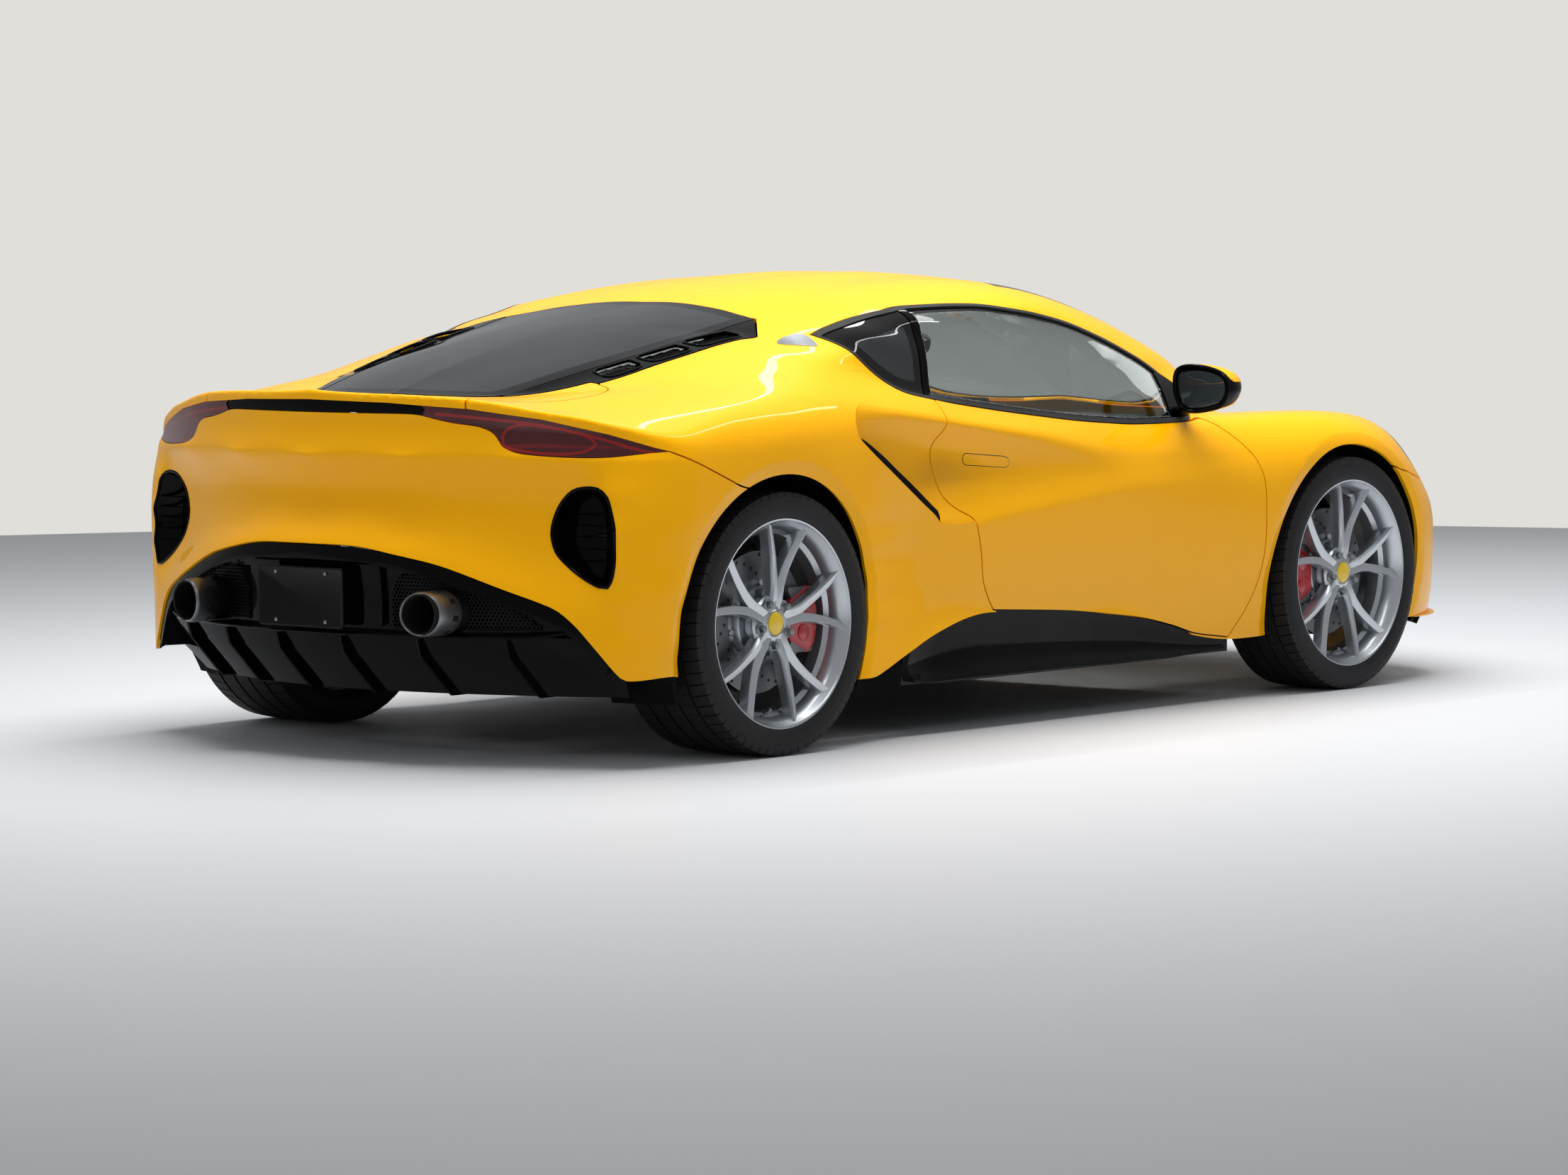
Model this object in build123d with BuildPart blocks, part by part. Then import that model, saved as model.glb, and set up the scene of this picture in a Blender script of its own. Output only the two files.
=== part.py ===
"""Mid-engined two-door coupe car, as separate pieces in one frame.

Millimetres. +X points to the nose, +Y to the car's left, +Z up. The origin is on the ground,
at the middle of the car's overall length and width. Left-hand drive.
"""

from build123d import *
from math import cos, hypot, radians, sin
import os

# ---------------------------------------------------------------- driving dimensions
FRONT_OVERHANG = 996.5
WHEELBASE = 2575
REAR_OVERHANG = 841.5
BODY_WIDTH = 1895
MIRROR_REACH = 98.5          # door mirror beyond the body's side
HEIGHT = 1226
LENGTH = FRONT_OVERHANG + WHEELBASE + REAR_OVERHANG
FRONT_AXLE_X = LENGTH / 2 - FRONT_OVERHANG
REAR_AXLE_X = REAR_OVERHANG - LENGTH / 2

# The lines of the body are drawn for this car, and stretched to the sizes above.
DRAWN_X = (-2206.5, -1365, 1210, 2206.5)     # tail, rear axle, front axle, nose
TAIL_X, NOSE_X = DRAWN_X[0], DRAWN_X[-1]
DRAWN_HALF_WIDTH = 947.5
DRAWN_BELT_Z, DRAWN_ROOF_Z = 780, 1226


def along(x):
    """Real place, along the car, of a drawn place."""
    real = (-LENGTH / 2, REAR_AXLE_X, FRONT_AXLE_X, LENGTH / 2)
    span = min(max(sum(x > edge for edge in DRAWN_X), 1), 3)
    low, high = DRAWN_X[span - 1], DRAWN_X[span]
    share = (x - low) / (high - low)
    return real[span - 1] + share * (real[span] - real[span - 1])


def across(y):
    return y * BODY_WIDTH / 2 / DRAWN_HALF_WIDTH


def up(z):
    """The body below the belt keeps its height, and the roof takes up a change."""
    if z <= DRAWN_BELT_Z:
        return z
    return DRAWN_BELT_Z + (z - DRAWN_BELT_Z) * (HEIGHT - DRAWN_BELT_Z) / (DRAWN_ROOF_Z - DRAWN_BELT_Z)


# Cuts that pass right through end beyond the body here.
FAR_SIDE, ABOVE_ROOF, ABOVE_DECK = across(1100), up(1300), up(1000)
THROUGH = 1                  # a drilled hole runs on this far past what it cuts

SKIN = 22                    # outer panel with its inner stiffening
ROOF_THICKNESS = 32
GLASS_THICKNESS = 6
PANEL_GAP = 8                # shut line between two outer panels
GLASS_TO_BODY = 2
GLASS_TO_LID = 1
MIRROR_TO_BODY = 1
DOOR_RETURN = 18             # how far the door's inner box stays inside its outer skin

# Brakes
DISC_RADIUS, DISC_WIDTH, DISC_HAT_RADIUS, DISC_OFFSET = 185, 32, 92, 20
PAD_GAP = 5
CALIPER_WALL = 19
CALIPER_HALF_ANGLE = 24
CALIPER_OVERLAP = 60         # caliper over the disc's face, inward from the rim of the disc
CALIPER_START, CALIPER_END = -85, 75     # along the car, from the rim of the disc
CARRIER_END = -25            # the arm that holds the caliper, from the rim of the disc
CARRIER_GAP = 6
CALIPER_TO_BARREL = 33
RUNNING_CLEARANCE = 0.05
SPINDLE_RADIUS = 30
SPINDLE_END_GAP = 2

# Wheels: the barrel clears the caliper, and the tyre sits on it.
BARREL_WALL = 12
BEAD_RADIUS = DISC_RADIUS + PAD_GAP + CALIPER_WALL + CALIPER_TO_BARREL + BARREL_WALL
RIM_LIP_HEIGHT, RIM_LIP_WIDTH = 17.5, 8
RIM_LIP_RADIUS = BEAD_RADIUS + RIM_LIP_HEIGHT
FRONT_SECTION, REAR_SECTION = 68.5, 71       # tyre, rim lip to tread
FRONT_FACE_INSET, REAR_FACE_INSET = 33.5, 22.5       # rim's face inside the body's side
FRONT_WHEEL = dict(x=FRONT_AXLE_X, radius=RIM_LIP_RADIUS + FRONT_SECTION, width=245,
                   face_y=BODY_WIDTH / 2 - FRONT_FACE_INSET)
REAR_WHEEL = dict(x=REAR_AXLE_X, radius=RIM_LIP_RADIUS + REAR_SECTION, width=295,
                  face_y=BODY_WIDTH / 2 - REAR_FACE_INSET)
SIDEWALL_BULGE = 8           # tyre wall stands this far outside the rim's face
FIT_GAP = 0.3                # between parts of one wheel that touch on a curve
LIP_GAP = 0.5                # tyre beside the rim lip
SPOKE_PAIRS = 5
SPOKE_WIDTH, SPOKE_DEPTH, SPOKE_INSET = 24, 34, 12
SPOKE_SPREAD, SPOKE_ROOT_SPREAD = 26, 24     # degrees between the two spokes of a pair, at the rim and hub
HUB_RADIUS = 74
HUB_RECESS = 34              # hub face behind the rim's face
HUB_DEPTH = 40

# Steering: the front knuckles turn about upright kingpins.
KINGPIN_Y = BODY_WIDTH / 2 - 212.5
UPRIGHT_HALF_LENGTH, UPRIGHT_HALF_WIDTH, CARRIER_HALF_WIDTH = 28, 17, 14
BALL_LOW_Z, BALL_HIGH_Z = 200, 480
BALL_GAP = 1
ARM_THICKNESS = 28
ARM_HALF_WIDTH = 22
FRONT_ARM_END = 18           # arm beyond the kingpin
REAR_ARM_INSET = 4
DRIVESHAFT_RADIUS = 17

# Wheel arches
FRONT_ARCH_RADIUS = FRONT_WHEEL["radius"] + 35
REAR_ARCH_RADIUS = REAR_WHEEL["radius"] + 44
LINER_GAP = 55               # tyre to arch liner
LINER_WALL = 5
LINER_TO_SKIN = 3
LINER_INNER_Y = KINGPIN_Y - 245
REAR_LINER_INSET = 70
LINER_OUTER_Y = BODY_WIDTH / 2 - 85.5
LINER_BOTTOM_Z = 230

# Tub and subframes
FLOOR_CLEARANCE = 130        # ground to the underside of the tub
TUB_FLOOR = 45
TUB_HALF_WIDTH = BODY_WIDTH / 2 - 183.5
SILL_BOX_WIDTH, SILL_BOX_TOP = 120, 322
SILL_PANEL_DEPTH = 78
DOOR_TO_TUB = 11
TUNNEL_HALF_WIDTH, TUNNEL_TOP = 85, 300
FRONT_BULKHEAD_X, REAR_BULKHEAD_X, BULKHEAD_WALL = along(770), along(-690), 32
BULKHEAD_TOP_FRONT, BULKHEAD_TOP_REAR = 760, 860
RAIL_Y, RAIL_WIDTH, RAIL_LOW, RAIL_HIGH = KINGPIN_Y - 325, 60, 180, 280
FRONT_RAIL_END, REAR_RAIL_END, CRASH_BEAM = along(1930), along(-1730), 45
TOWER_TOP, TOWER_HALF_SPAN, TOWER_POST = 520, 100, 38

# Engine and gearbox, ahead of and over the rear axle
ENGINE_TO_RAIL, GEARBOX_TO_RAIL = 80, 210
ENGINE_START, ENGINE_LENGTH, ENGINE_LOW, ENGINE_HIGH = 125, 480, 200, 780
GEARBOX_TAIL, GEARBOX_LOW, GEARBOX_HIGH = 140, 220, 560

# Tail
EXHAUST_Y, EXHAUST_Z, EXHAUST_RADIUS, EXHAUST_WALL = 420, 392, 54, 4
EXHAUST_GAP = 10
EXHAUST_TIP_X = along(-2190)
MUFFLER_FRONT, MUFFLER_LENGTH, MUFFLER_LOW, MUFFLER_HIGH = along(-1800), 215, 320, 470
MUFFLER_SIDE = 60            # beyond the tailpipe's middle
PLATE_LENGTH, PLATE_HEIGHT, PLATE_THICKNESS, PLATE_Z = 305, 155, 6, 420
PLATE_CORNER = 10
PLATE_HOLE_SPACING, PLATE_HOLE_RADIUS = 178, 3
PLATE_PAD_X, PLATE_PAD_DEPTH, PLATE_PAD_MARGIN = along(-2188), 40, 14
DIFFUSER_RECESS, DIFFUSER_WALL, DIFFUSER_FRONT = 10, 38, -1780
REAR_BUMPER_BOTTOM, FENDER_BOTTOM = 215, 186
FIN_Z, FIN_THICKNESS = 306, 14
LAMP_RECESS, LAMP_DEPTH, HEADLAMP_DEPTH = 3, 60, 70
LID_THICKNESS = 26

# Cabin
SEAT_TO_TUNNEL, SEAT_TO_SILL = 50, 39
SEAT_NEAR = TUNNEL_HALF_WIDTH + SEAT_TO_TUNNEL
SEAT_FAR = TUB_HALF_WIDTH - SILL_BOX_WIDTH - SEAT_TO_SILL
DASH_TO_TUB = 49
STEERING_WHEEL = dict(x=330, y=(SEAT_NEAR + SEAT_FAR) / 2, z=700, radius=178, rim=15, tilt=22)
STEERING_HUB_RADIUS, STEERING_HUB_DEPTH, STEERING_SPOKE_WIDTH = 48, 20, 30
COLUMN_RADIUS, COLUMN_LENGTH = 28, 85
MIRROR_SIZE, MIRROR_ROUNDING, MIRROR_FOOT = (112, 186, 118), 38, (56, 110, 74)


# ---------------------------------------------------------------- the body's sections
# Half sections of the lower body, from the underside, round the side, to the middle of the top:
# x, then (half width, height) of the underside, flank, shoulder, crown and deck, then the middle's height
LOWER_BODY = [
    (-2195, (200, 300), (330, 420), (300, 520), (260, 600), (150, 640), 650),
    (-2160, (330, 255), (460, 420), (420, 700), (380, 880), (250, 915), 925),
    (-2110, (470, 215), (600, 420), (560, 780), (470, 925), (330, 942), 950),
    (-2040, (600, 190), (720, 425), (680, 800), (560, 915), (400, 935), 945),
    (-1900, (760, 180), (865, 430), (840, 790), (760, 865), (480, 925), 930),
    (-1750, (850, 170), (925, 440), (915, 800), (820, 890), (480, 935), 930),
    (-1365, (850, 160), (947.5, 560), (930, 880), (810, 935), (500, 945), 930),
    (-1000, (800, 150), (915, 520), (905, 885), (815, 930), (520, 930), 925),
    (-690, (800, 150), (888, 500), (885, 850), (835, 905), (540, 905), 900),
    (-300, (800, 150), (885, 480), (885, 800), (845, 856), (560, 850), 845),
    (200, (800, 150), (890, 470), (890, 750), (848, 812), (600, 814), 818),
    (600, (790, 150), (893, 450), (893, 735), (825, 806), (600, 812), 815),
    (900, (790, 155), (915, 460), (905, 735), (735, 816), (560, 812), 830),
    (1210, (800, 160), (932, 500), (915, 720), (735, 812), (560, 778), 770),
    (1500, (800, 150), (912, 450), (890, 655), (725, 765), (540, 705), 700),
    (1700, (780, 145), (865, 420), (830, 595), (690, 700), (500, 652), 658),
    (1900, (700, 140), (770, 400), (735, 510), (610, 590), (420, 600), 606),
    (2060, (560, 140), (620, 380), (590, 470), (480, 540), (330, 558), 565),
    (2150, (360, 150), (430, 370), (400, 450), (310, 505), (200, 525), 530),
    (NOSE_X, (120, 200), (180, 350), (170, 410), (130, 450), (80, 470), 478),
]
# The same for the roof and glass: base, belt, upper side, rail and inner rail, then the middle's height
GREENHOUSE = [
    (-1990, (380, 700), (390, 900), (350, 916), (300, 926), (150, 934), 938),
    (-1811, (430, 700), (440, 905), (380, 920), (312, 930), (160, 946), 952),
    (-1500, (480, 700), (490, 935), (455, 958), (386, 995), (200, 1020), 1028),
    (-1200, (640, 700), (650, 935), (500, 1020), (415, 1058), (220, 1088), 1098),
    (-905, (770, 700), (780, 930), (620, 1065), (450, 1124), (240, 1139), 1143),
    (-660, (825, 700), (838, 912), (715, 1112), (525, 1168), (280, 1186), 1190),
    (-300, (828, 700), (842, 862), (722, 1142), (590, 1188), (300, 1215), 1221),
    (-80, (828, 700), (842, 840), (720, 1138), (600, 1188), (300, 1219), 1226),
    (110, (828, 700), (842, 822), (712, 1092), (600, 1160), (300, 1206), 1214),
    (350, (825, 700), (840, 812), (715, 1014), (620, 1072), (310, 1118), 1130),
    (600, (800, 700), (815, 808), (722, 885), (650, 930), (320, 1010), 1024),
    (800, (700, 700), (715, 802), (640, 838), (560, 860), (300, 926), 938),
    (920, (540, 700), (555, 806), (490, 824), (420, 838), (250, 866), 876),
    (1000, (300, 700), (315, 812), (270, 822), (220, 828), (120, 836), 840),
]


def hull(stations, inset=0):
    """Closed solid through the stations. A positive inset gives the same body that much smaller."""
    with BuildPart() as solid:
        for x, *side, middle in stations:
            beyond_axle = x < DRAWN_X[1] or x > DRAWN_X[2]
            inward = inset if not beyond_axle else inset * (1 if x < 0 else -1)
            x_real = along(x) + (inward if beyond_axle else 0)
            base = [(across(y) - inset, up(z)) for y, z in side]
            base[0] = (base[0][0], base[0][1] + inset)
            for corner in range(2, len(base)):
                base[corner] = (base[corner][0], base[corner][1] - inset)
            half = base + [(0, up(middle) - inset)]
            mirrored = [(-y, z) for y, z in reversed(base)]
            with BuildSketch(Plane.YZ.offset(x_real)):
                with BuildLine():
                    Polyline(*half, *mirrored, close=True)
                make_face()
        loft(ruled=True)
    return solid.part


# ---------------------------------------------------------------- cutting blocks
def grown(points, amount):
    """The closed outline with every edge moved outwards by the amount, and its corners kept sharp."""
    ahead = points[1:] + points[:1]
    area = sum(x0 * z1 - x1 * z0 for (x0, z0), (x1, z1) in zip(points, ahead))
    turn = 1 if area > 0 else -1
    normals = []
    for (x0, z0), (x1, z1) in zip(points, ahead):
        length = hypot(x1 - x0, z1 - z0)
        normals.append((turn * (z1 - z0) / length, -turn * (x1 - x0) / length))
    moved = []
    for (x, z), (ax, az), (bx, bz) in zip(points, normals[-1:] + normals[:-1], normals):
        reach = amount / (1 + ax * bx + az * bz)
        moved.append((x + reach * (ax + bx), z + reach * (az + bz)))
    return moved


def side_block(outline, near, far, grow=0):
    """Outline of (x, z) points in drawn places, carried across the car from y = near to y = far."""
    with BuildPart() as block:
        with BuildSketch(Plane.XZ.offset(-near)):
            with BuildLine():
                Polyline(*grown([(along(x), up(z)) for x, z in outline], grow), close=True)
            make_face()
        extrude(amount=near - far)
    return block.part


def plan_block(outline, low, high, grow=0):
    """Half outline of (x, y) points seen from above, mirrored about the middle, from low to high."""
    with BuildPart() as block:
        with BuildSketch(Plane.XY.offset(low)):
            with BuildLine():
                Polyline(*[(along(x), across(y)) for x, y in outline], close=True)
            make_face()
            mirror(about=Plane.XZ)
            if grow:
                offset(amount=grow, kind=Kind.INTERSECTION)
        extrude(amount=high - low)
    return block.part


def end_block(outline, rear, front, grow=0):
    """Half outline of (y, z) points seen from behind, mirrored, carried along from x = rear to front."""
    with BuildPart() as block:
        with BuildSketch(Plane.YZ.offset(along(rear))):
            with BuildLine():
                Polyline(*[(across(y), up(z)) for y, z in outline], close=True)
            make_face()
            mirror(about=Plane.YZ)
            if grow:
                offset(amount=grow, kind=Kind.INTERSECTION)
        extrude(amount=along(front) - along(rear))
    return block.part


def box_between(low, high):
    with BuildPart() as block:
        with BuildSketch(Plane.XY.offset(low[2])):
            with Locations(((low[0] + high[0]) / 2, (low[1] + high[1]) / 2)):
                Rectangle(high[0] - low[0], high[1] - low[1])
        extrude(amount=high[2] - low[2])
    return block.part


def mirrored(piece):
    """The piece and its mirror image on the other side of the car."""
    with BuildPart() as both:
        add(piece)
        mirror(piece, about=Plane.XZ)
    return both.part


def cross_cylinder(x, z, radius, near, far):
    """Cylinder along Y."""
    with BuildPart() as block:
        with BuildSketch(Plane.XZ.offset(-near)):
            with Locations((x, z)):
                Circle(radius)
        extrude(amount=near - far)
    return block.part


lower_body = hull(LOWER_BODY)
greenhouse = hull(GREENHOUSE)
with BuildPart() as body_skin:
    add(lower_body)
    add(hull(LOWER_BODY, SKIN), mode=Mode.SUBTRACT)
with BuildPart() as roof_skin:
    add(greenhouse)
    add(hull(GREENHOUSE, ROOF_THICKNESS), mode=Mode.SUBTRACT)
with BuildPart() as glass_skin:
    add(greenhouse)
    add(hull(GREENHOUSE, GLASS_THICKNESS), mode=Mode.SUBTRACT)


# ---------------------------------------------------------------- outlines of the shut lines
# (x, z), seen from the side
DOOR_OUTLINE = [
    (-650, 900), (-663, 820), (-685, 774), (-676, 718), (-638, 645), (-588, 603), (-536, 575),
    (-511, 520), (-493, 462), (-478, 404), (-450, 360), (-418, 322), (-60, 298), (252, 262),
    (410, 230), (520, 202), (676, 182), (730, 253), (772, 338), (785, 425), (780, 543),
    (771, 640), (746, 699), (687, 759), (575, 830), (120, 835), (-200, 866), (-420, 886),
]
SIDE_GLASS_OUTLINE = [
    (-1010, 1076), (-961, 1092), (-844, 1118), (-724, 1135), (-600, 1145), (-421, 1149),
    (-296, 1145), (-171, 1133), (-44, 1117), (84, 1093), (214, 1057), (347, 1013), (480, 960),
    (582, 913), (632, 872), (615, 822), (453, 806), (253, 808), (121, 815), (-8, 826),
    (-200, 848), (-388, 868), (-572, 892), (-680, 910), (-735, 930), (-800, 956), (-880, 994),
]
DOOR_GLASS_REAR_X = -658
FRONT_BUMPER_OUTLINE = [
    (1300, 640), (1490, 628), (1560, 612), (1700, 588), (1850, 558), (1960, 572), (2015, 600),
    (2206, 700), (NOSE_X, 100), (1300, 100),
]
HEADLAMP_OUTLINE = [
    (1465, 800), (1560, 775), (1700, 720), (1850, 640), (1935, 566), (1880, 556), (1760, 582),
    (1640, 625), (1540, 690),
]
REAR_BUMPER_OUTLINE = [
    (-1400, 640), (-1565, 712), (-1801, 804), (-1880, 830), (-1968, 868), (-2005, 905),
    (-2206, 905), (TAIL_X, 100), (-1400, 100),
]
SILL_OUTLINE = [
    (-740, 222), (-640, 266), (-530, 296), (-420, 304), (-60, 284), (252, 248), (410, 218),
    (520, 192), (600, 185), (662, 180), (670, 140), (-700, 140),
]
# (x, y) of the left half, seen from above
BONNET_OUTLINE = [
    (1020, 0), (1012, 200), (985, 340), (935, 490), (880, 600), (850, 660), (1000, 672),
    (1210, 668), (1400, 645), (1500, 615), (1700, 520), (1850, 430), (1950, 340), (1985, 200), (1995, 0),
]
WINDSCREEN_OUTLINE = [
    (120, 0), (120, 590), (350, 615), (600, 640), (800, 548), (920, 405), (985, 220), (998, 0),
]
ROOF_OUTLINE = [(112, 0), (112, 560), (-700, 520), (-930, 432), (-930, 0)]
TAILGATE_OUTLINE = [
    (-846, 0), (-850, 150), (-870, 300), (-905, 425), (-1500, 392), (-1545, 440), (-1850, 465),
    (-2206, 490), (TAIL_X, 0),
]
REAR_GLASS_OUTLINE = [
    (-862, 0), (-866, 150), (-888, 300), (-925, 400), (-1500, 366), (-1811, 290), (-1845, 150), (-1850, 0),
]
LAMP_ZONE = [
    (-2206, 0), (-2060, 0), (-2040, 300), (-1960, 485), (-1880, 650), (-1790, 800), (-1740, 935),
    (-1740, 960), (TAIL_X, 960),
]
# (y, z) of the left half, seen from behind
LAMP_TOP = [(0, 926), (250, 921), (485, 905), (650, 880), (800, 843), (935, 806)]
LAMP_OUTLINE = LAMP_TOP + [
    (860, 790), (795, 784),
    (702, 780), (613, 789), (563, 810), (538, 845), (470, 858), (393, 868), (300, 888), (0, 893),
]
DIFFUSER_OUTLINE = [
    (0, 553), (177, 550), (303, 530), (419, 505), (561, 454), (693, 402), (740, 363), (785, 300),
    (830, 238), (852, 216), (860, 150), (0, 150),
]
VENT_OUTLINE = [
    (783, 711), (745, 702), (706, 677), (688, 636), (678, 591), (685, 555), (713, 511), (759, 463),
    (787, 454), (808, 469), (813, 529), (809, 619), (801, 681),
]
FIN_OUTLINE = [
    (TAIL_X, 0), (-2200, 150), (-2180, 300), (-2125, 460), (-2040, 610), (-2010, 590), (-2080, 440),
    (-2120, 0),
]

door_cut = side_block(DOOR_OUTLINE, across(500), FAR_SIDE, PANEL_GAP / 2)
bonnet_cut = plan_block(BONNET_OUTLINE, 400, ABOVE_DECK, PANEL_GAP / 2)
tailgate_cut = plan_block(TAILGATE_OUTLINE, up(890), ABOVE_ROOF, PANEL_GAP / 2)
sill_cut = side_block(SILL_OUTLINE, across(500), FAR_SIDE, PANEL_GAP / 2)
headlamp_cut = side_block(HEADLAMP_OUTLINE, across(480), FAR_SIDE, PANEL_GAP / 2)
with BuildPart() as lamp_cut:
    add(end_block(LAMP_OUTLINE, TAIL_X, -1700, PANEL_GAP / 2))
    add(plan_block(LAMP_ZONE, 700, ABOVE_DECK, PANEL_GAP / 2), mode=Mode.INTERSECT)
front_arch = cross_cylinder(FRONT_AXLE_X, FRONT_WHEEL["radius"], FRONT_ARCH_RADIUS, LINER_INNER_Y, FAR_SIDE)
rear_arch = cross_cylinder(REAR_AXLE_X, REAR_WHEEL["radius"], REAR_ARCH_RADIUS, LINER_INNER_Y, FAR_SIDE)
above_lamps = end_block(LAMP_TOP + [(1000, 800), (1000, 1000), (0, 1000)], TAIL_X, -1700)

pieces = {}

# ---------------------------------------------------------------- tub and what it carries
with BuildPart() as tub:
    floor_top = FLOOR_CLEARANCE + TUB_FLOOR
    add(box_between((REAR_BULKHEAD_X, -TUB_HALF_WIDTH, FLOOR_CLEARANCE),
                    (FRONT_BULKHEAD_X + BULKHEAD_WALL, TUB_HALF_WIDTH, floor_top)))
    for side in (-1, 1):
        edges = sorted((side * TUB_HALF_WIDTH, side * (TUB_HALF_WIDTH - SILL_BOX_WIDTH)))
        add(box_between((REAR_BULKHEAD_X, edges[0], floor_top), (FRONT_BULKHEAD_X, edges[1], SILL_BOX_TOP)))
        rail = (side * RAIL_Y - RAIL_WIDTH / 2, side * RAIL_Y + RAIL_WIDTH / 2)
        add(box_between((REAR_RAIL_END, rail[0], RAIL_LOW), (REAR_BULKHEAD_X, rail[1], RAIL_HIGH)))
        add(box_between((FRONT_BULKHEAD_X, rail[0], RAIL_LOW), (FRONT_RAIL_END, rail[1], RAIL_HIGH)))
        for axle_x in (FRONT_AXLE_X, REAR_AXLE_X):
            for end in (-1, 1):
                post = axle_x + end * TOWER_HALF_SPAN
                add(box_between((post - TOWER_POST / 2, rail[0], RAIL_HIGH),
                                (post + TOWER_POST / 2, rail[1], TOWER_TOP - TOWER_POST)))
            reach = TOWER_HALF_SPAN + TOWER_POST / 2
            add(box_between((axle_x - reach, rail[0], TOWER_TOP - TOWER_POST),
                            (axle_x + reach, rail[1], TOWER_TOP)))
    add(box_between((REAR_BULKHEAD_X, -TUNNEL_HALF_WIDTH, floor_top),
                    (FRONT_BULKHEAD_X, TUNNEL_HALF_WIDTH, TUNNEL_TOP)))
    add(box_between((FRONT_BULKHEAD_X, -TUB_HALF_WIDTH, FLOOR_CLEARANCE),
                    (FRONT_BULKHEAD_X + BULKHEAD_WALL, TUB_HALF_WIDTH, BULKHEAD_TOP_FRONT)))
    add(box_between((REAR_BULKHEAD_X, -TUB_HALF_WIDTH, FLOOR_CLEARANCE),
                    (REAR_BULKHEAD_X + BULKHEAD_WALL, TUB_HALF_WIDTH, BULKHEAD_TOP_REAR)))
    add(box_between((FRONT_RAIL_END, -RAIL_Y - RAIL_WIDTH / 2, RAIL_LOW),
                    (FRONT_RAIL_END + CRASH_BEAM, RAIL_Y + RAIL_WIDTH / 2, RAIL_HIGH)))
    add(box_between((REAR_RAIL_END - CRASH_BEAM, -RAIL_Y - RAIL_WIDTH / 2, RAIL_LOW),
                    (REAR_RAIL_END, RAIL_Y + RAIL_WIDTH / 2, RAIL_HIGH)))
pieces["tub"] = tub.part

with BuildPart() as side_sills:
    add(mirrored(side_block(SILL_OUTLINE, TUB_HALF_WIDTH, TUB_HALF_WIDTH + SILL_PANEL_DEPTH)))
pieces["side_sills"] = side_sills.part

# ---------------------------------------------------------------- outer panels
with BuildPart() as front_bumper:
    add(body_skin.part)
    add(side_block(FRONT_BUMPER_OUTLINE, -FAR_SIDE, FAR_SIDE), mode=Mode.INTERSECT)
    for cut in (bonnet_cut, headlamp_cut, front_arch, mirror(front_arch, about=Plane.XZ)):
        add(cut, mode=Mode.SUBTRACT)
    add(mirror(headlamp_cut, about=Plane.XZ), mode=Mode.SUBTRACT)
pieces["front_bumper"] = front_bumper.part

with BuildPart() as bonnet:
    add(body_skin.part)
    add(plan_block(BONNET_OUTLINE, 450, ABOVE_DECK, -PANEL_GAP / 2), mode=Mode.INTERSECT)
pieces["bonnet"] = bonnet.part

with BuildPart() as front_fender_left:
    add(body_skin.part)
    add(box_between((along(575), across(500), FENDER_BOTTOM), (along(1890), FAR_SIDE, up(900))),
        mode=Mode.INTERSECT)
    add(side_block(FRONT_BUMPER_OUTLINE, across(400), FAR_SIDE, PANEL_GAP), mode=Mode.SUBTRACT)
    for cut in (door_cut, sill_cut, bonnet_cut, headlamp_cut, front_arch, greenhouse):
        add(cut, mode=Mode.SUBTRACT)
pieces["front_fender_left"] = front_fender_left.part

with BuildPart() as headlight_left:
    add(lower_body)
    add(hull(LOWER_BODY, HEADLAMP_DEPTH), mode=Mode.SUBTRACT)
    add(side_block(HEADLAMP_OUTLINE, across(520), FAR_SIDE), mode=Mode.INTERSECT)
    add(bonnet_cut, mode=Mode.SUBTRACT)
pieces["headlights"] = mirrored(headlight_left.part)

with BuildPart() as rear_fender_left:
    add(body_skin.part)
    add(box_between((-LENGTH / 2, 0, FENDER_BOTTOM), (along(-400), FAR_SIDE, ABOVE_DECK)),
        mode=Mode.INTERSECT)
    with BuildPart(mode=Mode.PRIVATE) as bumper_zone:
        add(side_block(REAR_BUMPER_OUTLINE, -PANEL_GAP, FAR_SIDE, PANEL_GAP))
        add(above_lamps, mode=Mode.SUBTRACT)
    add(bumper_zone.part, mode=Mode.SUBTRACT)
    for cut in (door_cut, sill_cut, tailgate_cut, rear_arch, greenhouse, lamp_cut.part):
        add(cut, mode=Mode.SUBTRACT)
pieces["rear_fender_left"] = rear_fender_left.part

with BuildPart() as rear_bumper:
    add(body_skin.part)
    add(side_block(REAR_BUMPER_OUTLINE, -FAR_SIDE, FAR_SIDE), mode=Mode.INTERSECT)
    add(end_block(DIFFUSER_OUTLINE, TAIL_X, -1500, PANEL_GAP / 2), mode=Mode.SUBTRACT)
    add(end_block(VENT_OUTLINE, TAIL_X, -1600), mode=Mode.SUBTRACT)
    add(box_between((-LENGTH, -FAR_SIDE, 0), (0, FAR_SIDE, REAR_BUMPER_BOTTOM)), mode=Mode.SUBTRACT)
    add(above_lamps, mode=Mode.SUBTRACT)
    for cut in (lamp_cut.part, tailgate_cut, rear_arch, mirror(rear_arch, about=Plane.XZ)):
        add(cut, mode=Mode.SUBTRACT)
pieces["rear_bumper"] = rear_bumper.part

with BuildPart() as tail_lights:
    add(hull(LOWER_BODY, LAMP_RECESS))
    add(hull(LOWER_BODY, LAMP_RECESS + LAMP_DEPTH), mode=Mode.SUBTRACT)
    add(end_block(LAMP_OUTLINE, TAIL_X, -1700), mode=Mode.INTERSECT)
    add(plan_block(LAMP_ZONE, 700, ABOVE_DECK), mode=Mode.INTERSECT)
pieces["tail_lights"] = tail_lights.part

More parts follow.
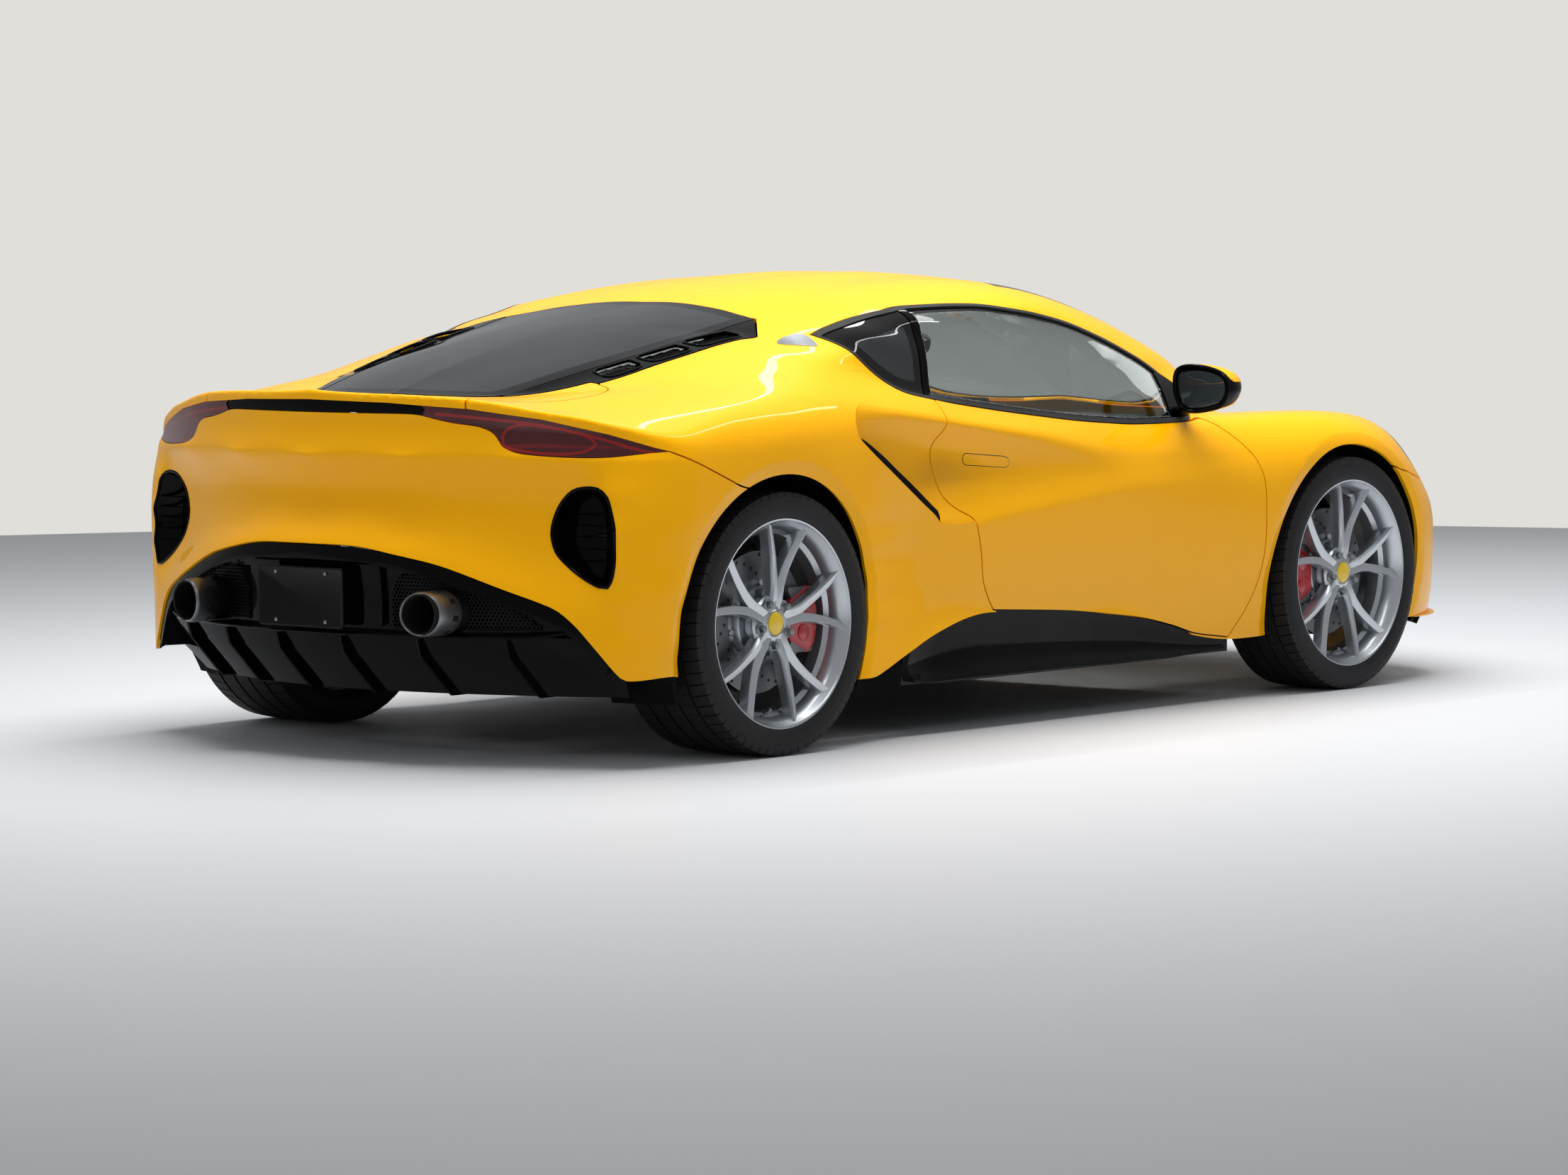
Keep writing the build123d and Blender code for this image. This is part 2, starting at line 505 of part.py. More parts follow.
with BuildPart() as diffuser:
    add(hull(LOWER_BODY, DIFFUSER_RECESS))
    add(hull(LOWER_BODY, DIFFUSER_RECESS + DIFFUSER_WALL), mode=Mode.SUBTRACT)
    add(end_block(DIFFUSER_OUTLINE, TAIL_X, DIFFUSER_FRONT), mode=Mode.INTERSECT)
    pad_half = PLATE_LENGTH / 2 + PLATE_PAD_MARGIN
    pad_rise = PLATE_HEIGHT / 2 + PLATE_PAD_MARGIN
    add(box_between((PLATE_PAD_X, -pad_half, PLATE_Z - pad_rise),
                    (PLATE_PAD_X + PLATE_PAD_DEPTH, pad_half, PLATE_Z + pad_rise)))
    add(plan_block(FIN_OUTLINE, FIN_Z, FIN_Z + FIN_THICKNESS))
    with Locations(*[Plane(origin=(PLATE_PAD_X, side * EXHAUST_Y, EXHAUST_Z), z_dir=(-1, 0, 0))
                     for side in (-1, 1)]):
        Hole(EXHAUST_RADIUS + EXHAUST_GAP)
    with Locations(*[Plane(origin=(PLATE_PAD_X, side * PLATE_HOLE_SPACING / 2, PLATE_Z), z_dir=(-1, 0, 0))
                     for side in (-1, 1)]):
        Hole(PLATE_HOLE_RADIUS, depth=PLATE_PAD_DEPTH + THROUGH)
pieces["diffuser"] = diffuser.part

with BuildPart() as number_plate:
    with BuildSketch(Plane.YZ.offset(PLATE_PAD_X)):
        with Locations((0, PLATE_Z)):
            RectangleRounded(PLATE_LENGTH, PLATE_HEIGHT, PLATE_CORNER)
            with GridLocations(PLATE_HOLE_SPACING, 0, 2, 1):
                Circle(PLATE_HOLE_RADIUS, mode=Mode.SUBTRACT)
    extrude(amount=-PLATE_THICKNESS)
pieces["number_plate"] = number_plate.part

# ---------------------------------------------------------------- roof, glass and tailgate
with BuildPart() as roof:
    add(roof_skin.part)
    add(plan_block(ROOF_OUTLINE, up(950), ABOVE_ROOF), mode=Mode.INTERSECT)
    add(tailgate_cut, mode=Mode.SUBTRACT)
pieces["roof"] = roof.part

with BuildPart() as side_frame_left:
    add(roof_skin.part)
    add(box_between((along(-1990), 10, DRAWN_BELT_Z), (along(1000), FAR_SIDE, ABOVE_ROOF)),
        mode=Mode.INTERSECT)
    add(plan_block(ROOF_OUTLINE, up(900), ABOVE_ROOF, PANEL_GAP / 2), mode=Mode.SUBTRACT)
    add(plan_block(WINDSCREEN_OUTLINE, 700, ABOVE_ROOF, PANEL_GAP / 2), mode=Mode.SUBTRACT)
    add(side_block(SIDE_GLASS_OUTLINE, across(300), FAR_SIDE), mode=Mode.SUBTRACT)
    add(hull(LOWER_BODY, -PANEL_GAP), mode=Mode.SUBTRACT)
    add(tailgate_cut, mode=Mode.SUBTRACT)
pieces["side_frame_left"] = side_frame_left.part

with BuildPart() as windscreen:
    add(glass_skin.part)
    add(plan_block(WINDSCREEN_OUTLINE, DRAWN_BELT_Z, ABOVE_ROOF), mode=Mode.INTERSECT)
pieces["windscreen"] = windscreen.part

with BuildPart() as side_glass:
    add(glass_skin.part)
    add(side_block(SIDE_GLASS_OUTLINE, across(300), FAR_SIDE, -PANEL_GAP), mode=Mode.INTERSECT)
with BuildPart() as door_glass_left:
    add(side_glass.part)
    add(box_between((along(DOOR_GLASS_REAR_X), across(300), 700), (along(1000), FAR_SIDE, ABOVE_ROOF)),
        mode=Mode.INTERSECT)
    add(hull(LOWER_BODY, -GLASS_TO_BODY), mode=Mode.SUBTRACT)
pieces["door_glass_left"] = door_glass_left.part
with BuildPart() as quarter_windows:
    add(side_glass.part)
    add(box_between((along(-1200), across(300), 700),
                    (along(DOOR_GLASS_REAR_X) - PANEL_GAP, FAR_SIDE, ABOVE_ROOF)),
        mode=Mode.INTERSECT)
    add(hull(LOWER_BODY, -GLASS_TO_BODY), mode=Mode.SUBTRACT)
pieces["quarter_windows"] = mirrored(quarter_windows.part)

with BuildPart() as rear_glass:
    add(glass_skin.part)
    add(plan_block(REAR_GLASS_OUTLINE, up(850), ABOVE_ROOF), mode=Mode.INTERSECT)
    add(hull(LOWER_BODY, -GLASS_TO_BODY), mode=Mode.SUBTRACT)
pieces["rear_glass"] = rear_glass.part

with BuildPart() as tailgate:
    add(lower_body)
    add(greenhouse)
    add(hull(LOWER_BODY, LID_THICKNESS), mode=Mode.SUBTRACT)
    add(hull(GREENHOUSE, LID_THICKNESS), mode=Mode.SUBTRACT)
    add(plan_block(TAILGATE_OUTLINE, up(890), ABOVE_ROOF, -PANEL_GAP / 2), mode=Mode.INTERSECT)
    add(plan_block(REAR_GLASS_OUTLINE, up(850), ABOVE_ROOF, GLASS_TO_LID), mode=Mode.SUBTRACT)
    add(lamp_cut.part, mode=Mode.SUBTRACT)
pieces["tailgate"] = tailgate.part

# ---------------------------------------------------------------- doors
with BuildPart() as door_left:
    inner_y = TUB_HALF_WIDTH + DOOR_TO_TUB
    add(body_skin.part)
    add(side_block(DOOR_OUTLINE, inner_y, FAR_SIDE, -PANEL_GAP / 2), mode=Mode.INTERSECT)
    with BuildPart(mode=Mode.PRIVATE) as inner_box:
        add(lower_body)
        add(side_block(DOOR_OUTLINE, inner_y, FAR_SIDE, -PANEL_GAP / 2 - DOOR_RETURN), mode=Mode.INTERSECT)
    add(inner_box.part)
    add(greenhouse, mode=Mode.SUBTRACT)
pieces["door_left"] = door_left.part

with BuildPart() as mirror_left:
    with Locations((along(485), BODY_WIDTH / 2 + MIRROR_REACH - MIRROR_SIZE[1] / 2, up(900))):
        housing = Box(*MIRROR_SIZE)
    fillet(housing.edges(), MIRROR_ROUNDING)
    with Locations((along(520), across(888), up(836))):
        Box(*MIRROR_FOOT)
    add(hull(LOWER_BODY, -MIRROR_TO_BODY), mode=Mode.SUBTRACT)
    add(hull(GREENHOUSE, -MIRROR_TO_BODY), mode=Mode.SUBTRACT)
pieces["mirror_left"] = mirror_left.part

for name in ("front_fender", "rear_fender", "side_frame", "door", "door_glass", "mirror"):
    with BuildPart() as other_side:
        mirror(pieces[name + "_left"], about=Plane.XZ)
    pieces[name + "_right"] = other_side.part


# ---------------------------------------------------------------- wheels
def wheel_plane(axle):
    """Section plane of a wheel: local x runs along the axle to the left, local y is the radius."""
    return Plane(origin=(axle["x"], 0, axle["radius"]), x_dir=(0, 1, 0), z_dir=(0, 0, 1))


def turned(axle, profile):
    with BuildPart() as ring:
        with BuildSketch(wheel_plane(axle)):
            with BuildLine():
                Polyline(*profile, close=True)
            make_face()
        revolve(axis=Axis((axle["x"], 0, axle["radius"]), (0, 1, 0)))
    return ring.part


def tyre_for(axle):
    face = axle["face_y"]
    inner = face + 2 * SIDEWALL_BULGE - axle["width"]
    seat, beside_lip = BEAD_RADIUS + FIT_GAP, RIM_LIP_WIDTH + LIP_GAP
    half = [
        (face - beside_lip, seat), (face - beside_lip, RIM_LIP_RADIUS + 4),
        (face + SIDEWALL_BULGE, RIM_LIP_RADIUS + 20),
        (face + SIDEWALL_BULGE, axle["radius"] - 24), (face - 12, axle["radius"] - 5),
        (face - 28, axle["radius"]),
    ]
    return turned(axle, half + [(face + inner - y, r) for y, r in reversed(half)])


def rim_for(axle):
    face = axle["face_y"]
    inner = face + 2 * SIDEWALL_BULGE - axle["width"]
    barrel = BEAD_RADIUS - BARREL_WALL
    spoke_y = face - HUB_RECESS - HUB_DEPTH / 2
    with BuildPart() as rim:
        add(turned(axle, [
            (inner, barrel), (inner, RIM_LIP_RADIUS - 4), (inner + RIM_LIP_WIDTH, RIM_LIP_RADIUS - 4),
            (inner + RIM_LIP_WIDTH, BEAD_RADIUS), (face - RIM_LIP_WIDTH, BEAD_RADIUS),
            (face - RIM_LIP_WIDTH, RIM_LIP_RADIUS),
            (face, RIM_LIP_RADIUS), (face, RIM_LIP_RADIUS - 9), (face - 6, BEAD_RADIUS - 4), (face - 24, barrel),
        ]))
        add(cross_cylinder(axle["x"], axle["radius"], HUB_RADIUS,
                           face - HUB_RECESS - HUB_DEPTH, face - HUB_RECESS))
        with BuildSketch(Plane(origin=(axle["x"], face - SPOKE_INSET, axle["radius"]), z_dir=(0, -1, 0))):
            for pair in range(SPOKE_PAIRS):
                for lean in (-1, 1):
                    middle = 90 + pair * 360 / SPOKE_PAIRS
                    root = radians(middle + lean * SPOKE_ROOT_SPREAD / 2)
                    tip = radians(middle + lean * SPOKE_SPREAD / 2)
                    with BuildLine():
                        spoke = Line((0.8 * HUB_RADIUS * cos(root), 0.8 * HUB_RADIUS * sin(root)),
                                     ((barrel + 5) * cos(tip), (barrel + 5) * sin(tip)))
                    trace(spoke, line_width=SPOKE_WIDTH)
        extrude(amount=SPOKE_DEPTH)
    return rim.part


def disc_for(axle):
    mount = axle["face_y"] - HUB_RECESS - HUB_DEPTH
    outer = mount - DISC_OFFSET
    bore = SPINDLE_RADIUS + RUNNING_CLEARANCE
    return turned(axle, [
        (outer - DISC_WIDTH, bore), (outer - DISC_WIDTH, DISC_RADIUS), (outer, DISC_RADIUS),
        (outer, DISC_HAT_RADIUS), (mount, DISC_HAT_RADIUS), (mount, bore),
    ])


def knuckle_for(axle, toward):
    """Upright with its spindle and caliper. toward is +1 with the caliper ahead of the axle, -1 behind."""
    mount = axle["face_y"] - HUB_RECESS - HUB_DEPTH
    disc_outer = mount - DISC_OFFSET
    disc_inner = disc_outer - DISC_WIDTH
    bridge = DISC_RADIUS + PAD_GAP
    x, z = axle["x"], axle["radius"]
    foot = DISC_RADIUS - CALIPER_OVERLAP
    with BuildPart() as knuckle:
        add(turned(axle, [
            (disc_inner - PAD_GAP - CALIPER_WALL, foot), (disc_inner - PAD_GAP, foot),
            (disc_inner - PAD_GAP, bridge), (disc_outer + PAD_GAP, bridge),
            (disc_outer + PAD_GAP, foot), (disc_outer + PAD_GAP + CALIPER_WALL, foot),
            (disc_outer + PAD_GAP + CALIPER_WALL, bridge + CALIPER_WALL),
            (disc_inner - PAD_GAP - CALIPER_WALL, bridge + CALIPER_WALL),
        ]))
        rise = (bridge + CALIPER_WALL) * sin(radians(CALIPER_HALF_ANGLE))
        ends = sorted((x + toward * (DISC_RADIUS + CALIPER_START), x + toward * (DISC_RADIUS + CALIPER_END)))
        add(box_between((ends[0], 0, z - rise), (ends[1], FAR_SIDE, z + rise)), mode=Mode.INTERSECT)
        carrier = sorted((x, x + toward * (DISC_RADIUS + CARRIER_END)))
        add(box_between((carrier[0], KINGPIN_Y - CARRIER_HALF_WIDTH, z - SPINDLE_RADIUS),
                        (carrier[1], disc_inner - PAD_GAP - CARRIER_GAP, z + SPINDLE_RADIUS)))
        add(box_between((x - UPRIGHT_HALF_LENGTH, KINGPIN_Y - UPRIGHT_HALF_WIDTH, BALL_LOW_Z),
                        (x + UPRIGHT_HALF_LENGTH, KINGPIN_Y + UPRIGHT_HALF_WIDTH, BALL_HIGH_Z)))
        add(cross_cylinder(x, z, SPINDLE_RADIUS, KINGPIN_Y, mount - SPINDLE_END_GAP))
    return knuckle.part


for end, axle, toward in (("front", FRONT_WHEEL, -1), ("rear", REAR_WHEEL, 1)):
    left = dict(tyre=tyre_for(axle), rim=rim_for(axle), brake_disc=disc_for(axle))
    for name, piece in left.items():
        with BuildPart() as other_side:
            mirror(piece, about=Plane.XZ)
        pieces[f"{end}_{name}_left"] = piece
        pieces[f"{end}_{name}_right"] = other_side.part
    knuckle = knuckle_for(axle, toward)
    if end == "rear":
        pieces["rear_uprights"] = mirrored(knuckle)
    else:
        with BuildPart() as other_side:
            mirror(knuckle, about=Plane.XZ)
        pieces["front_knuckle_left"] = knuckle
        pieces["front_knuckle_right"] = other_side.part

# ---------------------------------------------------------------- suspension and liners
arm_root = RAIL_Y + RAIL_WIDTH / 2
with BuildPart() as front_arms:
    x = FRONT_AXLE_X
    for low, high in ((BALL_LOW_Z - BALL_GAP - ARM_THICKNESS, BALL_LOW_Z - BALL_GAP),
                      (BALL_HIGH_Z + BALL_GAP, BALL_HIGH_Z + BALL_GAP + ARM_THICKNESS)):
        add(box_between((x - ARM_HALF_WIDTH, arm_root, low),
                        (x + ARM_HALF_WIDTH, KINGPIN_Y + FRONT_ARM_END, high)))
pieces["front_suspension"] = mirrored(front_arms.part)

with BuildPart() as rear_arms:
    x = REAR_AXLE_X
    reach = KINGPIN_Y - UPRIGHT_HALF_WIDTH
    for low in (BALL_LOW_Z + REAR_ARM_INSET, BALL_HIGH_Z - ARM_THICKNESS - REAR_ARM_INSET):
        add(box_between((x - ARM_HALF_WIDTH, arm_root, low), (x + ARM_HALF_WIDTH, reach, low + ARM_THICKNESS)))
    add(cross_cylinder(x, REAR_WHEEL["radius"], DRIVESHAFT_RADIUS, RAIL_Y - GEARBOX_TO_RAIL, reach))
pieces["rear_suspension"] = mirrored(rear_arms.part)

with BuildPart() as liner_pair:
    for axle in (FRONT_WHEEL, REAR_WHEEL):
        inner = axle["radius"] + LINER_GAP
        near = LINER_INNER_Y if axle is FRONT_WHEEL else LINER_INNER_Y + REAR_LINER_INSET
        with BuildPart(mode=Mode.PRIVATE) as liner:
            add(cross_cylinder(axle["x"], axle["radius"], inner + LINER_WALL, near, LINER_OUTER_Y))
            add(cross_cylinder(axle["x"], axle["radius"], inner, near, LINER_OUTER_Y), mode=Mode.SUBTRACT)
            add(box_between((-LENGTH, 0, 0), (LENGTH, FAR_SIDE, LINER_BOTTOM_Z)), mode=Mode.SUBTRACT)
        add(liner.part)
    add(hull(LOWER_BODY, SKIN + LINER_TO_SKIN), mode=Mode.INTERSECT)
pieces["arch_liners"] = mirrored(liner_pair.part)

# ---------------------------------------------------------------- engine and exhaust
with BuildPart() as engine:
    block, gearbox = RAIL_Y - ENGINE_TO_RAIL, RAIL_Y - GEARBOX_TO_RAIL
    front = REAR_AXLE_X + ENGINE_START
    add(box_between((front, -block, ENGINE_LOW), (front + ENGINE_LENGTH, block, ENGINE_HIGH)))
    add(box_between((REAR_AXLE_X - GEARBOX_TAIL, -gearbox, GEARBOX_LOW), (front, gearbox, GEARBOX_HIGH)))
pieces["engine"] = engine.part

with BuildPart() as exhaust:
    muffler_rear = MUFFLER_FRONT - MUFFLER_LENGTH
    half_length = EXHAUST_Y + MUFFLER_SIDE
    add(box_between((muffler_rear, -half_length, MUFFLER_LOW), (MUFFLER_FRONT, half_length, MUFFLER_HIGH)))
    for side in (-1, 1):
        with BuildSketch(Plane.YZ.offset(muffler_rear)):
            with Locations((side * EXHAUST_Y, EXHAUST_Z)):
                Circle(EXHAUST_RADIUS)
                Circle(EXHAUST_RADIUS - EXHAUST_WALL, mode=Mode.SUBTRACT)
        extrude(amount=EXHAUST_TIP_X - muffler_rear)
pieces["exhaust"] = exhaust.part

# ---------------------------------------------------------------- cabin
SEAT_PROFILE = [
    (190, 175), (205, 318), (150, 335), (-225, 290), (-300, 480), (-470, 900), (-520, 925),
    (-575, 900), (-560, 800), (-380, 300), (-350, 175),
]
DASH_PROFILE = [(770, 470), (770, 790), (610, 818), (490, 800), (445, 725), (480, 610), (600, 520)]
with BuildPart() as seat_left:
    add(side_block(SEAT_PROFILE, SEAT_NEAR, SEAT_FAR))
pieces["seats"] = mirrored(seat_left.part)

with BuildPart() as dashboard:
    add(side_block(DASH_PROFILE, DASH_TO_TUB - TUB_HALF_WIDTH, TUB_HALF_WIDTH - DASH_TO_TUB))
pieces["dashboard"] = dashboard.part

with BuildPart() as steering_wheel:
    spot = STEERING_WHEEL
    face = Plane(origin=(along(spot["x"]), spot["y"], spot["z"]), x_dir=(0, 1, 0),
                 z_dir=(-cos(radians(spot["tilt"])), 0, sin(radians(spot["tilt"]))))
    with BuildSketch(Plane(origin=face.origin, x_dir=face.x_dir, z_dir=face.y_dir)):
        with Locations((spot["radius"], 0)):
            Circle(spot["rim"])
    revolve(axis=Axis(face.origin, face.z_dir))
    with BuildSketch(face.offset(-STEERING_HUB_DEPTH / 2)):
        Circle(STEERING_HUB_RADIUS)
        for direction in (0, 180, 270):
            with PolarLocations(spot["radius"] / 2, 1, start_angle=direction):
                Rectangle(spot["radius"], STEERING_SPOKE_WIDTH)
    extrude(amount=STEERING_HUB_DEPTH)
    with BuildSketch(face.offset(-STEERING_HUB_DEPTH / 2)):
        Circle(COLUMN_RADIUS)
    extrude(amount=-COLUMN_LENGTH)
pieces["steering_wheel"] = steering_wheel.part

# ---------------------------------------------------------------- files
os.makedirs("parts", exist_ok=True)
for name, piece in pieces.items():
    piece.label = name
    export_step(piece, f"parts/{name}.step")
print(len(pieces), "pieces,", round(LENGTH, 1), "mm long")
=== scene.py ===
from math import cos, pi, radians, sin, sqrt

import bpy
import numpy as np
from mathutils import Matrix


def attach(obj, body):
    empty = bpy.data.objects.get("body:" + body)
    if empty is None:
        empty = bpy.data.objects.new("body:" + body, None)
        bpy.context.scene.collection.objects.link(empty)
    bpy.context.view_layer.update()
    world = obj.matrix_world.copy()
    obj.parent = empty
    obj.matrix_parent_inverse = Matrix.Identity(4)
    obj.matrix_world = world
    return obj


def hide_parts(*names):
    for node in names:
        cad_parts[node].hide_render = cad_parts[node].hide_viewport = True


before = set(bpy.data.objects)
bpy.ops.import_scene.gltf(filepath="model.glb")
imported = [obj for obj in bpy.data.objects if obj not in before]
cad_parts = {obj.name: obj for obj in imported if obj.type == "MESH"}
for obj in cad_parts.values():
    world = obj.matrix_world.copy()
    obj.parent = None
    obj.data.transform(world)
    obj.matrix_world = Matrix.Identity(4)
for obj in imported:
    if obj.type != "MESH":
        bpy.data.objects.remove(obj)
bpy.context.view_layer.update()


# ------------------------------------------------------------------ the body's outer surface
# Composite panels pressed over one smooth shape. Six fair sheets are laid through measured points:
# flank, upper side, tail, nose, cabin side and roof. They are joined with rounded edges, and
# every outer panel and pane is cut from the result. Millimetres, left half of the car.
MM = 0.001
PITCH = 0.011                # of the mesh that follows the surface
GRID = 0.01                  # of the sheets' own tables of heights
REAR_AXLE, FRONT_AXLE = -1.365, 1.210
ARCHES = {"rear": (REAR_AXLE, 0.3425, 0.386), "front": (FRONT_AXLE, 0.34, 0.376)}    # x, z, radius of the opening
CHAMFER, CHAMFER_DEPTH = 0.034, 0.011       # the edge turned in round each wheel opening


def fair_sheet(rows, squeeze, area):
    """Thin plate through points (u, v, height), as a grid of heights over the area."""
    points = np.array([(u, v, h) for u, pairs in rows for v, h in pairs], float) * MM
    site = points[:, :2] * squeeze

    def bending(a, b):
        r2 = ((a[:, None, :] - b[None, :, :]) ** 2).sum(2)
        return r2 * np.log(r2 + 1e-12)

    n = len(site)
    system = np.zeros((n + 3, n + 3))
    system[:n, :n] = bending(site, site)
    system[:n, n:] = np.column_stack([np.ones(n), site])
    system[n:, :n] = system[:n, n:].T
    weights = np.linalg.solve(system, np.append(points[:, 2], [0, 0, 0]))
    u0, u1, v0, v1 = area
    us, vs = np.arange(u0, u1 + 1.1 * GRID, GRID), np.arange(v0, v1 + 1.1 * GRID, GRID)
    grid = np.empty((len(us), len(vs)))
    for i, u in enumerate(us):
        spots = np.column_stack([np.full(len(vs), u), vs]) * squeeze
        grid[i] = bending(spots, site) @ weights[:n] + weights[n] + spots @ weights[n + 1:]
    return grid, u0, v0


def height_at(sheet, u, v):
    """Height of a sheet and its two slopes, by cubic interpolation in its grid."""
    grid, u0, v0 = sheet
    total = slope_u = slope_v = 0
    place = [np.clip((w - w0) / GRID, 1, size - 2.001) for w, w0, size in zip((u, v), (u0, v0), grid.shape)]
    whole = [p.astype(int) for p in place]
    part = [p - w for p, w in zip(place, whole)]
    tap = [[(-t + 2 * t * t - t ** 3) / 2, (2 - 5 * t * t + 3 * t ** 3) / 2,
            (t + 4 * t * t - 3 * t ** 3) / 2, (t ** 3 - t * t) / 2] for t in part]
    rise = [[(-1 + 4 * t - 3 * t * t) / 2, (-10 * t + 9 * t * t) / 2,
             (1 + 8 * t - 9 * t * t) / 2, (3 * t * t - 2 * t) / 2] for t in part]
    for i in range(4):
        for j in range(4):
            height = grid[np.clip(whole[0] + i - 1, 0, grid.shape[0] - 1),
                          np.clip(whole[1] + j - 1, 0, grid.shape[1] - 1)]
            total = total + height * tap[0][i] * tap[1][j]
            slope_u = slope_u + height * rise[0][i] * tap[1][j] / GRID
            slope_v = slope_v + height * tap[0][i] * rise[1][j] / GRID
    return total, slope_u, slope_v


# x, then (z, half width) up the flank
FLANK = [
    (-2200, [(150, 905), (350, 925), (600, 930), (800, 920), (960, 890)]),
    (-2000, [(150, 905), (350, 930), (600, 938), (800, 930), (960, 890)]),
    (-1820, [(150, 892), (230, 908), (300, 919), (420, 933), (600, 944), (760, 943), (860, 930), (960, 895)]),
    (-1720, [(180, 884), (270, 899), (400, 918), (550, 935), (700, 944), (800, 938), (880, 920), (960, 890)]),
    (-1550, [(200, 889), (350, 911), (480, 928), (600, 936), (700, 945), (780, 943), (860, 928), (960, 890)]),
    (-1365, [(200, 895), (350, 915), (500, 930), (660, 940), (740, 946), (820, 942), (880, 925), (960, 885)]),
    (-1180, [(200, 892), (350, 906), (480, 916), (600, 927), (700, 937), (780, 939), (860, 925), (950, 890)]),
    (-1000, [(180, 893), (260, 895), (340, 899), (430, 903), (520, 908), (620, 917), (720, 926), (800, 928),
             (880, 914), (950, 885)]),
    (-880, [(180, 872), (280, 874), (380, 878), (480, 885), (580, 898), (680, 912), (780, 920), (860, 915),
            (950, 880)]),
    (-740, [(200, 850), (300, 862), (400, 871), (500, 882), (600, 896), (700, 908), (800, 914), (860, 910),
            (940, 880)]),
    (-600, [(220, 842), (300, 860), (400, 876), (500, 888), (600, 899), (700, 908), (800, 912), (860, 905),
            (930, 880)]),
    (-400, [(240, 843), (300, 860), (400, 879), (500, 892), (600, 901), (700, 907), (800, 908), (880, 890)]),
    (-150, [(240, 845), (300, 862), (400, 881), (500, 894), (600, 903), (700, 907), (780, 904), (860, 885)]),
    (100, [(220, 845), (300, 864), (400, 883), (500, 896), (600, 905), (690, 908), (760, 898), (840, 870)]),
    (350, [(180, 846), (260, 865), (350, 881), (450, 895), (550, 905), (650, 908), (730, 898), (800, 872)]),
    (600, [(160, 850), (240, 869), (330, 887), (430, 902), (530, 911), (630, 912), (710, 900), (790, 868)]),
    (800, [(160, 856), (240, 874), (330, 893), (430, 910), (530, 919), (630, 919), (710, 905), (790, 868)]),
    (930, [(180, 860), (260, 884), (350, 902), (450, 918), (550, 926), (650, 925), (720, 911), (790, 874)]),
    (1210, [(200, 880), (350, 910), (480, 926), (600, 936), (700, 935), (760, 918), (810, 885)]),
    (1480, [(200, 880), (350, 910), (480, 926), (600, 930), (680, 922), (740, 902), (800, 860)]),
    (1600, [(130, 868), (240, 890), (340, 908), (440, 920), (540, 922), (640, 912), (710, 885), (780, 840)]),
    (1800, [(130, 850), (240, 872), (340, 888), (440, 897), (540, 892), (620, 870), (700, 830)]),
    (2200, [(130, 760), (340, 780), (540, 780), (700, 740)]),
]
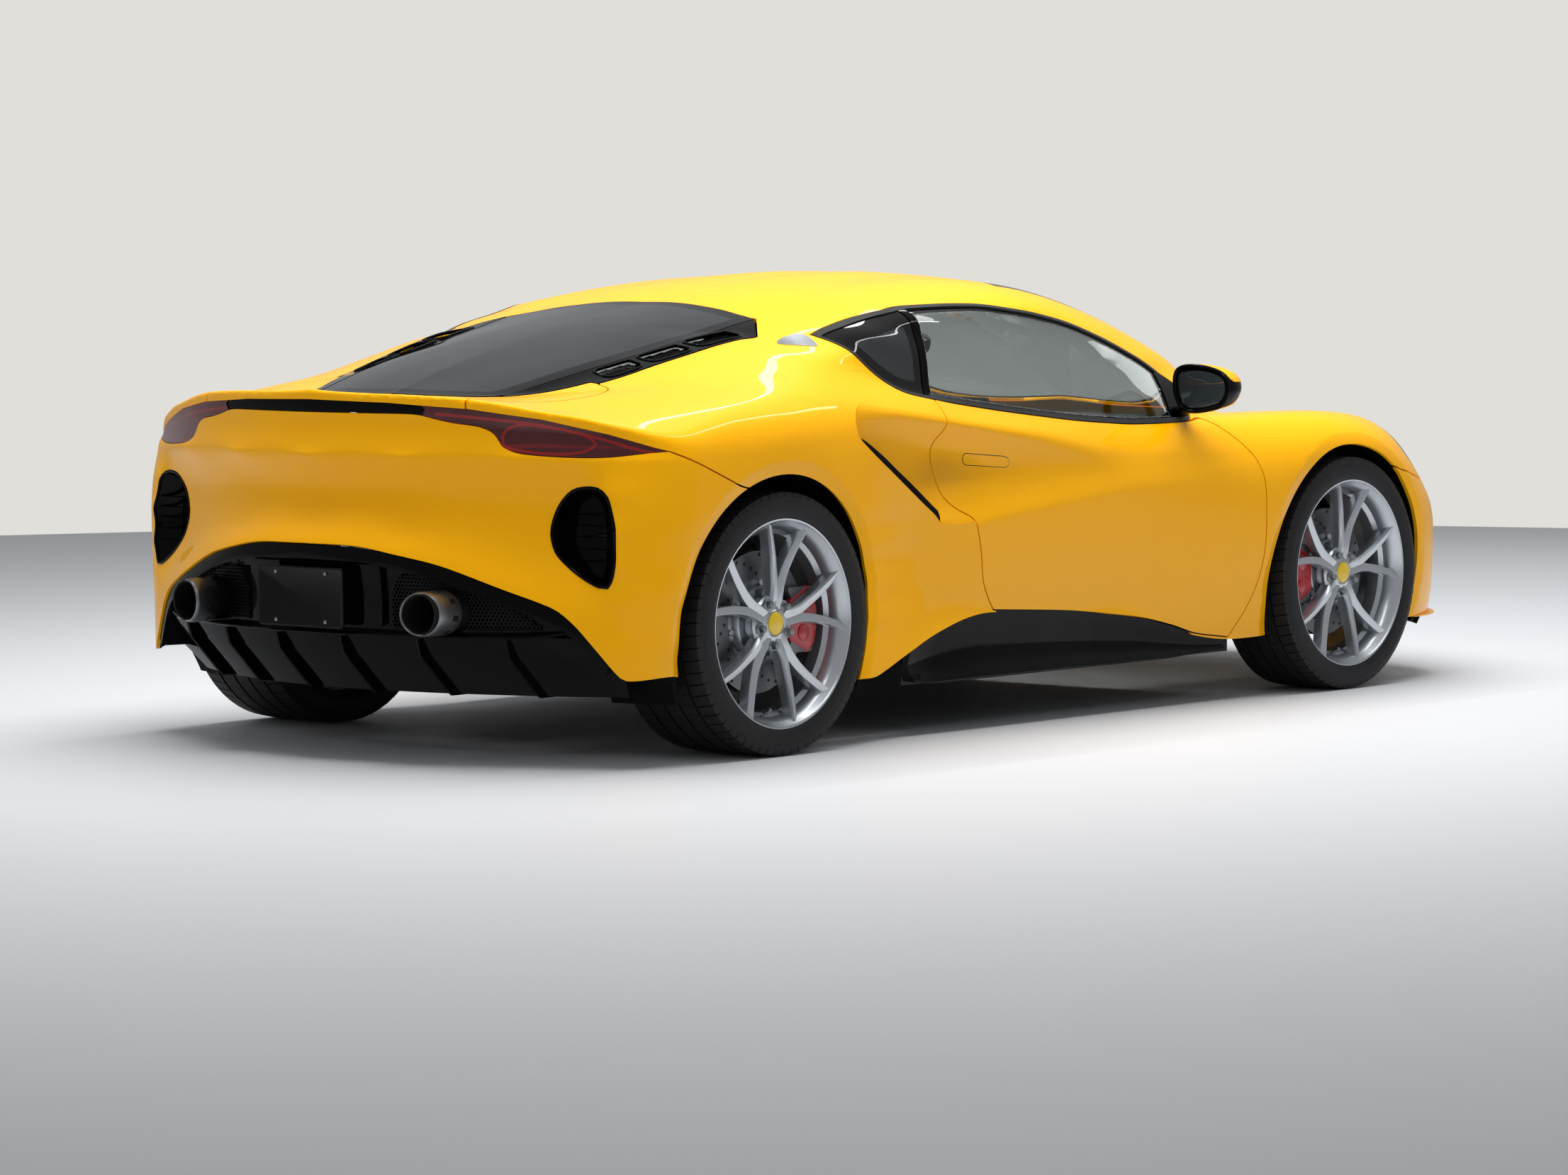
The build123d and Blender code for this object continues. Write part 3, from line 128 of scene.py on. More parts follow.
# x, then (y, height) across the bonnet, the wings' crowns, the shoulders, the haunches and the tail deck
UPPER = [
    (-2230, [(0, 962), (300, 955), (500, 944), (650, 922), (800, 893), (950, 852)]),
    (-2130, [(0, 950), (300, 944), (500, 935), (650, 915), (800, 884), (950, 838)]),
    (-2030, [(0, 938), (300, 934), (480, 930), (650, 906), (800, 876), (920, 838), (980, 810)]),
    (-1920, [(0, 930), (300, 927), (480, 926), (640, 902), (800, 868), (900, 834), (980, 800)]),
    (-1811, [(0, 928), (300, 926), (480, 928), (640, 912), (800, 879), (900, 838), (980, 790)]),
    (-1680, [(0, 930), (300, 930), (480, 938), (640, 930), (800, 898), (900, 858), (980, 800)]),
    (-1520, [(0, 940), (300, 945), (480, 958), (640, 950), (800, 920), (900, 882), (980, 820)]),
    (-1365, [(300, 960), (480, 985), (640, 972), (800, 938), (900, 898), (980, 835)]),
    (-1210, [(300, 960), (480, 1005), (640, 990), (800, 952), (900, 907), (980, 845)]),
    (-1060, [(300, 950), (480, 1010), (640, 996), (800, 958), (900, 899), (980, 835)]),
    (-945, [(300, 930), (480, 985), (640, 975), (800, 948), (900, 885), (980, 820)]),
    (-825, [(300, 920), (640, 945), (800, 936), (850, 915), (900, 870), (980, 790)]),
    (-690, [(300, 900), (640, 920), (800, 922), (845, 905), (900, 851), (980, 765)]),
    (-570, [(300, 890), (640, 905), (800, 908), (845, 888), (900, 834), (980, 745)]),
    (-390, [(300, 870), (640, 882), (800, 884), (845, 863), (900, 810), (980, 715)]),
    (-200, [(300, 850), (640, 862), (800, 864), (845, 842), (900, 783), (980, 690)]),
    (-10, [(300, 830), (640, 842), (800, 844), (845, 822), (900, 752), (980, 660)]),
    (120, [(300, 820), (640, 832), (800, 833), (845, 811), (900, 732), (980, 640)]),
    (250, [(300, 815), (640, 825), (800, 824), (845, 803), (900, 728), (980, 640)]),
    (450, [(300, 815), (640, 822), (800, 818), (845, 799), (900, 730), (980, 640)]),
    (620, [(0, 815), (300, 815), (640, 820), (800, 812), (850, 792), (900, 740), (980, 640)]),
    (800, [(0, 812), (300, 811), (640, 812), (760, 812), (850, 788), (900, 748), (980, 655)]),
    (950, [(0, 799), (300, 797), (520, 797), (640, 808), (740, 813), (850, 790), (900, 758), (980, 680)]),
    (1100, [(0, 781), (300, 778), (520, 782), (640, 802), (740, 812), (850, 792), (900, 764), (980, 690)]),
    (1290, [(0, 748), (300, 745), (500, 754), (640, 790), (740, 806), (850, 786), (900, 760), (980, 690)]),
    (1430, [(0, 716), (300, 714), (500, 726), (620, 768), (730, 792), (840, 772), (900, 742), (980, 670)]),
    (1540, [(0, 692), (300, 690), (480, 702), (600, 744), (720, 772), (830, 752), (900, 715), (980, 640)]),
    (1640, [(0, 671), (300, 668), (480, 680), (600, 715), (710, 742), (820, 722), (900, 680)]),
    (1740, [(0, 649), (300, 646), (480, 656), (600, 680), (700, 702), (800, 685), (900, 640)]),
    (1850, [(0, 624), (300, 621), (480, 628), (600, 638), (700, 650), (800, 625), (900, 570)]),
    (2000, [(0, 588), (300, 582), (480, 578), (650, 565), (800, 520)]),
    (2120, [(0, 552), (300, 542), (500, 520), (650, 490)]),
    (2230, [(0, 505), (300, 490), (500, 460)]),
]
# y, then (height, distance ahead of the tail's plan curve). The height is 0 at the arch over the
# diffuser, 1000 at the shelf under the lamps and 1000 more for each 200 mm over that.
TAIL = [
    (0, [(-300, 4), (0, 2), (60, 8), (200, 34), (400, 56), (600, 62), (800, 52), (940, 33), (1000, 24), (1100, 30),
         (1340, 40), (1550, 36), (1750, 33)]),
    (300, [(-300, 4), (0, 2), (60, 8), (200, 34), (400, 56), (600, 62), (800, 52), (940, 33), (1000, 24), (1100, 30),
           (1340, 40), (1550, 36), (1750, 33)]),
    (600, [(-300, 4), (0, 2), (60, 8), (200, 34), (400, 57), (600, 64), (800, 54), (940, 32), (1000, 23), (1100, 31),
           (1340, 40), (1550, 34), (1750, 32)]),
    (700, [(-300, 4), (0, 0), (60, 5), (200, 26), (400, 50), (600, 58), (800, 47), (940, 28), (1000, 22), (1100, 32),
           (1340, 40), (1600, 33)]),
    (760, [(-300, 0), (0, -2), (200, 14), (400, 34), (600, 42), (800, 33), (940, 24), (1000, 22), (1100, 32),
           (1340, 39), (1600, 32)]),
    (820, [(-300, -4), (0, -4), (200, -4), (400, -3), (600, -3), (800, 4), (940, 17), (1000, 21), (1100, 32),
           (1340, 38)]),
    (900, [(-300, -6), (0, -5), (200, -7), (400, -8), (600, -7), (800, 0), (940, 15), (1000, 20), (1100, 32),
           (1340, 35)]),
    (1000, [(-300, -6), (0, -5), (200, -5), (400, -4), (600, -2), (800, 5), (940, 17), (1000, 22), (1100, 30),
            (1340, 34)]),
]
TAIL_ARCH = [(0, 560), (0.1, 559), (0.2, 553), (0.3, 539), (0.4, 515), (0.5, 484), (0.6, 446), (0.7, 402),
             (0.8, 358), (0.9, 330), (1.0, 320)]
SHELF = 0.782
# y, then (z, distance behind the nose's plan curve)
NOSE = [
    (0, [(130, 70), (200, 22), (280, 6), (360, 0), (440, 2), (490, 24), (540, 80)]),
    (300, [(130, 62), (200, 20), (280, 5), (360, 0), (440, 3), (500, 30), (540, 80)]),
    (600, [(130, 50), (200, 16), (280, 3), (360, 0), (450, 6), (520, 30), (600, 100)]),
    (900, [(130, 40), (200, 12), (280, 2), (360, 0), (450, 6), (540, 30), (640, 100)]),
]
# x, then (z, half width) up the side of the cabin
CABIN_SIDE = [
    (-1700, [(900, 640), (930, 540), (960, 440)]),
    (-1500, [(920, 700), (960, 590), (1000, 440)]),
    (-1300, [(940, 765), (985, 670), (1015, 540), (1040, 420)]),
    (-1100, [(940, 810), (1000, 755), (1035, 700), (1058, 600), (1080, 450)]),
    (-900, [(920, 825), (1000, 782), (1050, 738), (1090, 678), (1112, 600), (1132, 450)]),
    (-660, [(890, 846), (1000, 800), (1080, 755), (1125, 715), (1142, 685), (1172, 540)]),
    (-300, [(850, 847), (950, 820), (1050, 778), (1110, 742), (1145, 712), (1190, 600)]),
    (-80, [(830, 846), (950, 812), (1050, 770), (1100, 742), (1140, 714), (1190, 615)]),
    (110, [(810, 845), (900, 818), (1000, 780), (1060, 750), (1100, 720), (1160, 640)]),
    (350, [(800, 842), (880, 810), (960, 766), (1013, 730), (1060, 695), (1105, 640)]),
    (520, [(795, 826), (860, 784), (940, 732), (1000, 696), (1045, 645)]),
    (700, [(790, 775), (850, 735), (910, 698), (975, 640)]),
    (850, [(790, 690), (840, 650), (880, 600)]),
    (980, [(790, 520), (830, 440), (850, 350)]),
    (1060, [(790, 300), (810, 200)]),
]
# x, then (y, height) across the roof, windscreen and rear window
ROOF = [
    (-2100, [(0, 880), (300, 870), (500, 850), (700, 820)]),
    (-1960, [(0, 905), (200, 900), (330, 888), (500, 860), (700, 820)]),
    (-1811, [(0, 943), (150, 939), (312, 925), (450, 893), (650, 830)]),
    (-1660, [(0, 989), (180, 980), (345, 961), (500, 925), (650, 870)]),
    (-1498, [(0, 1031), (200, 1020), (386, 995), (480, 965), (700, 890)]),
    (-1200, [(0, 1096), (220, 1086), (415, 1058), (540, 1036), (700, 990), (850, 930)]),
    (-905, [(0, 1146), (240, 1138), (442, 1116), (560, 1103), (700, 1072), (850, 1030)]),
    (-660, [(0, 1188), (280, 1180), (500, 1163), (620, 1147), (740, 1118), (850, 1080)]),
    (-300, [(0, 1220), (300, 1212), (520, 1197), (620, 1182), (740, 1152)]),
    (-80, [(0, 1225), (300, 1217), (520, 1201), (640, 1183), (740, 1150)]),
    (110, [(0, 1215), (300, 1206), (520, 1186), (640, 1162), (740, 1120)]),
    (350, [(0, 1160), (310, 1149), (520, 1126), (640, 1103), (740, 1045)]),
    (520, [(0, 1106), (310, 1094), (520, 1069), (650, 1044), (740, 988)]),
    (700, [(0, 1032), (310, 1019), (520, 996), (650, 970), (740, 920)]),
    (850, [(0, 950), (300, 937), (500, 912), (640, 878), (740, 830)]),
    (980, [(0, 870), (250, 856), (420, 836), (600, 790)]),
    (1100, [(0, 790), (250, 770), (500, 740)]),
]
flank = fair_sheet(FLANK, (0.35, 1), (-2.25, 2.25, 0.05, 1.0))
upper = fair_sheet(UPPER, (0.5, 1), (-2.25, 2.25, -0.03, 1.0))
tail_form = fair_sheet(TAIL, (1.5, 1), (-0.03, 1.0, -0.6, 2.1))
nose_form = fair_sheet(NOSE, (0.3, 1), (-0.03, 1.0, 0.05, 1.0))
cabin_side = fair_sheet(CABIN_SIDE, (0.3, 1), (-2.25, 2.25, 0.7, 1.25))
roof_form = fair_sheet(ROOF, (0.5, 1), (-2.25, 2.25, -0.03, 1.0))
# The scoop in the flank, as (z, depth): it deepens along the door and runs into the engine's air intake.
SCOOP = [
    (-1120, [(700, 70), (800, 48), (850, 26), (903, 0), (930, -16)]),
    (-1000, [(640, 74), (720, 66), (790, 52), (840, 30), (870, 14), (893, 0), (920, -16)]),
    (-870, [(560, 74), (640, 68), (710, 60), (770, 52), (820, 36), (855, 14), (877, 0), (910, -24)]),
    (-760, [(530, 50), (600, 50), (660, 56), (730, 58), (790, 44), (835, 18), (861, 0), (900, -26)]),
    (-680, [(530, -16), (572, 2), (600, 22), (660, 50), (730, 56), (790, 40), (826, 17), (850, 0), (890, -28)]),
    (-600, [(500, -40), (540, -16), (570, 4), (610, 28), (660, 46), (730, 52), (790, 32), (838, 0), (880, -30)]),
    (-460, [(500, -50), (579, 0), (620, 20), (670, 37), (730, 38), (780, 22), (821, 0), (860, -30)]),
    (-300, [(520, -45), (598, 0), (640, 18), (690, 29), (740, 25), (800, 0), (840, -30)]),
    (-150, [(540, -40), (614, 0), (650, 13), (700, 20), (740, 14), (776, 0), (820, -30)]),
    (100, [(560, -40), (640, 0), (690, 9), (733, 0), (780, -30)]),
    (400, [(600, -30), (667, 0), (690, 2), (712, 0), (760, -30)]),
    (700, [(600, -50), (690, -6), (760, -30)]),
]
arch_curve = np.polyfit(*np.array([(y, z * MM) for y, z in TAIL_ARCH]).T, 6)
scoop_form = fair_sheet(SCOOP, (0.35, 1), (-1.3, 0.9, 0.4, 1.0))


def rounded_max(a, b, width):
    """The larger of two (value, gradient) pairs, with the corner between them rounded."""
    share = np.clip(0.5 + 0.5 * (a[0] - b[0]) / width, 0, 1)
    value = b[0] + (a[0] - b[0]) * share + width * share * (1 - share)
    return value, [pb + (pa - pb) * share for pa, pb in zip(a[1], b[1])]


def opposite(a):
    return -a[0], [-part for part in a[1]]


def distance(gap, gradient):
    size = np.sqrt(sum(part ** 2 for part in gradient))
    return gap / size, [part / size for part in gradient]


def body_field(x, y, z, scooped):
    """Signed distance to the outer surface, about, and its gradient."""
    zero = np.zeros_like(x + y + z)
    width, along, rise = height_at(flank, x, z)
    for axle, hub, radius in ARCHES.values():
        away = np.sqrt((x - axle) ** 2 + (z - hub) ** 2) + 1e-9
        turn = np.clip((radius + CHAMFER - away) / CHAMFER, 0, 1.5)
        width = width - CHAMFER_DEPTH * turn
        along = along + CHAMFER_DEPTH / CHAMFER * (turn > 0) * (x - axle) / away
        rise = rise + CHAMFER_DEPTH / CHAMFER * (turn > 0) * (z - hub) / away
    if scooped:
        depth, depth_along, depth_rise = height_at(scoop_form, x, z)
        depth, (depth_along, depth_rise) = rounded_max(
            (depth, [depth_along, depth_rise]), (np.zeros_like(depth), [0 * depth, 0 * depth]), 0.010)
        span = np.clip((x + 1.25) / 0.1, 0, 1) * np.clip((0.8 - x) / 0.1, 0, 1)
        width, along, rise = width - span * depth, along - span * depth_along, rise - span * depth_rise
    side = distance(y - width + zero, [-along + zero, 1 + zero, -rise + zero])
    height, along, out = height_at(upper, x, y)
    deck = distance(z - height + zero, [-along + zero, -out + zero, 1 + zero])
    arch = np.polyval(arch_curve, np.clip(y, 0, 1))
    lean = np.polyval(np.polyder(arch_curve), np.clip(y, 0, 1))
    under = z < SHELF
    rung = np.where(under, (z - arch) / (SHELF - arch), 1 + (z - SHELF) / 0.2)
    ahead, out, rise = height_at(tail_form, y + 0 * rung, rung)
    out = out + rise * np.where(under, lean * (z - SHELF) / (SHELF - arch) ** 2, 0)
    rise = rise * np.where(under, 1 / (SHELF - arch), 1 / 0.2)
    tail = distance(-2.19 + 0.41 * y ** 2 + ahead - x + zero, [-1 + zero, 0.82 * y + out + zero, rise + zero])
    behind, out, rise = height_at(nose_form, y, z)
    nose = distance(x - 2.2065 + 0.6 * y ** 2 + behind + zero, [1 + zero, 1.2 * y + out + zero, rise + zero])
    shoulder = np.interp(x, (-1.9, -1.5, -1.2, -0.9, -0.5, 0.0, 0.4, 0.8, 1.2, 1.7),
                         (0.012, 0.05, 0.05, 0.022, 0.016, 0.03, 0.07, 0.08, 0.08, 0.09))
    ends = rounded_max(rounded_max(side, tail, 0.09), nose, 0.16)
    lower = rounded_max(ends, deck, shoulder)
    foot = np.interp(x, [row[0] * MM for row in CABIN_SIDE], [row[1][0][0] * MM - 0.02 for row in CABIN_SIDE])
    width, along, rise = height_at(cabin_side, x, np.maximum(z, foot))
    wall = distance(y - width + zero, [-along + zero, 1 + zero, -rise + zero])
    height, along, out = height_at(roof_form, x, y)
    cover = distance(z - height + zero, [-along + zero, -out + zero, 1 + zero])
    cabin = rounded_max(wall, cover, np.interp(x, (-1.4, -0.8, 0.1, 0.6), (0.02, 0.03, 0.05, 0.06)))
    behind_it = (-1.98 - x + zero, [-1 + zero, zero, zero])
    ahead_of_it = (x - 1.10 + zero, [1 + zero, zero, zero])
    cabin = rounded_max(rounded_max(cabin, behind_it, 0.01), ahead_of_it, 0.01)
    blend = np.interp(x, (-1.7, -1.4, -1.1, -0.9, -0.7, 0.5, 0.8), (0.01, 0.06, 0.10, 0.05, 0.008, 0.008, 0.02))
    return opposite(rounded_max(opposite(lower), opposite(cabin), blend))


def skin_mesh(low, high, scooped):
    """Vertices, normals and triangles of the surface inside a box: one vertex in each cell it crosses."""
    axes = [np.arange(a, b + PITCH, PITCH) for a, b in zip(low, high)]
    x, y, z = np.meshgrid(*axes, indexing="ij", sparse=True)
    field = np.concatenate([body_field(part, y, z, scooped)[0] for part in np.array_split(x, 16)])
    inside = field < 0
    cells = tuple(n - 1 for n in field.shape)
    total, count = np.zeros(cells + (3,)), np.zeros(cells)
    crossings = []
    for axis in range(3):
        here = [slice(None)] * 3
        there = [slice(None)] * 3
        here[axis], there[axis] = slice(None, -1), slice(1, None)
        cut = np.argwhere(inside[tuple(here)] != inside[tuple(there)])
        f0 = field[tuple(here)][tuple(cut.T)]
        f1 = field[tuple(there)][tuple(cut.T)]
        point = np.column_stack([axes[k][cut[:, k]] for k in range(3)])
        point[:, axis] += PITCH * f0 / (f0 - f1)
        others = [k for k in range(3) if k != axis]
        ring = []
        for da, db in ((1, 1), (0, 1), (0, 0), (1, 0)):
            cell = cut.copy()
            cell[:, others[0]] -= da
            cell[:, others[1]] -= db
            ring.append(cell)
        good = np.all([(c >= 0).all(1) & (c < cells).all(1) for c in ring], axis=0)
        for cell in ring:
            np.add.at(total, tuple(cell[good].T), point[good])
            np.add.at(count, tuple(cell[good].T), 1)
        crossings.append((axis, [c[good] for c in ring], f0[good] < 0))
    used = count > 0
    index = np.full(cells, -1)
    index[used] = np.arange(used.sum())
    vertices = total[used] / count[used][:, None]
    faces = []
    for axis, ring, outward in crossings:
        quad = np.column_stack([index[tuple(c.T)] for c in ring])
        flip = outward if axis == 1 else ~outward
        quad[flip] = quad[flip][:, ::-1]
        faces += [quad[:, [0, 1, 2]], quad[:, [0, 2, 3]]]
    for _ in range(4):
        value, gradient = body_field(*vertices.T, scooped)
        gradient = np.column_stack(gradient)
        square = (gradient ** 2).sum(1)
        step = np.clip(value / np.maximum(square, 0.2), -PITCH, PITCH)
        vertices -= step[:, None] * gradient
    gradient = np.column_stack(body_field(*vertices.T, scooped)[1])
    normals = gradient / np.linalg.norm(gradient, axis=1)[:, None]
    return vertices, normals, np.concatenate(faces)


# ------------------------------------------------------------------ paint
# Body-coloured clear-over-base: a pigmented basecoat with a fine mica flake under a hard clear
# coat. The eye gets one deep colour that warms in the shade, a sharp reflection, and a faint
# unevenness in that reflection from the spray gun.
def linear(hex_colour):
    """An sRGB hex colour as linear RGBA."""
    parts = [int(hex_colour[i:i + 2], 16) / 255 for i in (1, 3, 5)]
    return (*[p / 12.92 if p <= 0.04045 else ((p + 0.055) / 1.055) ** 2.4 for p in parts], 1.0)


def add_node(tree, kind, links=None, **settings):
    """One node with its settings. Links and plain values are given by input name or number."""
    node = tree.nodes.new(kind)
    for key, value in settings.items():
        setattr(node, key, value)
    for key, value in (links or {}).items():
        if isinstance(value, bpy.types.NodeSocket):
            tree.links.new(value, node.inputs[key])
        else:
            node.inputs[key].default_value = value
    return node


def new_material(name, colour, roughness, **values):
    """A material whose shader has these plain values; returns it with its shader."""
    material = bpy.data.materials.new(name)
    material.use_nodes = True
    shader = material.node_tree.nodes["Principled BSDF"]
    shader.inputs["Base Color"].default_value = linear(colour)
    shader.inputs["Roughness"].default_value = roughness
    for key, value in values.items():
        shader.inputs[key.replace("_", " ")].default_value = value
    material.diffuse_color = linear(colour)
    return material, shader


def grain(shader, size, detail=2.0, kind="Noise", output="Fac", stretch=None, **settings):
    """A pattern of this grain size, in metres, fixed to the piece; stretch scales it along x, y and z."""
    tree = shader.id_data
    place = add_node(tree, "ShaderNodeTexCoord").outputs["Object"]
    if stretch:
        place = add_node(tree, "ShaderNodeMapping", {"Vector": place, "Scale": stretch}).outputs[0]
    links = {"Vector": place, "Scale": 1 / size, "Detail": detail}
    return add_node(tree, "ShaderNodeTex" + kind, links, **settings).outputs[output]


def uneven_gloss(shader, pattern, low, high):
    """The roughness wanders between two values along a pattern."""
    gloss = add_node(shader.id_data, "ShaderNodeMapRange", {"Value": pattern, "To Min": low, "To Max": high})
    shader.id_data.links.new(gloss.outputs["Result"], shader.inputs["Roughness"])


def relief(shader, pattern, strength, depth, layer="Normal"):
    """The pattern stands out from the surface by up to this depth, in metres."""
    bump = add_node(shader.id_data, "ShaderNodeBump", {"Height": pattern, "Strength": strength, "Distance": depth})
    shader.id_data.links.new(bump.outputs["Normal"], shader.inputs[layer])


def two_tone(shader, pattern, first, second):
    """The colour wanders between two tones along a pattern."""
    tone = add_node(shader.id_data, "ShaderNodeMix", {0: pattern, 6: linear(first), 7: linear(second)},
                    data_type="RGBA")
    shader.id_data.links.new(tone.outputs[2], shader.inputs["Base Color"])


paint, shader = new_material("basecoat_and_clearcoat", "#FFB000", 0.38, Metallic=0.0, Coat_Weight=0.5,
                             Coat_Roughness=0.02, Coat_IOR=1.4, Specular_IOR_Level=0.12)
shader.inputs["Specular Tint"].default_value = linear("#FFB000")
FLAKE = 0.0009               # real mica is 0.02 mm: drawn at 0.9 mm, so that it can just be seen
two_tone(shader, grain(shader, FLAKE, 0.0, "Voronoi", "Color"), "#FFAC00", "#FFBC00")
relief(shader, grain(shader, 0.011, 1.0), 0.012, 0.001, "Coat Normal")

duct_black, shader = new_material("moulded_black_polypropylene", "#060607", 0.62, Specular_IOR_Level=0.12)
# the tool's spark-eroded grain
relief(shader, grain(shader, 0.0012, 0.0, "Voronoi", "Distance"), 0.25, 0.0004)


# ------------------------------------------------------------------ outer panels
# Each panel is the part of the body's surface inside its shut lines, with its edges turned in.
# They are moulded in composite and hung on the tub with gaps of 4 to 5 mm.
HALF_GAP = 0.0022


def curve_through(points, step=12, closed=True):
    """Smooth line through points given in millimetres, every step millimetres. A point repeated is a corner."""
    points = np.array(points, float)
    count = len(points)
    line = []
    for i in range(count if closed else count - 1):
        p0, p1, p2, p3 = (points[(i + k) % count] if closed else points[min(max(i + k, 0), count - 1)]
                          for k in (-1, 0, 1, 2))
        pieces = max(int(np.linalg.norm(p2 - p1) // step), 1)
        if np.allclose(p1, p2):
            continue
        before = (p1 - p0) * 0.5 if np.linalg.norm(p1 - p0) else (p2 - p1)
        after = (p3 - p2) * 0.5 if np.linalg.norm(p3 - p2) else (p2 - p1)
        limit = np.linalg.norm(p2 - p1)
        start = before + (p2 - p1) * 0.5 if np.linalg.norm(p1 - p0) else p2 - p1
        end = after + (p2 - p1) * 0.5 if np.linalg.norm(p3 - p2) else p2 - p1
        start *= min(1, limit / (np.linalg.norm(start) + 1e-9))
        end *= min(1, limit / (np.linalg.norm(end) + 1e-9))
        t = np.arange(pieces)[:, None] / pieces
        line.append((2 * t ** 3 - 3 * t ** 2 + 1) * p1 + (t ** 3 - 2 * t ** 2 + t) * start
                    + (3 * t ** 2 - 2 * t ** 3) * p2 + (t ** 3 - t ** 2) * end)
    line.append(points[:1] if closed else points[-1:])
    return np.concatenate(line) * MM


def outside(line, u, v):
    """Signed distance to a closed line: negative inside it."""
    spot = np.column_stack([u, v])
    result = np.full(len(spot), 0.2)
    low, high = line.min(0) - 0.05, line.max(0) + 0.05
    near = np.where(((spot > low) & (spot < high)).all(1))[0]
    for part in np.array_split(near, max(len(near) // 20000, 1)):
        p = spot[part][:, None, :]
        a, b = line[None, :-1, :], line[None, 1:, :]
        run = b - a
        t = np.clip(((p - a) * run).sum(2) / np.maximum((run ** 2).sum(2), 1e-18), 0, 1)
        reach = np.sqrt((((a + t[..., None] * run) - p) ** 2).sum(2).min(1))
        crosses = (a[..., 1] > p[..., 1]) != (b[..., 1] > p[..., 1])
        rise = np.where(np.abs(run[..., 1]) < 1e-12, 1e-12, run[..., 1])
        left = p[..., 0] < a[..., 0] + (p[..., 1] - a[..., 1]) / rise * run[..., 0]
        odd = (crosses & left).sum(1) % 2 == 1
        result[part] = np.where(odd, -reach, reach)
    return result


def trimmed(mesh, value):
    """The part of a mesh (vertices, normals, triangles) where value, one number a vertex, is below zero."""
    vertices, normals, faces = mesh
    value = np.where(np.abs(value) < 1e-7, -1e-7, value)
    keep = value < 0
    inside = keep[faces].sum(1)
    whole = faces[inside == 3]
    extra_v, extra_n, cuts = [], [], {}

    def cut(i, j):
        key = (i, j) if i < j else (j, i)
        if key not in cuts:
            t = value[i] / (value[i] - value[j])
            cuts[key] = len(vertices) + len(extra_v)
            extra_v.append(vertices[i] + t * (vertices[j] - vertices[i]))
            normal = normals[i] + t * (normals[j] - normals[i])
            extra_n.append(normal / np.linalg.norm(normal))
        return cuts[key]

    pieces = []
    for face in faces[(inside > 0) & (inside < 3)]:
        turn = [k for k in range(3) if keep[face[k]] != keep[face[k - 1]] and keep[face[k]] != keep[face[k - 2]]][0]
        a, b, c = face[turn], face[(turn + 1) % 3], face[(turn + 2) % 3]
        ab, ac = cut(a, b), cut(a, c)
        if keep[a]:
            pieces.append((a, ab, ac))
        else:
            pieces += [(ab, b, c), (ab, c, ac)]
    if extra_v:
        vertices = np.concatenate([vertices, extra_v])
        normals = np.concatenate([normals, extra_n])
        whole = np.concatenate([whole, np.array(pieces, int).reshape(-1, 3)])
    used = np.unique(whole)
    renumber = np.full(len(vertices), -1)
    renumber[used] = np.arange(len(used))
    return vertices[used], normals[used], renumber[whole]


def both_sides(mesh):
    """A half mesh and its mirror image, joined on the middle plane."""
    vertices, normals, faces = mesh
    seam = np.abs(vertices[:, 1]) < 1e-6
    twin = np.arange(len(vertices))
    twin[~seam] = len(vertices) + np.arange((~seam).sum())
    flip = (1, -1, 1)
    return (np.concatenate([vertices, vertices[~seam] * flip]), np.concatenate([normals, normals[~seam] * flip]),
            np.concatenate([faces, twin[faces][:, ::-1]]))


def other_side(mesh):
    vertices, normals, faces = mesh
    return vertices * (1, -1, 1), normals * (1, -1, 1), faces[:, ::-1]


def mesh_object(name, vertices, faces, material, loop_normals=None):
    """One object at the origin from triangles or quads."""
    data = bpy.data.meshes.new(name)
    faces = [np.asarray(f) for f in faces if len(f)] if isinstance(faces, list) else [np.asarray(faces)]
    sizes = np.concatenate([np.full(len(f), f.shape[1]) for f in faces])
    data.vertices.add(len(vertices))
    data.vertices.foreach_set("co", np.asarray(vertices, float).ravel())
    data.loops.add(int(sizes.sum()))
    data.loops.foreach_set("vertex_index", np.concatenate([f.ravel() for f in faces]).astype(np.int32))
    data.polygons.add(len(sizes))
    data.polygons.foreach_set("loop_start", np.concatenate([[0], np.cumsum(sizes)[:-1]]).astype(np.int32))
    data.polygons.foreach_set("loop_total", sizes.astype(np.int32))
    data.update(calc_edges=True)
    data.polygons.foreach_set("use_smooth", np.full(len(sizes), True))
    if loop_normals is not None:
        data.normals_split_custom_set(loop_normals.tolist())
    data.materials.append(material)
    made = bpy.data.objects.new(name, data)
    bpy.context.scene.collection.objects.link(made)
    return made


def shell_object(name, mesh, thickness, material, lift=0.0):
    """A closed sheet: the trimmed surface, the same surface turned in by the thickness, and the edge between."""
    vertices, normals, faces = mesh
    vertices = vertices + normals * lift
    n = len(vertices)
    edges = np.concatenate([faces[:, [0, 1]], faces[:, [1, 2]], faces[:, [2, 0]]])
    key = np.sort(edges, 1)
    _, place, count = np.unique(key[:, 0] * n + key[:, 1], return_inverse=True, return_counts=True)
    rim = edges[count[place] == 1]
    wall = np.column_stack([rim[:, 1], rim[:, 0], rim[:, 0] + n, rim[:, 1] + n])
    points = np.concatenate([vertices, vertices - normals * thickness])
    inner = faces[:, ::-1] + n
    across = np.cross(points[wall[:, 1]] - points[wall[:, 0]], points[wall[:, 3]] - points[wall[:, 0]])
    across /= np.linalg.norm(across, axis=1)[:, None] + 1e-12
    loops = np.concatenate([normals[faces].reshape(-1, 3), -normals[faces[:, ::-1]].reshape(-1, 3),
                            np.repeat(across, 4, 0)])
    return mesh_object(name, points, [np.concatenate([faces, inner]), wall], material, loops)


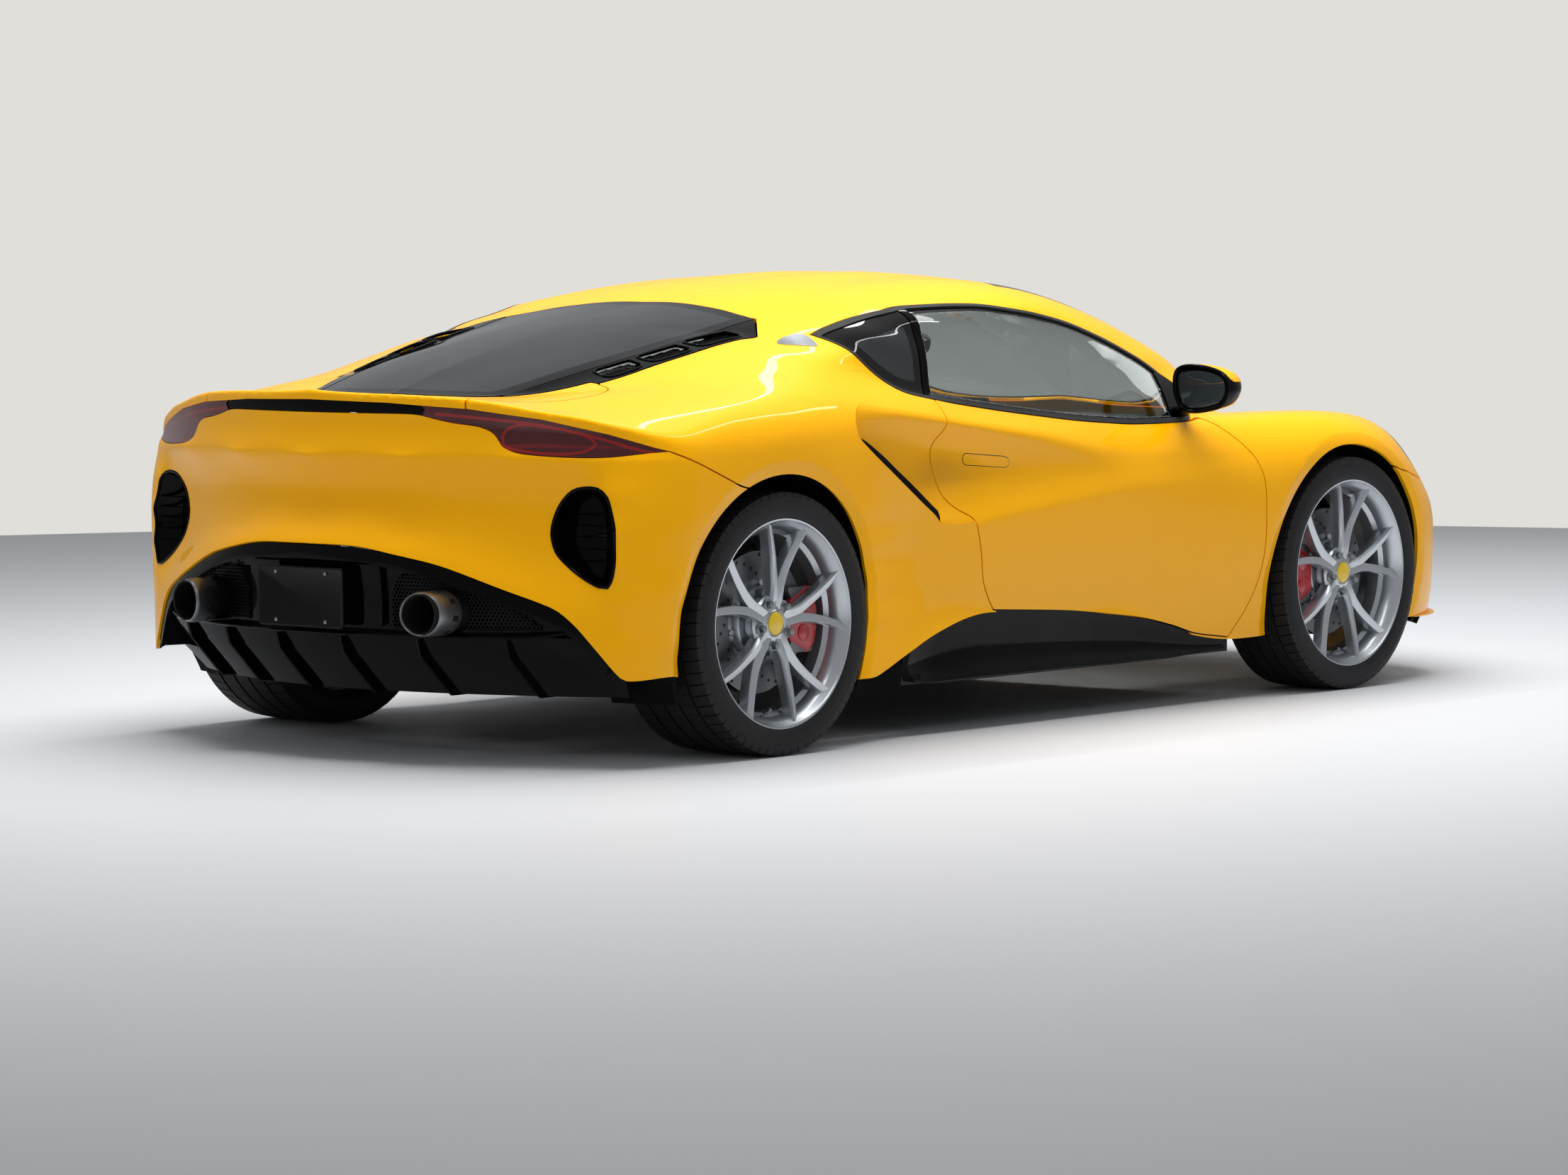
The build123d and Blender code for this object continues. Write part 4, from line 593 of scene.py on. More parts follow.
def fit_piece(piece, body, slot, *nodes):
    """What every piece of the car says: its body and the solids that it stands for. The finish, slot, is not used."""
    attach(piece, body)
    if nodes:
        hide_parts(*nodes)


def pair(name, mesh, thickness, material, body, slot, *nodes, lift=0.0):
    """The left piece and its mirror image; {} in the body's and nodes' names becomes left or right."""
    for side, half in (("left", mesh), ("right", other_side(mesh))):
        made = shell_object(f"{name}_{side}", half, thickness, material, lift)
        fit_piece(made, body.format(side), slot, *[node.format(side) for node in nodes])


def across_middle(name, mesh, thickness, material, body, slot, *nodes, lift=0.0):
    """One piece across the car's middle, made from its left half."""
    fit_piece(shell_object(name, both_sides(mesh), thickness, material, lift), body, slot, *nodes)


smooth_body = skin_mesh((-2.25, -0.012, 0.13), (2.25, 0.99, 1.24), False)
scooped_side = skin_mesh((-1.2, 0.7, 0.13), (0.9, 0.99, 1.0), True)
smooth_body = trimmed(smooth_body, -smooth_body[0][:, 1])


BELT = [(463, 802), (246, 804), (114, 812), (-18, 822), (-210, 842), (-400, 864), (-583, 888)]
DOOR = curve_through([
    (-650, 900), (-650, 900), (-663, 820), (-685, 774), (-676, 718), (-638, 645), (-588, 603), (-536, 575),
    (-511, 520), (-493, 462), (-478, 404), (-450, 360), (-418, 322), (-418, 322), (-60, 298), (252, 262),
    (410, 230), (520, 202), (676, 182), (676, 182), (730, 253), (772, 338), (785, 425), (780, 543),
    (771, 640), (746, 699), (687, 759), (610, 806), (540, 803), *BELT])
FRONT_BUMPER = curve_through([
    (1250, 640), (1490, 628), (1560, 612), (1700, 588), (1850, 558), (1960, 572), (2015, 600), (2260, 700),
    (2260, 700), (2260, 60), (2260, 60), (1250, 60), (1250, 60)])
HEADLAMP = curve_through([(1465, 806), (1465, 806), (1560, 778), (1700, 722), (1850, 646), (1935, 572), (1935, 572),
                          (1880, 556), (1760, 582), (1640, 625), (1540, 690)])
REAR_BUMPER = curve_through([
    (-1400, 640), (-1571, 712), (-1700, 764), (-1794, 802), (-1794, 802), (-1800, 1000), (-1800, 1000),
    (-2300, 1000), (-2300, 1000), (-2300, 60), (-2300, 60), (-1400, 60), (-1400, 60)])
BONNET = curve_through([(1020, -200), (1020, 0), (1012, 200), (985, 340), (935, 490), (880, 600), (850, 660),
                        (850, 660), (1000, 672), (1210, 668), (1400, 645), (1500, 615), (1700, 520), (1850, 430),
                        (1950, 340), (1985, 200), (1995, 0), (1995, -200)])
ROOF_FRONT = [(80, -200), (80, 0), (60, 300), (20, 480), (-10, 552), (-10, 552)]
ROOF_REAR = [(-858, -200), (-858, 0), (-864, 150), (-885, 300), (-912, 446), (-912, 446)]
WINDSCREEN = curve_through([
    *ROOF_FRONT, (200, 602), (400, 612), (600, 606), (760, 566),
    (900, 460), (985, 300), (1012, 150), (1020, 0), (1020, -200)])
ROOF_PANEL = curve_through([*ROOF_FRONT, (-226, 556), (-409, 535), (-589, 508), (-864, 430), *ROOF_REAR[::-1]])
TAILGATE = curve_through([
    *ROOF_REAR, (-1040, 560), (-1040, 560),
    (-1200, 536), (-1577, 476), (-1577, 476), (-1608, 540), (-1690, 572), (-1850, 548), (-1990, 494),
    (-2049, 471), (-2300, 420), (-2300, 420), (-2300, -200)])
DLO = curve_through([
    (-934, 1073), (-934, 1073), (-879, 1090), (-755, 1116), (-662, 1133), (-587, 1143), (-477, 1147), (-375, 1148),
    (-276, 1145), (-170, 1133), (-56, 1117), (70, 1093), (195, 1058), (332, 1014), (458, 961), (553, 914), (590, 884),
    (596, 850), (560, 812), *BELT, (-701, 906), (-779, 926), (-850, 975)])
# the intake: what the smooth haunch leaves open, and how far the scooped surface runs on under it
INTAKE_TOP = [(-480, 577), (-480, 577), (-480, 845), (-480, 845), (-560, 850), (-680, 866), (-760, 877), (-870, 893),
              (-955, 903)]
INTAKE_LOW = [(-1064, 822), (-1064, 822), (-985, 800), (-893, 757), (-840, 727), (-776, 689), (-728, 657),
              (-690, 628), (-668, 602), (-672, 584), (-680, 570)]
INTAKE_MOUTH = curve_through([(-1068, 818), (-1056, 804), (-983, 756), (-867, 689), (-771, 632), (-702, 591),
                              (-680, 572), (-634, 562), (-580, 564), *INTAKE_TOP, (-1015, 900), (-1056, 880),
                              (-1072, 848)])
INTAKE_FLOOR = curve_through([
    *INTAKE_LOW, (-634, 562), (-580, 564), *INTAKE_TOP, (-1015, 905), (-1062, 890), (-1066, 860)])
INTAKE_DUCT = curve_through([
    *INTAKE_LOW, (-680, 570), (-710, 560), (-800, 585), (-930, 640), (-1030, 700), (-1095, 780), (-1090, 830)])
# (y, z), seen from behind: the lip's lower edge, the lamps' lower edge and the edge over the diffuser
LIP_LOW = np.array([(0, 926), (250, 921), (477, 907), (650, 882), (795, 845), (860, 823), (914, 802),
                    (1000, 800)]) * MM
LAMP_LOW = curve_through([(0, 893), (300, 893), (345, 890), (388, 880), (436, 871), (500, 862), (536, 844),
                          (556, 815), (600, 797), (700, 788), (805, 788), (914, 802), (1000, 800)], closed=False)
TAIL_LOW = curve_through([(0, 559), (174, 556), (301, 536), (417, 511), (560, 460), (692, 408), (741, 367),
                          (787, 307), (832, 245), (853, 226), (901, 232), (960, 262)], closed=False)
# (distance round the corner, z): the corner outlet's mouth, measured round an upright axis inside the corner
VENT = curve_through([(271, 710), (241, 701), (209, 669), (188, 627), (182, 592), (195, 549), (225, 517), (263, 486),
                      (299, 463), (317, 461), (327, 492), (331, 557), (328, 632), (318, 687), (300, 708)])
CORNER_X, CORNER_Y, CORNER_RADIUS = -1.70, 0.50, 0.33
SILL_EDGE = curve_through([
    (-1050, 176), (-1018, 175), (-934, 179), (-768, 230), (-648, 275), (-528, 307), (-422, 316), (-60, 292),
    (252, 256), (410, 224), (520, 196), (676, 176), (900, 176)], closed=False)


def over(line, u, v):
    """How far v is over an open line that runs towards larger u."""
    return v - np.interp(u, line[:, 0], line[:, 1])


def cut_by(mesh, *tests):
    """Trims by one test after another; each gives the distance outside the piece for x, y and z."""
    for test in tests:
        mesh = trimmed(mesh, test(*mesh[0].T))
    return mesh


def within(line, plane, gap=0.0):
    """A test for cut_by: inside a closed line drawn in the plane "xz", "xy" or "yz", and this far clear of it."""
    return lambda *place: outside(line, *[place["xyz".index(axis)] for axis in plane]) + gap


def clear_of(line, plane, gap=HALF_GAP):
    """As within, for the part that lies outside the line."""
    return lambda *place: gap - outside(line, *[place["xyz".index(axis)] for axis in plane])


def round_corner(x, y):
    """Distance round the rear corner, from its upright axis's line to the tail."""
    return CORNER_RADIUS * np.arctan2(y - CORNER_Y, CORNER_X - x)


def wheel_openings(x, y, z):
    """How far a spot of the flank lies inside the nearer wheel's opening."""
    rear, front = [radius - np.sqrt((x - axle) ** 2 + (z - hub) ** 2) for axle, hub, radius in ARCHES.values()]
    return np.where(y > 0.4, np.maximum(front, rear), -1.0)


def lamp_opening(x, y, z):
    """The headlamp's opening, outboard of its inner end."""
    return np.minimum(HALF_GAP - outside(HEADLAMP, x, z), y - 0.4478)


rear_half = cut_by(smooth_body, lambda x, y, z: x + 0.4)
door_skin = cut_by(scooped_side, within(DOOR, "xz", HALF_GAP))
pair("door_skin", door_skin, 0.012, paint, "door_{}_body", "body_paint", "door_{}")

haunch = cut_by(
    rear_half, lambda x, y, z: np.minimum(np.interp(y, *LIP_LOW.T) - z, HALF_GAP - outside(REAR_BUMPER, x, z)),
    clear_of(TAILGATE, "xy"), clear_of(DOOR, "xz"), wheel_openings, lambda x, y, z: 0.155 - z,
    lambda x, y, z: np.where(x > -1.1, -over(SILL_EDGE, x, z), -1.0),
    clear_of(DLO, "xz", 0.001), clear_of(ROOF_PANEL, "xy", 0),
    lambda x, y, z: np.where(z > 0.98, x + 0.93, x + 0.405))
haunch_open = cut_by(haunch, clear_of(INTAKE_MOUTH, "xz", 0))
pair("haunch", haunch_open, 0.010, paint, "car", "body_paint", "rear_fender_{}")
haunch_inside = cut_by(haunch_open, lambda x, y, z: z - 0.8)
pair("haunch_lining", haunch_inside, 0.002, duct_black, "car", "liner_plastic", lift=-0.0105)
scoop = cut_by(scooped_side, within(INTAKE_FLOOR, "xz"), clear_of(DOOR, "xz"))
pair("intake_scoop", scoop, 0.006, paint, "car", "body_paint")
duct = cut_by(scooped_side, within(INTAKE_DUCT, "xz"), clear_of(INTAKE_FLOOR, "xz", 0.0005))
pair("intake_duct", duct, 0.004, duct_black, "car", "liner_plastic")

tail_skin = cut_by(rear_half, within(REAR_BUMPER, "xz", HALF_GAP),
                   lambda x, y, z: over(LAMP_LOW, y, z) + np.where(y < 0.914, 0.001, HALF_GAP),
                   lambda x, y, z: -over(TAIL_LOW, y, z), wheel_openings,
                   lambda x, y, z: np.minimum(-1.8 - x, -outside(VENT, round_corner(x, y), z)))
across_middle("tail_skin", tail_skin, 0.010, paint, "car", "body_paint", "rear_bumper")
tail_inside = cut_by(tail_skin, lambda x, y, z: z - 0.62, lambda x, y, z: 0.6 - y)
pair("tail_lining", tail_inside, 0.002, duct_black, "car", "liner_plastic", lift=-0.0105)

lid = cut_by(rear_half, within(TAILGATE, "xy", HALF_GAP),
             lambda x, y, z: np.interp(y, *LIP_LOW.T) - z, lambda x, y, z: x + 0.86)
REAR_SCREEN = curve_through([
    (-850, -200), (-850, 0), (-858, 150), (-880, 300), (-908, 446), (-908, 446), (-1036, 566), (-1036, 566),
    (-1200, 542), (-1577, 482), (-1577, 482), (-1577, 452), (-1577, 452), (-1640, 434), (-1740, 386), (-1795, 352),
    (-1838, 280), (-1858, 150), (-1862, 0), (-1862, -200)])
REAR_PANE = curve_through([
    (-860, -200), (-860, 0), (-866, 150), (-887, 300), (-914, 442), (-914, 442), (-1200, 416), (-1498, 386),
    (-1700, 350), (-1790, 322), (-1826, 270), (-1846, 150), (-1850, 0), (-1850, -200)])
deck = cut_by(lid, clear_of(REAR_SCREEN, "xy", 0.001))
across_middle("deck_and_lip", deck, 0.010, paint, "tailgate_body", "body_paint", "tailgate")

roof_skin = cut_by(smooth_body, within(ROOF_PANEL, "xy"), lambda x, y, z: 0.95 - z)
across_middle("roof_skin", roof_skin, 0.012, paint, "car", "body_paint", "roof")
rail = cut_by(smooth_body, lambda x, y, z: 0.79 - z, lambda x, y, z: -0.93 - x, lambda x, y, z: x - 0.66,
              clear_of(ROOF_PANEL, "xy", 0), clear_of(WINDSCREEN, "xy", 0.001), clear_of(DLO, "xz", 0.001),
              clear_of(DOOR, "xz"), clear_of(TAILGATE, "xy"),
              lambda x, y, z: np.where(x < -0.5, 0.98 - z, np.where(x < 0.55, 0.88 - z, -1.0)))
pair("roof_rail", rail, 0.012, paint, "car", "body_paint", "side_frame_{}")

front_half = cut_by(smooth_body, lambda x, y, z: 0.5 - x)
bonnet_skin = cut_by(front_half, within(BONNET, "xy", HALF_GAP), lambda x, y, z: 0.45 - z,
                     clear_of(WINDSCREEN, "xy", 0.001))
across_middle("bonnet_skin", bonnet_skin, 0.012, paint, "bonnet_body", "body_paint", "bonnet")
wing = cut_by(
    front_half, clear_of(BONNET, "xy"), clear_of(DOOR, "xz"), clear_of(FRONT_BUMPER, "xz"), lamp_opening,
    lambda x, y, z: np.minimum(x - 1.75, 0.47 - y), wheel_openings, lambda x, y, z: -over(SILL_EDGE, x, z),
    clear_of(WINDSCREEN, "xy", 0.001), clear_of(DLO, "xz", 0.001),
    lambda x, y, z: np.minimum(0.662 - x, z - 0.79))
pair("wing", wing, 0.010, paint, "car", "body_paint", "front_fender_{}")
wing_inside = cut_by(wing, lambda x, y, z: z - 0.78)
pair("wing_lining", wing_inside, 0.002, duct_black, "car", "liner_plastic", lift=-0.0105)
nose_skin = cut_by(
    front_half,
    lambda x, y, z: np.minimum(outside(FRONT_BUMPER, x, z) + HALF_GAP, np.maximum(y - 0.4695, 1.7505 - x)),
    lamp_opening, clear_of(BONNET, "xy"), wheel_openings, lambda x, y, z: 0.188 - z)


# ------------------------------------------------------------------ panes
# Tinted safety glass, bonded in, with a black ceramic border fired on along every edge. The
# side panes are 4 mm, the screens 5 mm; the tailgate's pane is tinted nearly black.
def tinted_glass(name, tint, border, dense=0.0):
    """Clear tinted glass whose "edge" attribute, the distance in from the pane's edge, carries the black border."""
    material, shader = new_material(name, tint, 0.02, Transmission_Weight=1.0, IOR=1.45)
    tree = shader.id_data
    edge = add_node(tree, "ShaderNodeAttribute", attribute_name="edge").outputs["Fac"]
    dots = grain(shader, 0.004, 0.0, "Voronoi", "Distance")
    ragged = add_node(tree, "ShaderNodeMath", {0: dots, 1: 0.006}, operation="MULTIPLY")
    depth = add_node(tree, "ShaderNodeMath", {0: edge, 1: ragged.outputs[0]}, operation="ADD")
    clear = add_node(tree, "ShaderNodeMapRange", {"Value": depth.outputs[0], "From Min": border - 0.001,
                                                  "From Max": border + 0.001})
    shade = add_node(tree, "ShaderNodeMix", {0: clear.outputs[0], 6: linear("#050506"), 7: linear(tint)},
                     data_type="RGBA")
    through = add_node(tree, "ShaderNodeMath", {0: clear.outputs[0], 1: 1 - dense}, operation="MULTIPLY")
    tree.links.new(shade.outputs[2], shader.inputs["Base Color"])
    tree.links.new(through.outputs[0], shader.inputs["Transmission Weight"])
    return material


def pane_object(name, mesh, thickness, material, edge, lift=0.0):
    """A sheet with its distance in from the edge, for x, y and z of each vertex, written on it."""
    pane = shell_object(name, mesh, thickness, material, lift)
    depth = np.tile(edge(*mesh[0].T), 2)
    pane.data.attributes.new("edge", "FLOAT", "POINT").data.foreach_set("value", depth.astype(np.float32))
    return pane


screen_glass = tinted_glass("laminated_tinted_glass", "#F0F5F2", 0.030)
door_glass = tinted_glass("toughened_green_tinted_glass", "#EEF4F0", 0.016)
privacy_glass = tinted_glass("toughened_privacy_glass", "#3A3F41", 0.045, dense=0.45)

screen = cut_by(smooth_body, within(WINDSCREEN, "xy", HALF_GAP), lambda x, y, z: 0.7 - z)
fit_piece(pane_object("windscreen_pane", both_sides(screen), 0.005, screen_glass,
                      lambda x, y, z: -outside(WINDSCREEN, x, np.abs(y)) + 0.02 * (x > 0.8)), "car", "glass",
          "windscreen")

SPLIT = np.array([(-0.700, 0.70), (-0.663, 0.90), (-0.600, 1.139), (-0.590, 1.20)])    # the rear post, as x at each z


def behind_split(x, z):
    return x - np.interp(z, SPLIT[:, 1], SPLIT[:, 0])


side_glass = cut_by(smooth_body, within(DLO, "xz", 0.004))
drop_glass = cut_by(side_glass, lambda x, y, z: 0.014 - behind_split(x, z))
fixed_glass = cut_by(side_glass, lambda x, y, z: behind_split(x, z) + 0.014)
post = cut_by(side_glass, lambda x, y, z: np.abs(behind_split(x, z)) - 0.013)
SAIL = curve_through([(452, 700), (452, 700), (462, 880), (470, 942), (470, 942), (600, 942), (600, 942), (640, 700)])
sail = cut_by(drop_glass, within(SAIL, "xz"))
drop_glass = cut_by(drop_glass, clear_of(SAIL, "xz", 0.003))
for side, turned in (("left", lambda mesh: mesh), ("right", other_side)):
    fit_piece(pane_object(f"door_window_{side}", turned(drop_glass), 0.004, door_glass,
                          lambda x, y, z: np.minimum(-outside(DLO, x, z), behind_split(x, z)) - 0.006, -0.004),
              f"door_{side}_body", "glass", f"door_glass_{side}")
    quarter = pane_object(f"quarter_pane_{side}", turned(fixed_glass), 0.004, privacy_glass,
                          lambda x, y, z: np.minimum(-outside(DLO, x, z), -behind_split(x, z)), -0.002)
    fit_piece(quarter, "car", "glass", *(["quarter_windows"] if side == "left" else []))

piano_black, shader = new_material("gloss_black_abs", "#040405", 0.07, Specular_IOR_Level=0.15, IOR=1.4)
PEEL = 0.009                 # the faint waviness of a high-gloss moulding
wave = grain(shader, PEEL, 1.0)
relief(shader, wave, 0.02, 0.001)
uneven_gloss(shader, wave, 0.04, 0.10)
pair("rear_post_trim", post, 0.006, piano_black, "car", "gloss_black", lift=0.0005)
pair("mirror_sail", sail, 0.010, piano_black, "door_{}_body", "gloss_black", lift=0.001)

seal_ring = cut_by(smooth_body, within(DLO, "xz", 0.0005), clear_of(DLO, "xz", -0.0075),
                   clear_of(SAIL, "xz", 0))
seal_rubber, shader = new_material("extruded_epdm_seal", "#0A0A0A", 0.55, Sheen_Weight=0.1)
uneven_gloss(shader, grain(shader, 0.0015), 0.45, 0.7)
pair("window_seal", seal_ring, 0.012, seal_rubber, "car", "gloss_black", lift=0.0015)

rear_pane = cut_by(lid, within(REAR_PANE, "xy"))
fit_piece(pane_object("tailgate_pane", both_sides(rear_pane), 0.005, privacy_glass,
                      lambda x, y, z: -outside(REAR_PANE, x, np.abs(y))), "tailgate_body", "glass", "rear_glass")


# ------------------------------------------------------------------ tail lamps and the strip between them
# Each lamp is a dark housing with a bright red light guide bent round it, under a moulded lens of
# clear red acrylic. A gloss black strip joins the two under the lip.
def reach(start, step, span=0.35):
    """Moves points along a step until they meet the body's surface, from outside of it."""
    spots, step = np.array(start, float), np.array(step, float)
    low, high = np.zeros(len(spots)), np.full(len(spots), span)
    for _ in range(26):
        middle = (low + high) / 2
        free = body_field(*(spots + middle[:, None] * step).T, False)[0] > 0
        low, high = np.where(free, middle, low), np.where(free, high, middle)
    spots = spots + low[:, None] * step
    gradient = np.column_stack(body_field(*spots.T, False)[1])
    return spots, gradient / np.linalg.norm(gradient, axis=1)[:, None]


def projected(line, axis, start, span=0.6):
    """As reach, for points given by two of x, y and z: inwards along the third axis from this place on it."""
    way = np.zeros(3)
    way[axis] = -np.sign(start)
    return reach(np.insert(np.asarray(line, float), axis, start, axis=1), way, span)


def bands(count, rings, closed=False):
    """Quads from each ring of count points to the next, and for a closed loop from the last to the first."""
    k = np.arange(count)
    after = (k + 1) % count
    rows = [(i * count, (i + 1) % rings * count) for i in range(rings if closed else rings - 1)]
    return np.concatenate([np.column_stack([a + k, a + after, b + after, b + k]) for a, b in rows])


def joined(*pieces):
    """Several (vertices, list of face arrays) as one."""
    vertices, faces, start = [], [], 0
    for points, blocks in pieces:
        vertices.append(points)
        faces += [np.asarray(block) + start for block in blocks if len(block)]
        start += len(points)
    return np.concatenate(vertices), faces


def mirrored(piece):
    vertices, faces = piece
    return vertices * (1, -1, 1), [block[:, ::-1] for block in faces]


def turned_out(piece):
    """The piece with its faces pointing outwards, judged by its enclosed volume."""
    vertices, faces = piece
    volume = 0.0
    for block in faces:
        for k in range(1, block.shape[1] - 1):
            a, b, c = vertices[block[:, 0]], vertices[block[:, k]], vertices[block[:, k + 1]]
            volume += np.einsum("ij,ij->i", a, np.cross(b, c)).sum()
    return piece if volume > 0 else (vertices, [block[:, ::-1] for block in faces])


def lofted(rings):
    """A closed solid through rings of as many points each, with both its ends filled."""
    count, last = len(rings[0]), len(rings) - 1
    end = np.arange(count)[None, :]
    return turned_out((np.concatenate(rings), [bands(count, len(rings)), end[:, ::-1], end + last * count]))


def tube_along(points, radius, closed=False, sides=10, flat=1.0, up=(0, 0, 1)):
    """A round or flattened bar along points, closed at its ends; flat is its height over its width."""
    points = np.asarray(points, float)
    run = np.roll(points, -1, 0) - np.roll(points, 1, 0)
    if not closed:
        run[0], run[-1] = points[1] - points[0], points[-1] - points[-2]
    run /= np.linalg.norm(run, axis=1)[:, None]
    side = np.cross(run, up)
    side /= np.linalg.norm(side, axis=1)[:, None] + 1e-12
    turn = np.arange(sides)[None, :, None] * 2 * pi / sides
    radius = np.broadcast_to(np.asarray(radius, float), (len(points),))[:, None, None]
    ring = points[:, None] + radius * (np.cos(turn) * side[:, None]
                                       + flat * np.sin(turn) * np.cross(side, run)[:, None])
    n = len(points)
    vertices, faces = ring.reshape(-1, 3), [bands(sides, n, closed)]
    if not closed:
        a = np.arange(sides)
        b = (a + 1) % sides
        vertices = np.concatenate([vertices, points[[0, -1]]])
        faces += [np.column_stack([b, a, np.full(sides, n * sides)]),
                  np.column_stack([(n - 1) * sides + a, (n - 1) * sides + b, np.full(sides, n * sides + 1)])]
    return turned_out((vertices, faces))


def sharp_object(name, piece, material, angle=32):
    """A piece whose edges sharper than the angle show as edges."""
    made = mesh_object(name, piece[0], piece[1], material)
    made.data.set_sharp_from_angle(angle=radians(angle))
    return made


def fit_both(name, piece, material, angle, body, slot, *nodes):
    """A closed piece of the left side and its mirror image; {} in the body's and nodes' names becomes the side."""
    for side, turned in (("left", piece), ("right", mirrored(piece))):
        made = sharp_object(f"{name}_{side}", turned, material, angle)
        fit_piece(made, body.format(side), slot, *[node.format(side) for node in nodes])


red_lens, shader = new_material("moulded_red_acrylic", "#D4001C", 0.03, Transmission_Weight=0.96, IOR=1.49,
                                Coat_Weight=0.4, Coat_Roughness=0.02)
OPTIC = 0.005                # pitch of the ribs moulded inside the lens
relief(shader, grain(shader, 10 * OPTIC / pi, kind="Wave", bands_direction="Y"), 0.25, 0.0006)
guide_red, shader = new_material("red_light_guide", "#C80E22", 0.15, Emission_Strength=0.12)
shader.inputs["Emission Color"].default_value = linear("#FF1028")
uneven_gloss(shader, grain(shader, 0.003), 0.1, 0.3)
housing_black, shader = new_material("metallised_dark_housing", "#10070A", 0.25, Metallic=0.3)
FACET = 0.012                # pitch of the reflector's steps
relief(shader, grain(shader, 10 * FACET / pi, kind="Wave", bands_direction="Z"), 0.4, 0.002)

under_lip = cut_by(rear_half, lambda x, y, z: x + 1.70, lambda x, y, z: z - np.interp(y, *LIP_LOW.T) + 0.001,
                   lambda x, y, z: 0.001 - over(LAMP_LOW, y, z), lambda x, y, z: y - 0.925)
INNER_END = np.array([(0.893, 0.352), (0.905, 0.360), (0.935, 0.330)])        # z, y of the lens's pointed inner end
lens = cut_by(under_lip, lambda x, y, z: np.interp(z, *INNER_END.T) - y, lambda x, y, z: y - 0.916)
pair("tail_lens", lens, 0.003, red_lens, "car", "lamp_red", "tail_lights", lift=-0.001)
pair("tail_lamp_housing", lens, 0.004, housing_black, "car", "lamp_red", lift=-0.030)
strip = cut_by(under_lip, lambda x, y, z: y - np.interp(z, *INNER_END.T))
across_middle("tail_strip", strip, 0.008, piano_black, "car", "gloss_black", lift=-0.004)
GUIDE_LOOP = curve_through([(552, 836), (566, 812), (620, 804), (688, 800), (741, 805), (766, 820), (743, 840),
                            (683, 856), (606, 866), (568, 858)], 8)
GUIDE_TOP = curve_through([(380, 893), (460, 886), (560, 876), (660, 862), (760, 838), (850, 811), (890, 801)], 10,
                          closed=False)
bars = []
for line, closed, radius in ((GUIDE_LOOP[:-1], True, 0.0035), (GUIDE_TOP, False, 0.004)):
    spots, normals = projected(line, 0, -2.25)
    bars.append(tube_along(spots - normals * 0.012, radius, closed=closed, up=normals))
fit_both("tail_light_guide", joined(*bars), guide_red, 180, "car", "lamp_red")


# ------------------------------------------------------------------ gloss louvres beside the rear pane
# A gloss black moulding down each side of the tailgate's pane. Three framed openings in it, filled
# with fine hexagonal mesh, let the engine's heat out.
def repeated(name, unit, spots, facing, along, material, size=1.0):
    """Geometry Nodes: the unit mesh at every spot, its z axis turned to facing and its x axis to along."""
    points = bpy.data.meshes.new(name + "_spots")
    points.from_pydata(np.asarray(spots, float).tolist(), [], [])
    carrier = bpy.data.objects.new(name + "_spots", points)
    bpy.context.scene.collection.objects.link(carrier)
    for label, values in (("facing", facing), ("along", along)):
        values = np.broadcast_to(np.asarray(values, float), (len(spots), 3))
        carrier.data.attributes.new(label, "FLOAT_VECTOR", "POINT").data.foreach_set("vector", values.ravel())
    tree = bpy.data.node_groups.new(name + "_pattern", "GeometryNodeTree")
    tree.interface.new_socket("Geometry", in_out="INPUT", socket_type="NodeSocketGeometry")
    unit_input = tree.interface.new_socket("Unit", in_out="INPUT", socket_type="NodeSocketObject")
    size_input = tree.interface.new_socket("Size", in_out="INPUT", socket_type="NodeSocketFloat")
    tree.interface.new_socket("Geometry", in_out="OUTPUT", socket_type="NodeSocketGeometry")
    given = add_node(tree, "NodeGroupInput")
    single = add_node(tree, "GeometryNodeObjectInfo", {"Object": given.outputs["Unit"]})
    turns = None
    for label, axis in (("facing", "Z"), ("along", "X")):
        vector = add_node(tree, "GeometryNodeInputNamedAttribute", {"Name": label}, data_type="FLOAT_VECTOR")
        links = {"Vector": vector.outputs["Attribute"]}
        if turns:
            links["Rotation"] = turns.outputs[0]
        turns = add_node(tree, "FunctionNodeAlignRotationToVector", links, axis=axis)
        turns.pivot_axis = "Z" if axis == "X" else "AUTO"
    placed = add_node(tree, "GeometryNodeInstanceOnPoints", {
        "Points": given.outputs["Geometry"], "Instance": single.outputs["Geometry"], "Rotation": turns.outputs[0],
        "Scale": given.outputs["Size"]})
    whole = add_node(tree, "GeometryNodeRealizeInstances", {"Geometry": placed.outputs[0]})
    finish = add_node(tree, "GeometryNodeSetMaterial", {"Geometry": whole.outputs[0], "Material": material})
    add_node(tree, "NodeGroupOutput", {"Geometry": finish.outputs[0]})
    unit_object = sharp_object(name + "_unit", unit, material)
    pattern = carrier.modifiers.new("pattern", "NODES")
    pattern.node_group = tree
    pattern[unit_input.identifier] = unit_object
    pattern[size_input.identifier] = size
    mesh = bpy.data.meshes.new_from_object(carrier.evaluated_get(bpy.context.evaluated_depsgraph_get()))
    for spare in (carrier, unit_object):
        bpy.data.objects.remove(spare)
    made = bpy.data.objects.new(name, mesh)
    bpy.context.scene.collection.objects.link(made)
    made.data.set_sharp_from_angle(angle=radians(32))
    return made


def repeated_both(name, unit, spots, facing, along, material, body, slot):
    """As repeated, with its mirror image; {} in the body's name becomes the side."""
    for side, flip in (("left", (1, 1, 1)), ("right", (1, -1, 1))):
        made = repeated(f"{name}_{side}", unit, spots * np.array(flip), np.multiply(facing, flip), along, material)
        fit_piece(made, body.format(side), slot)


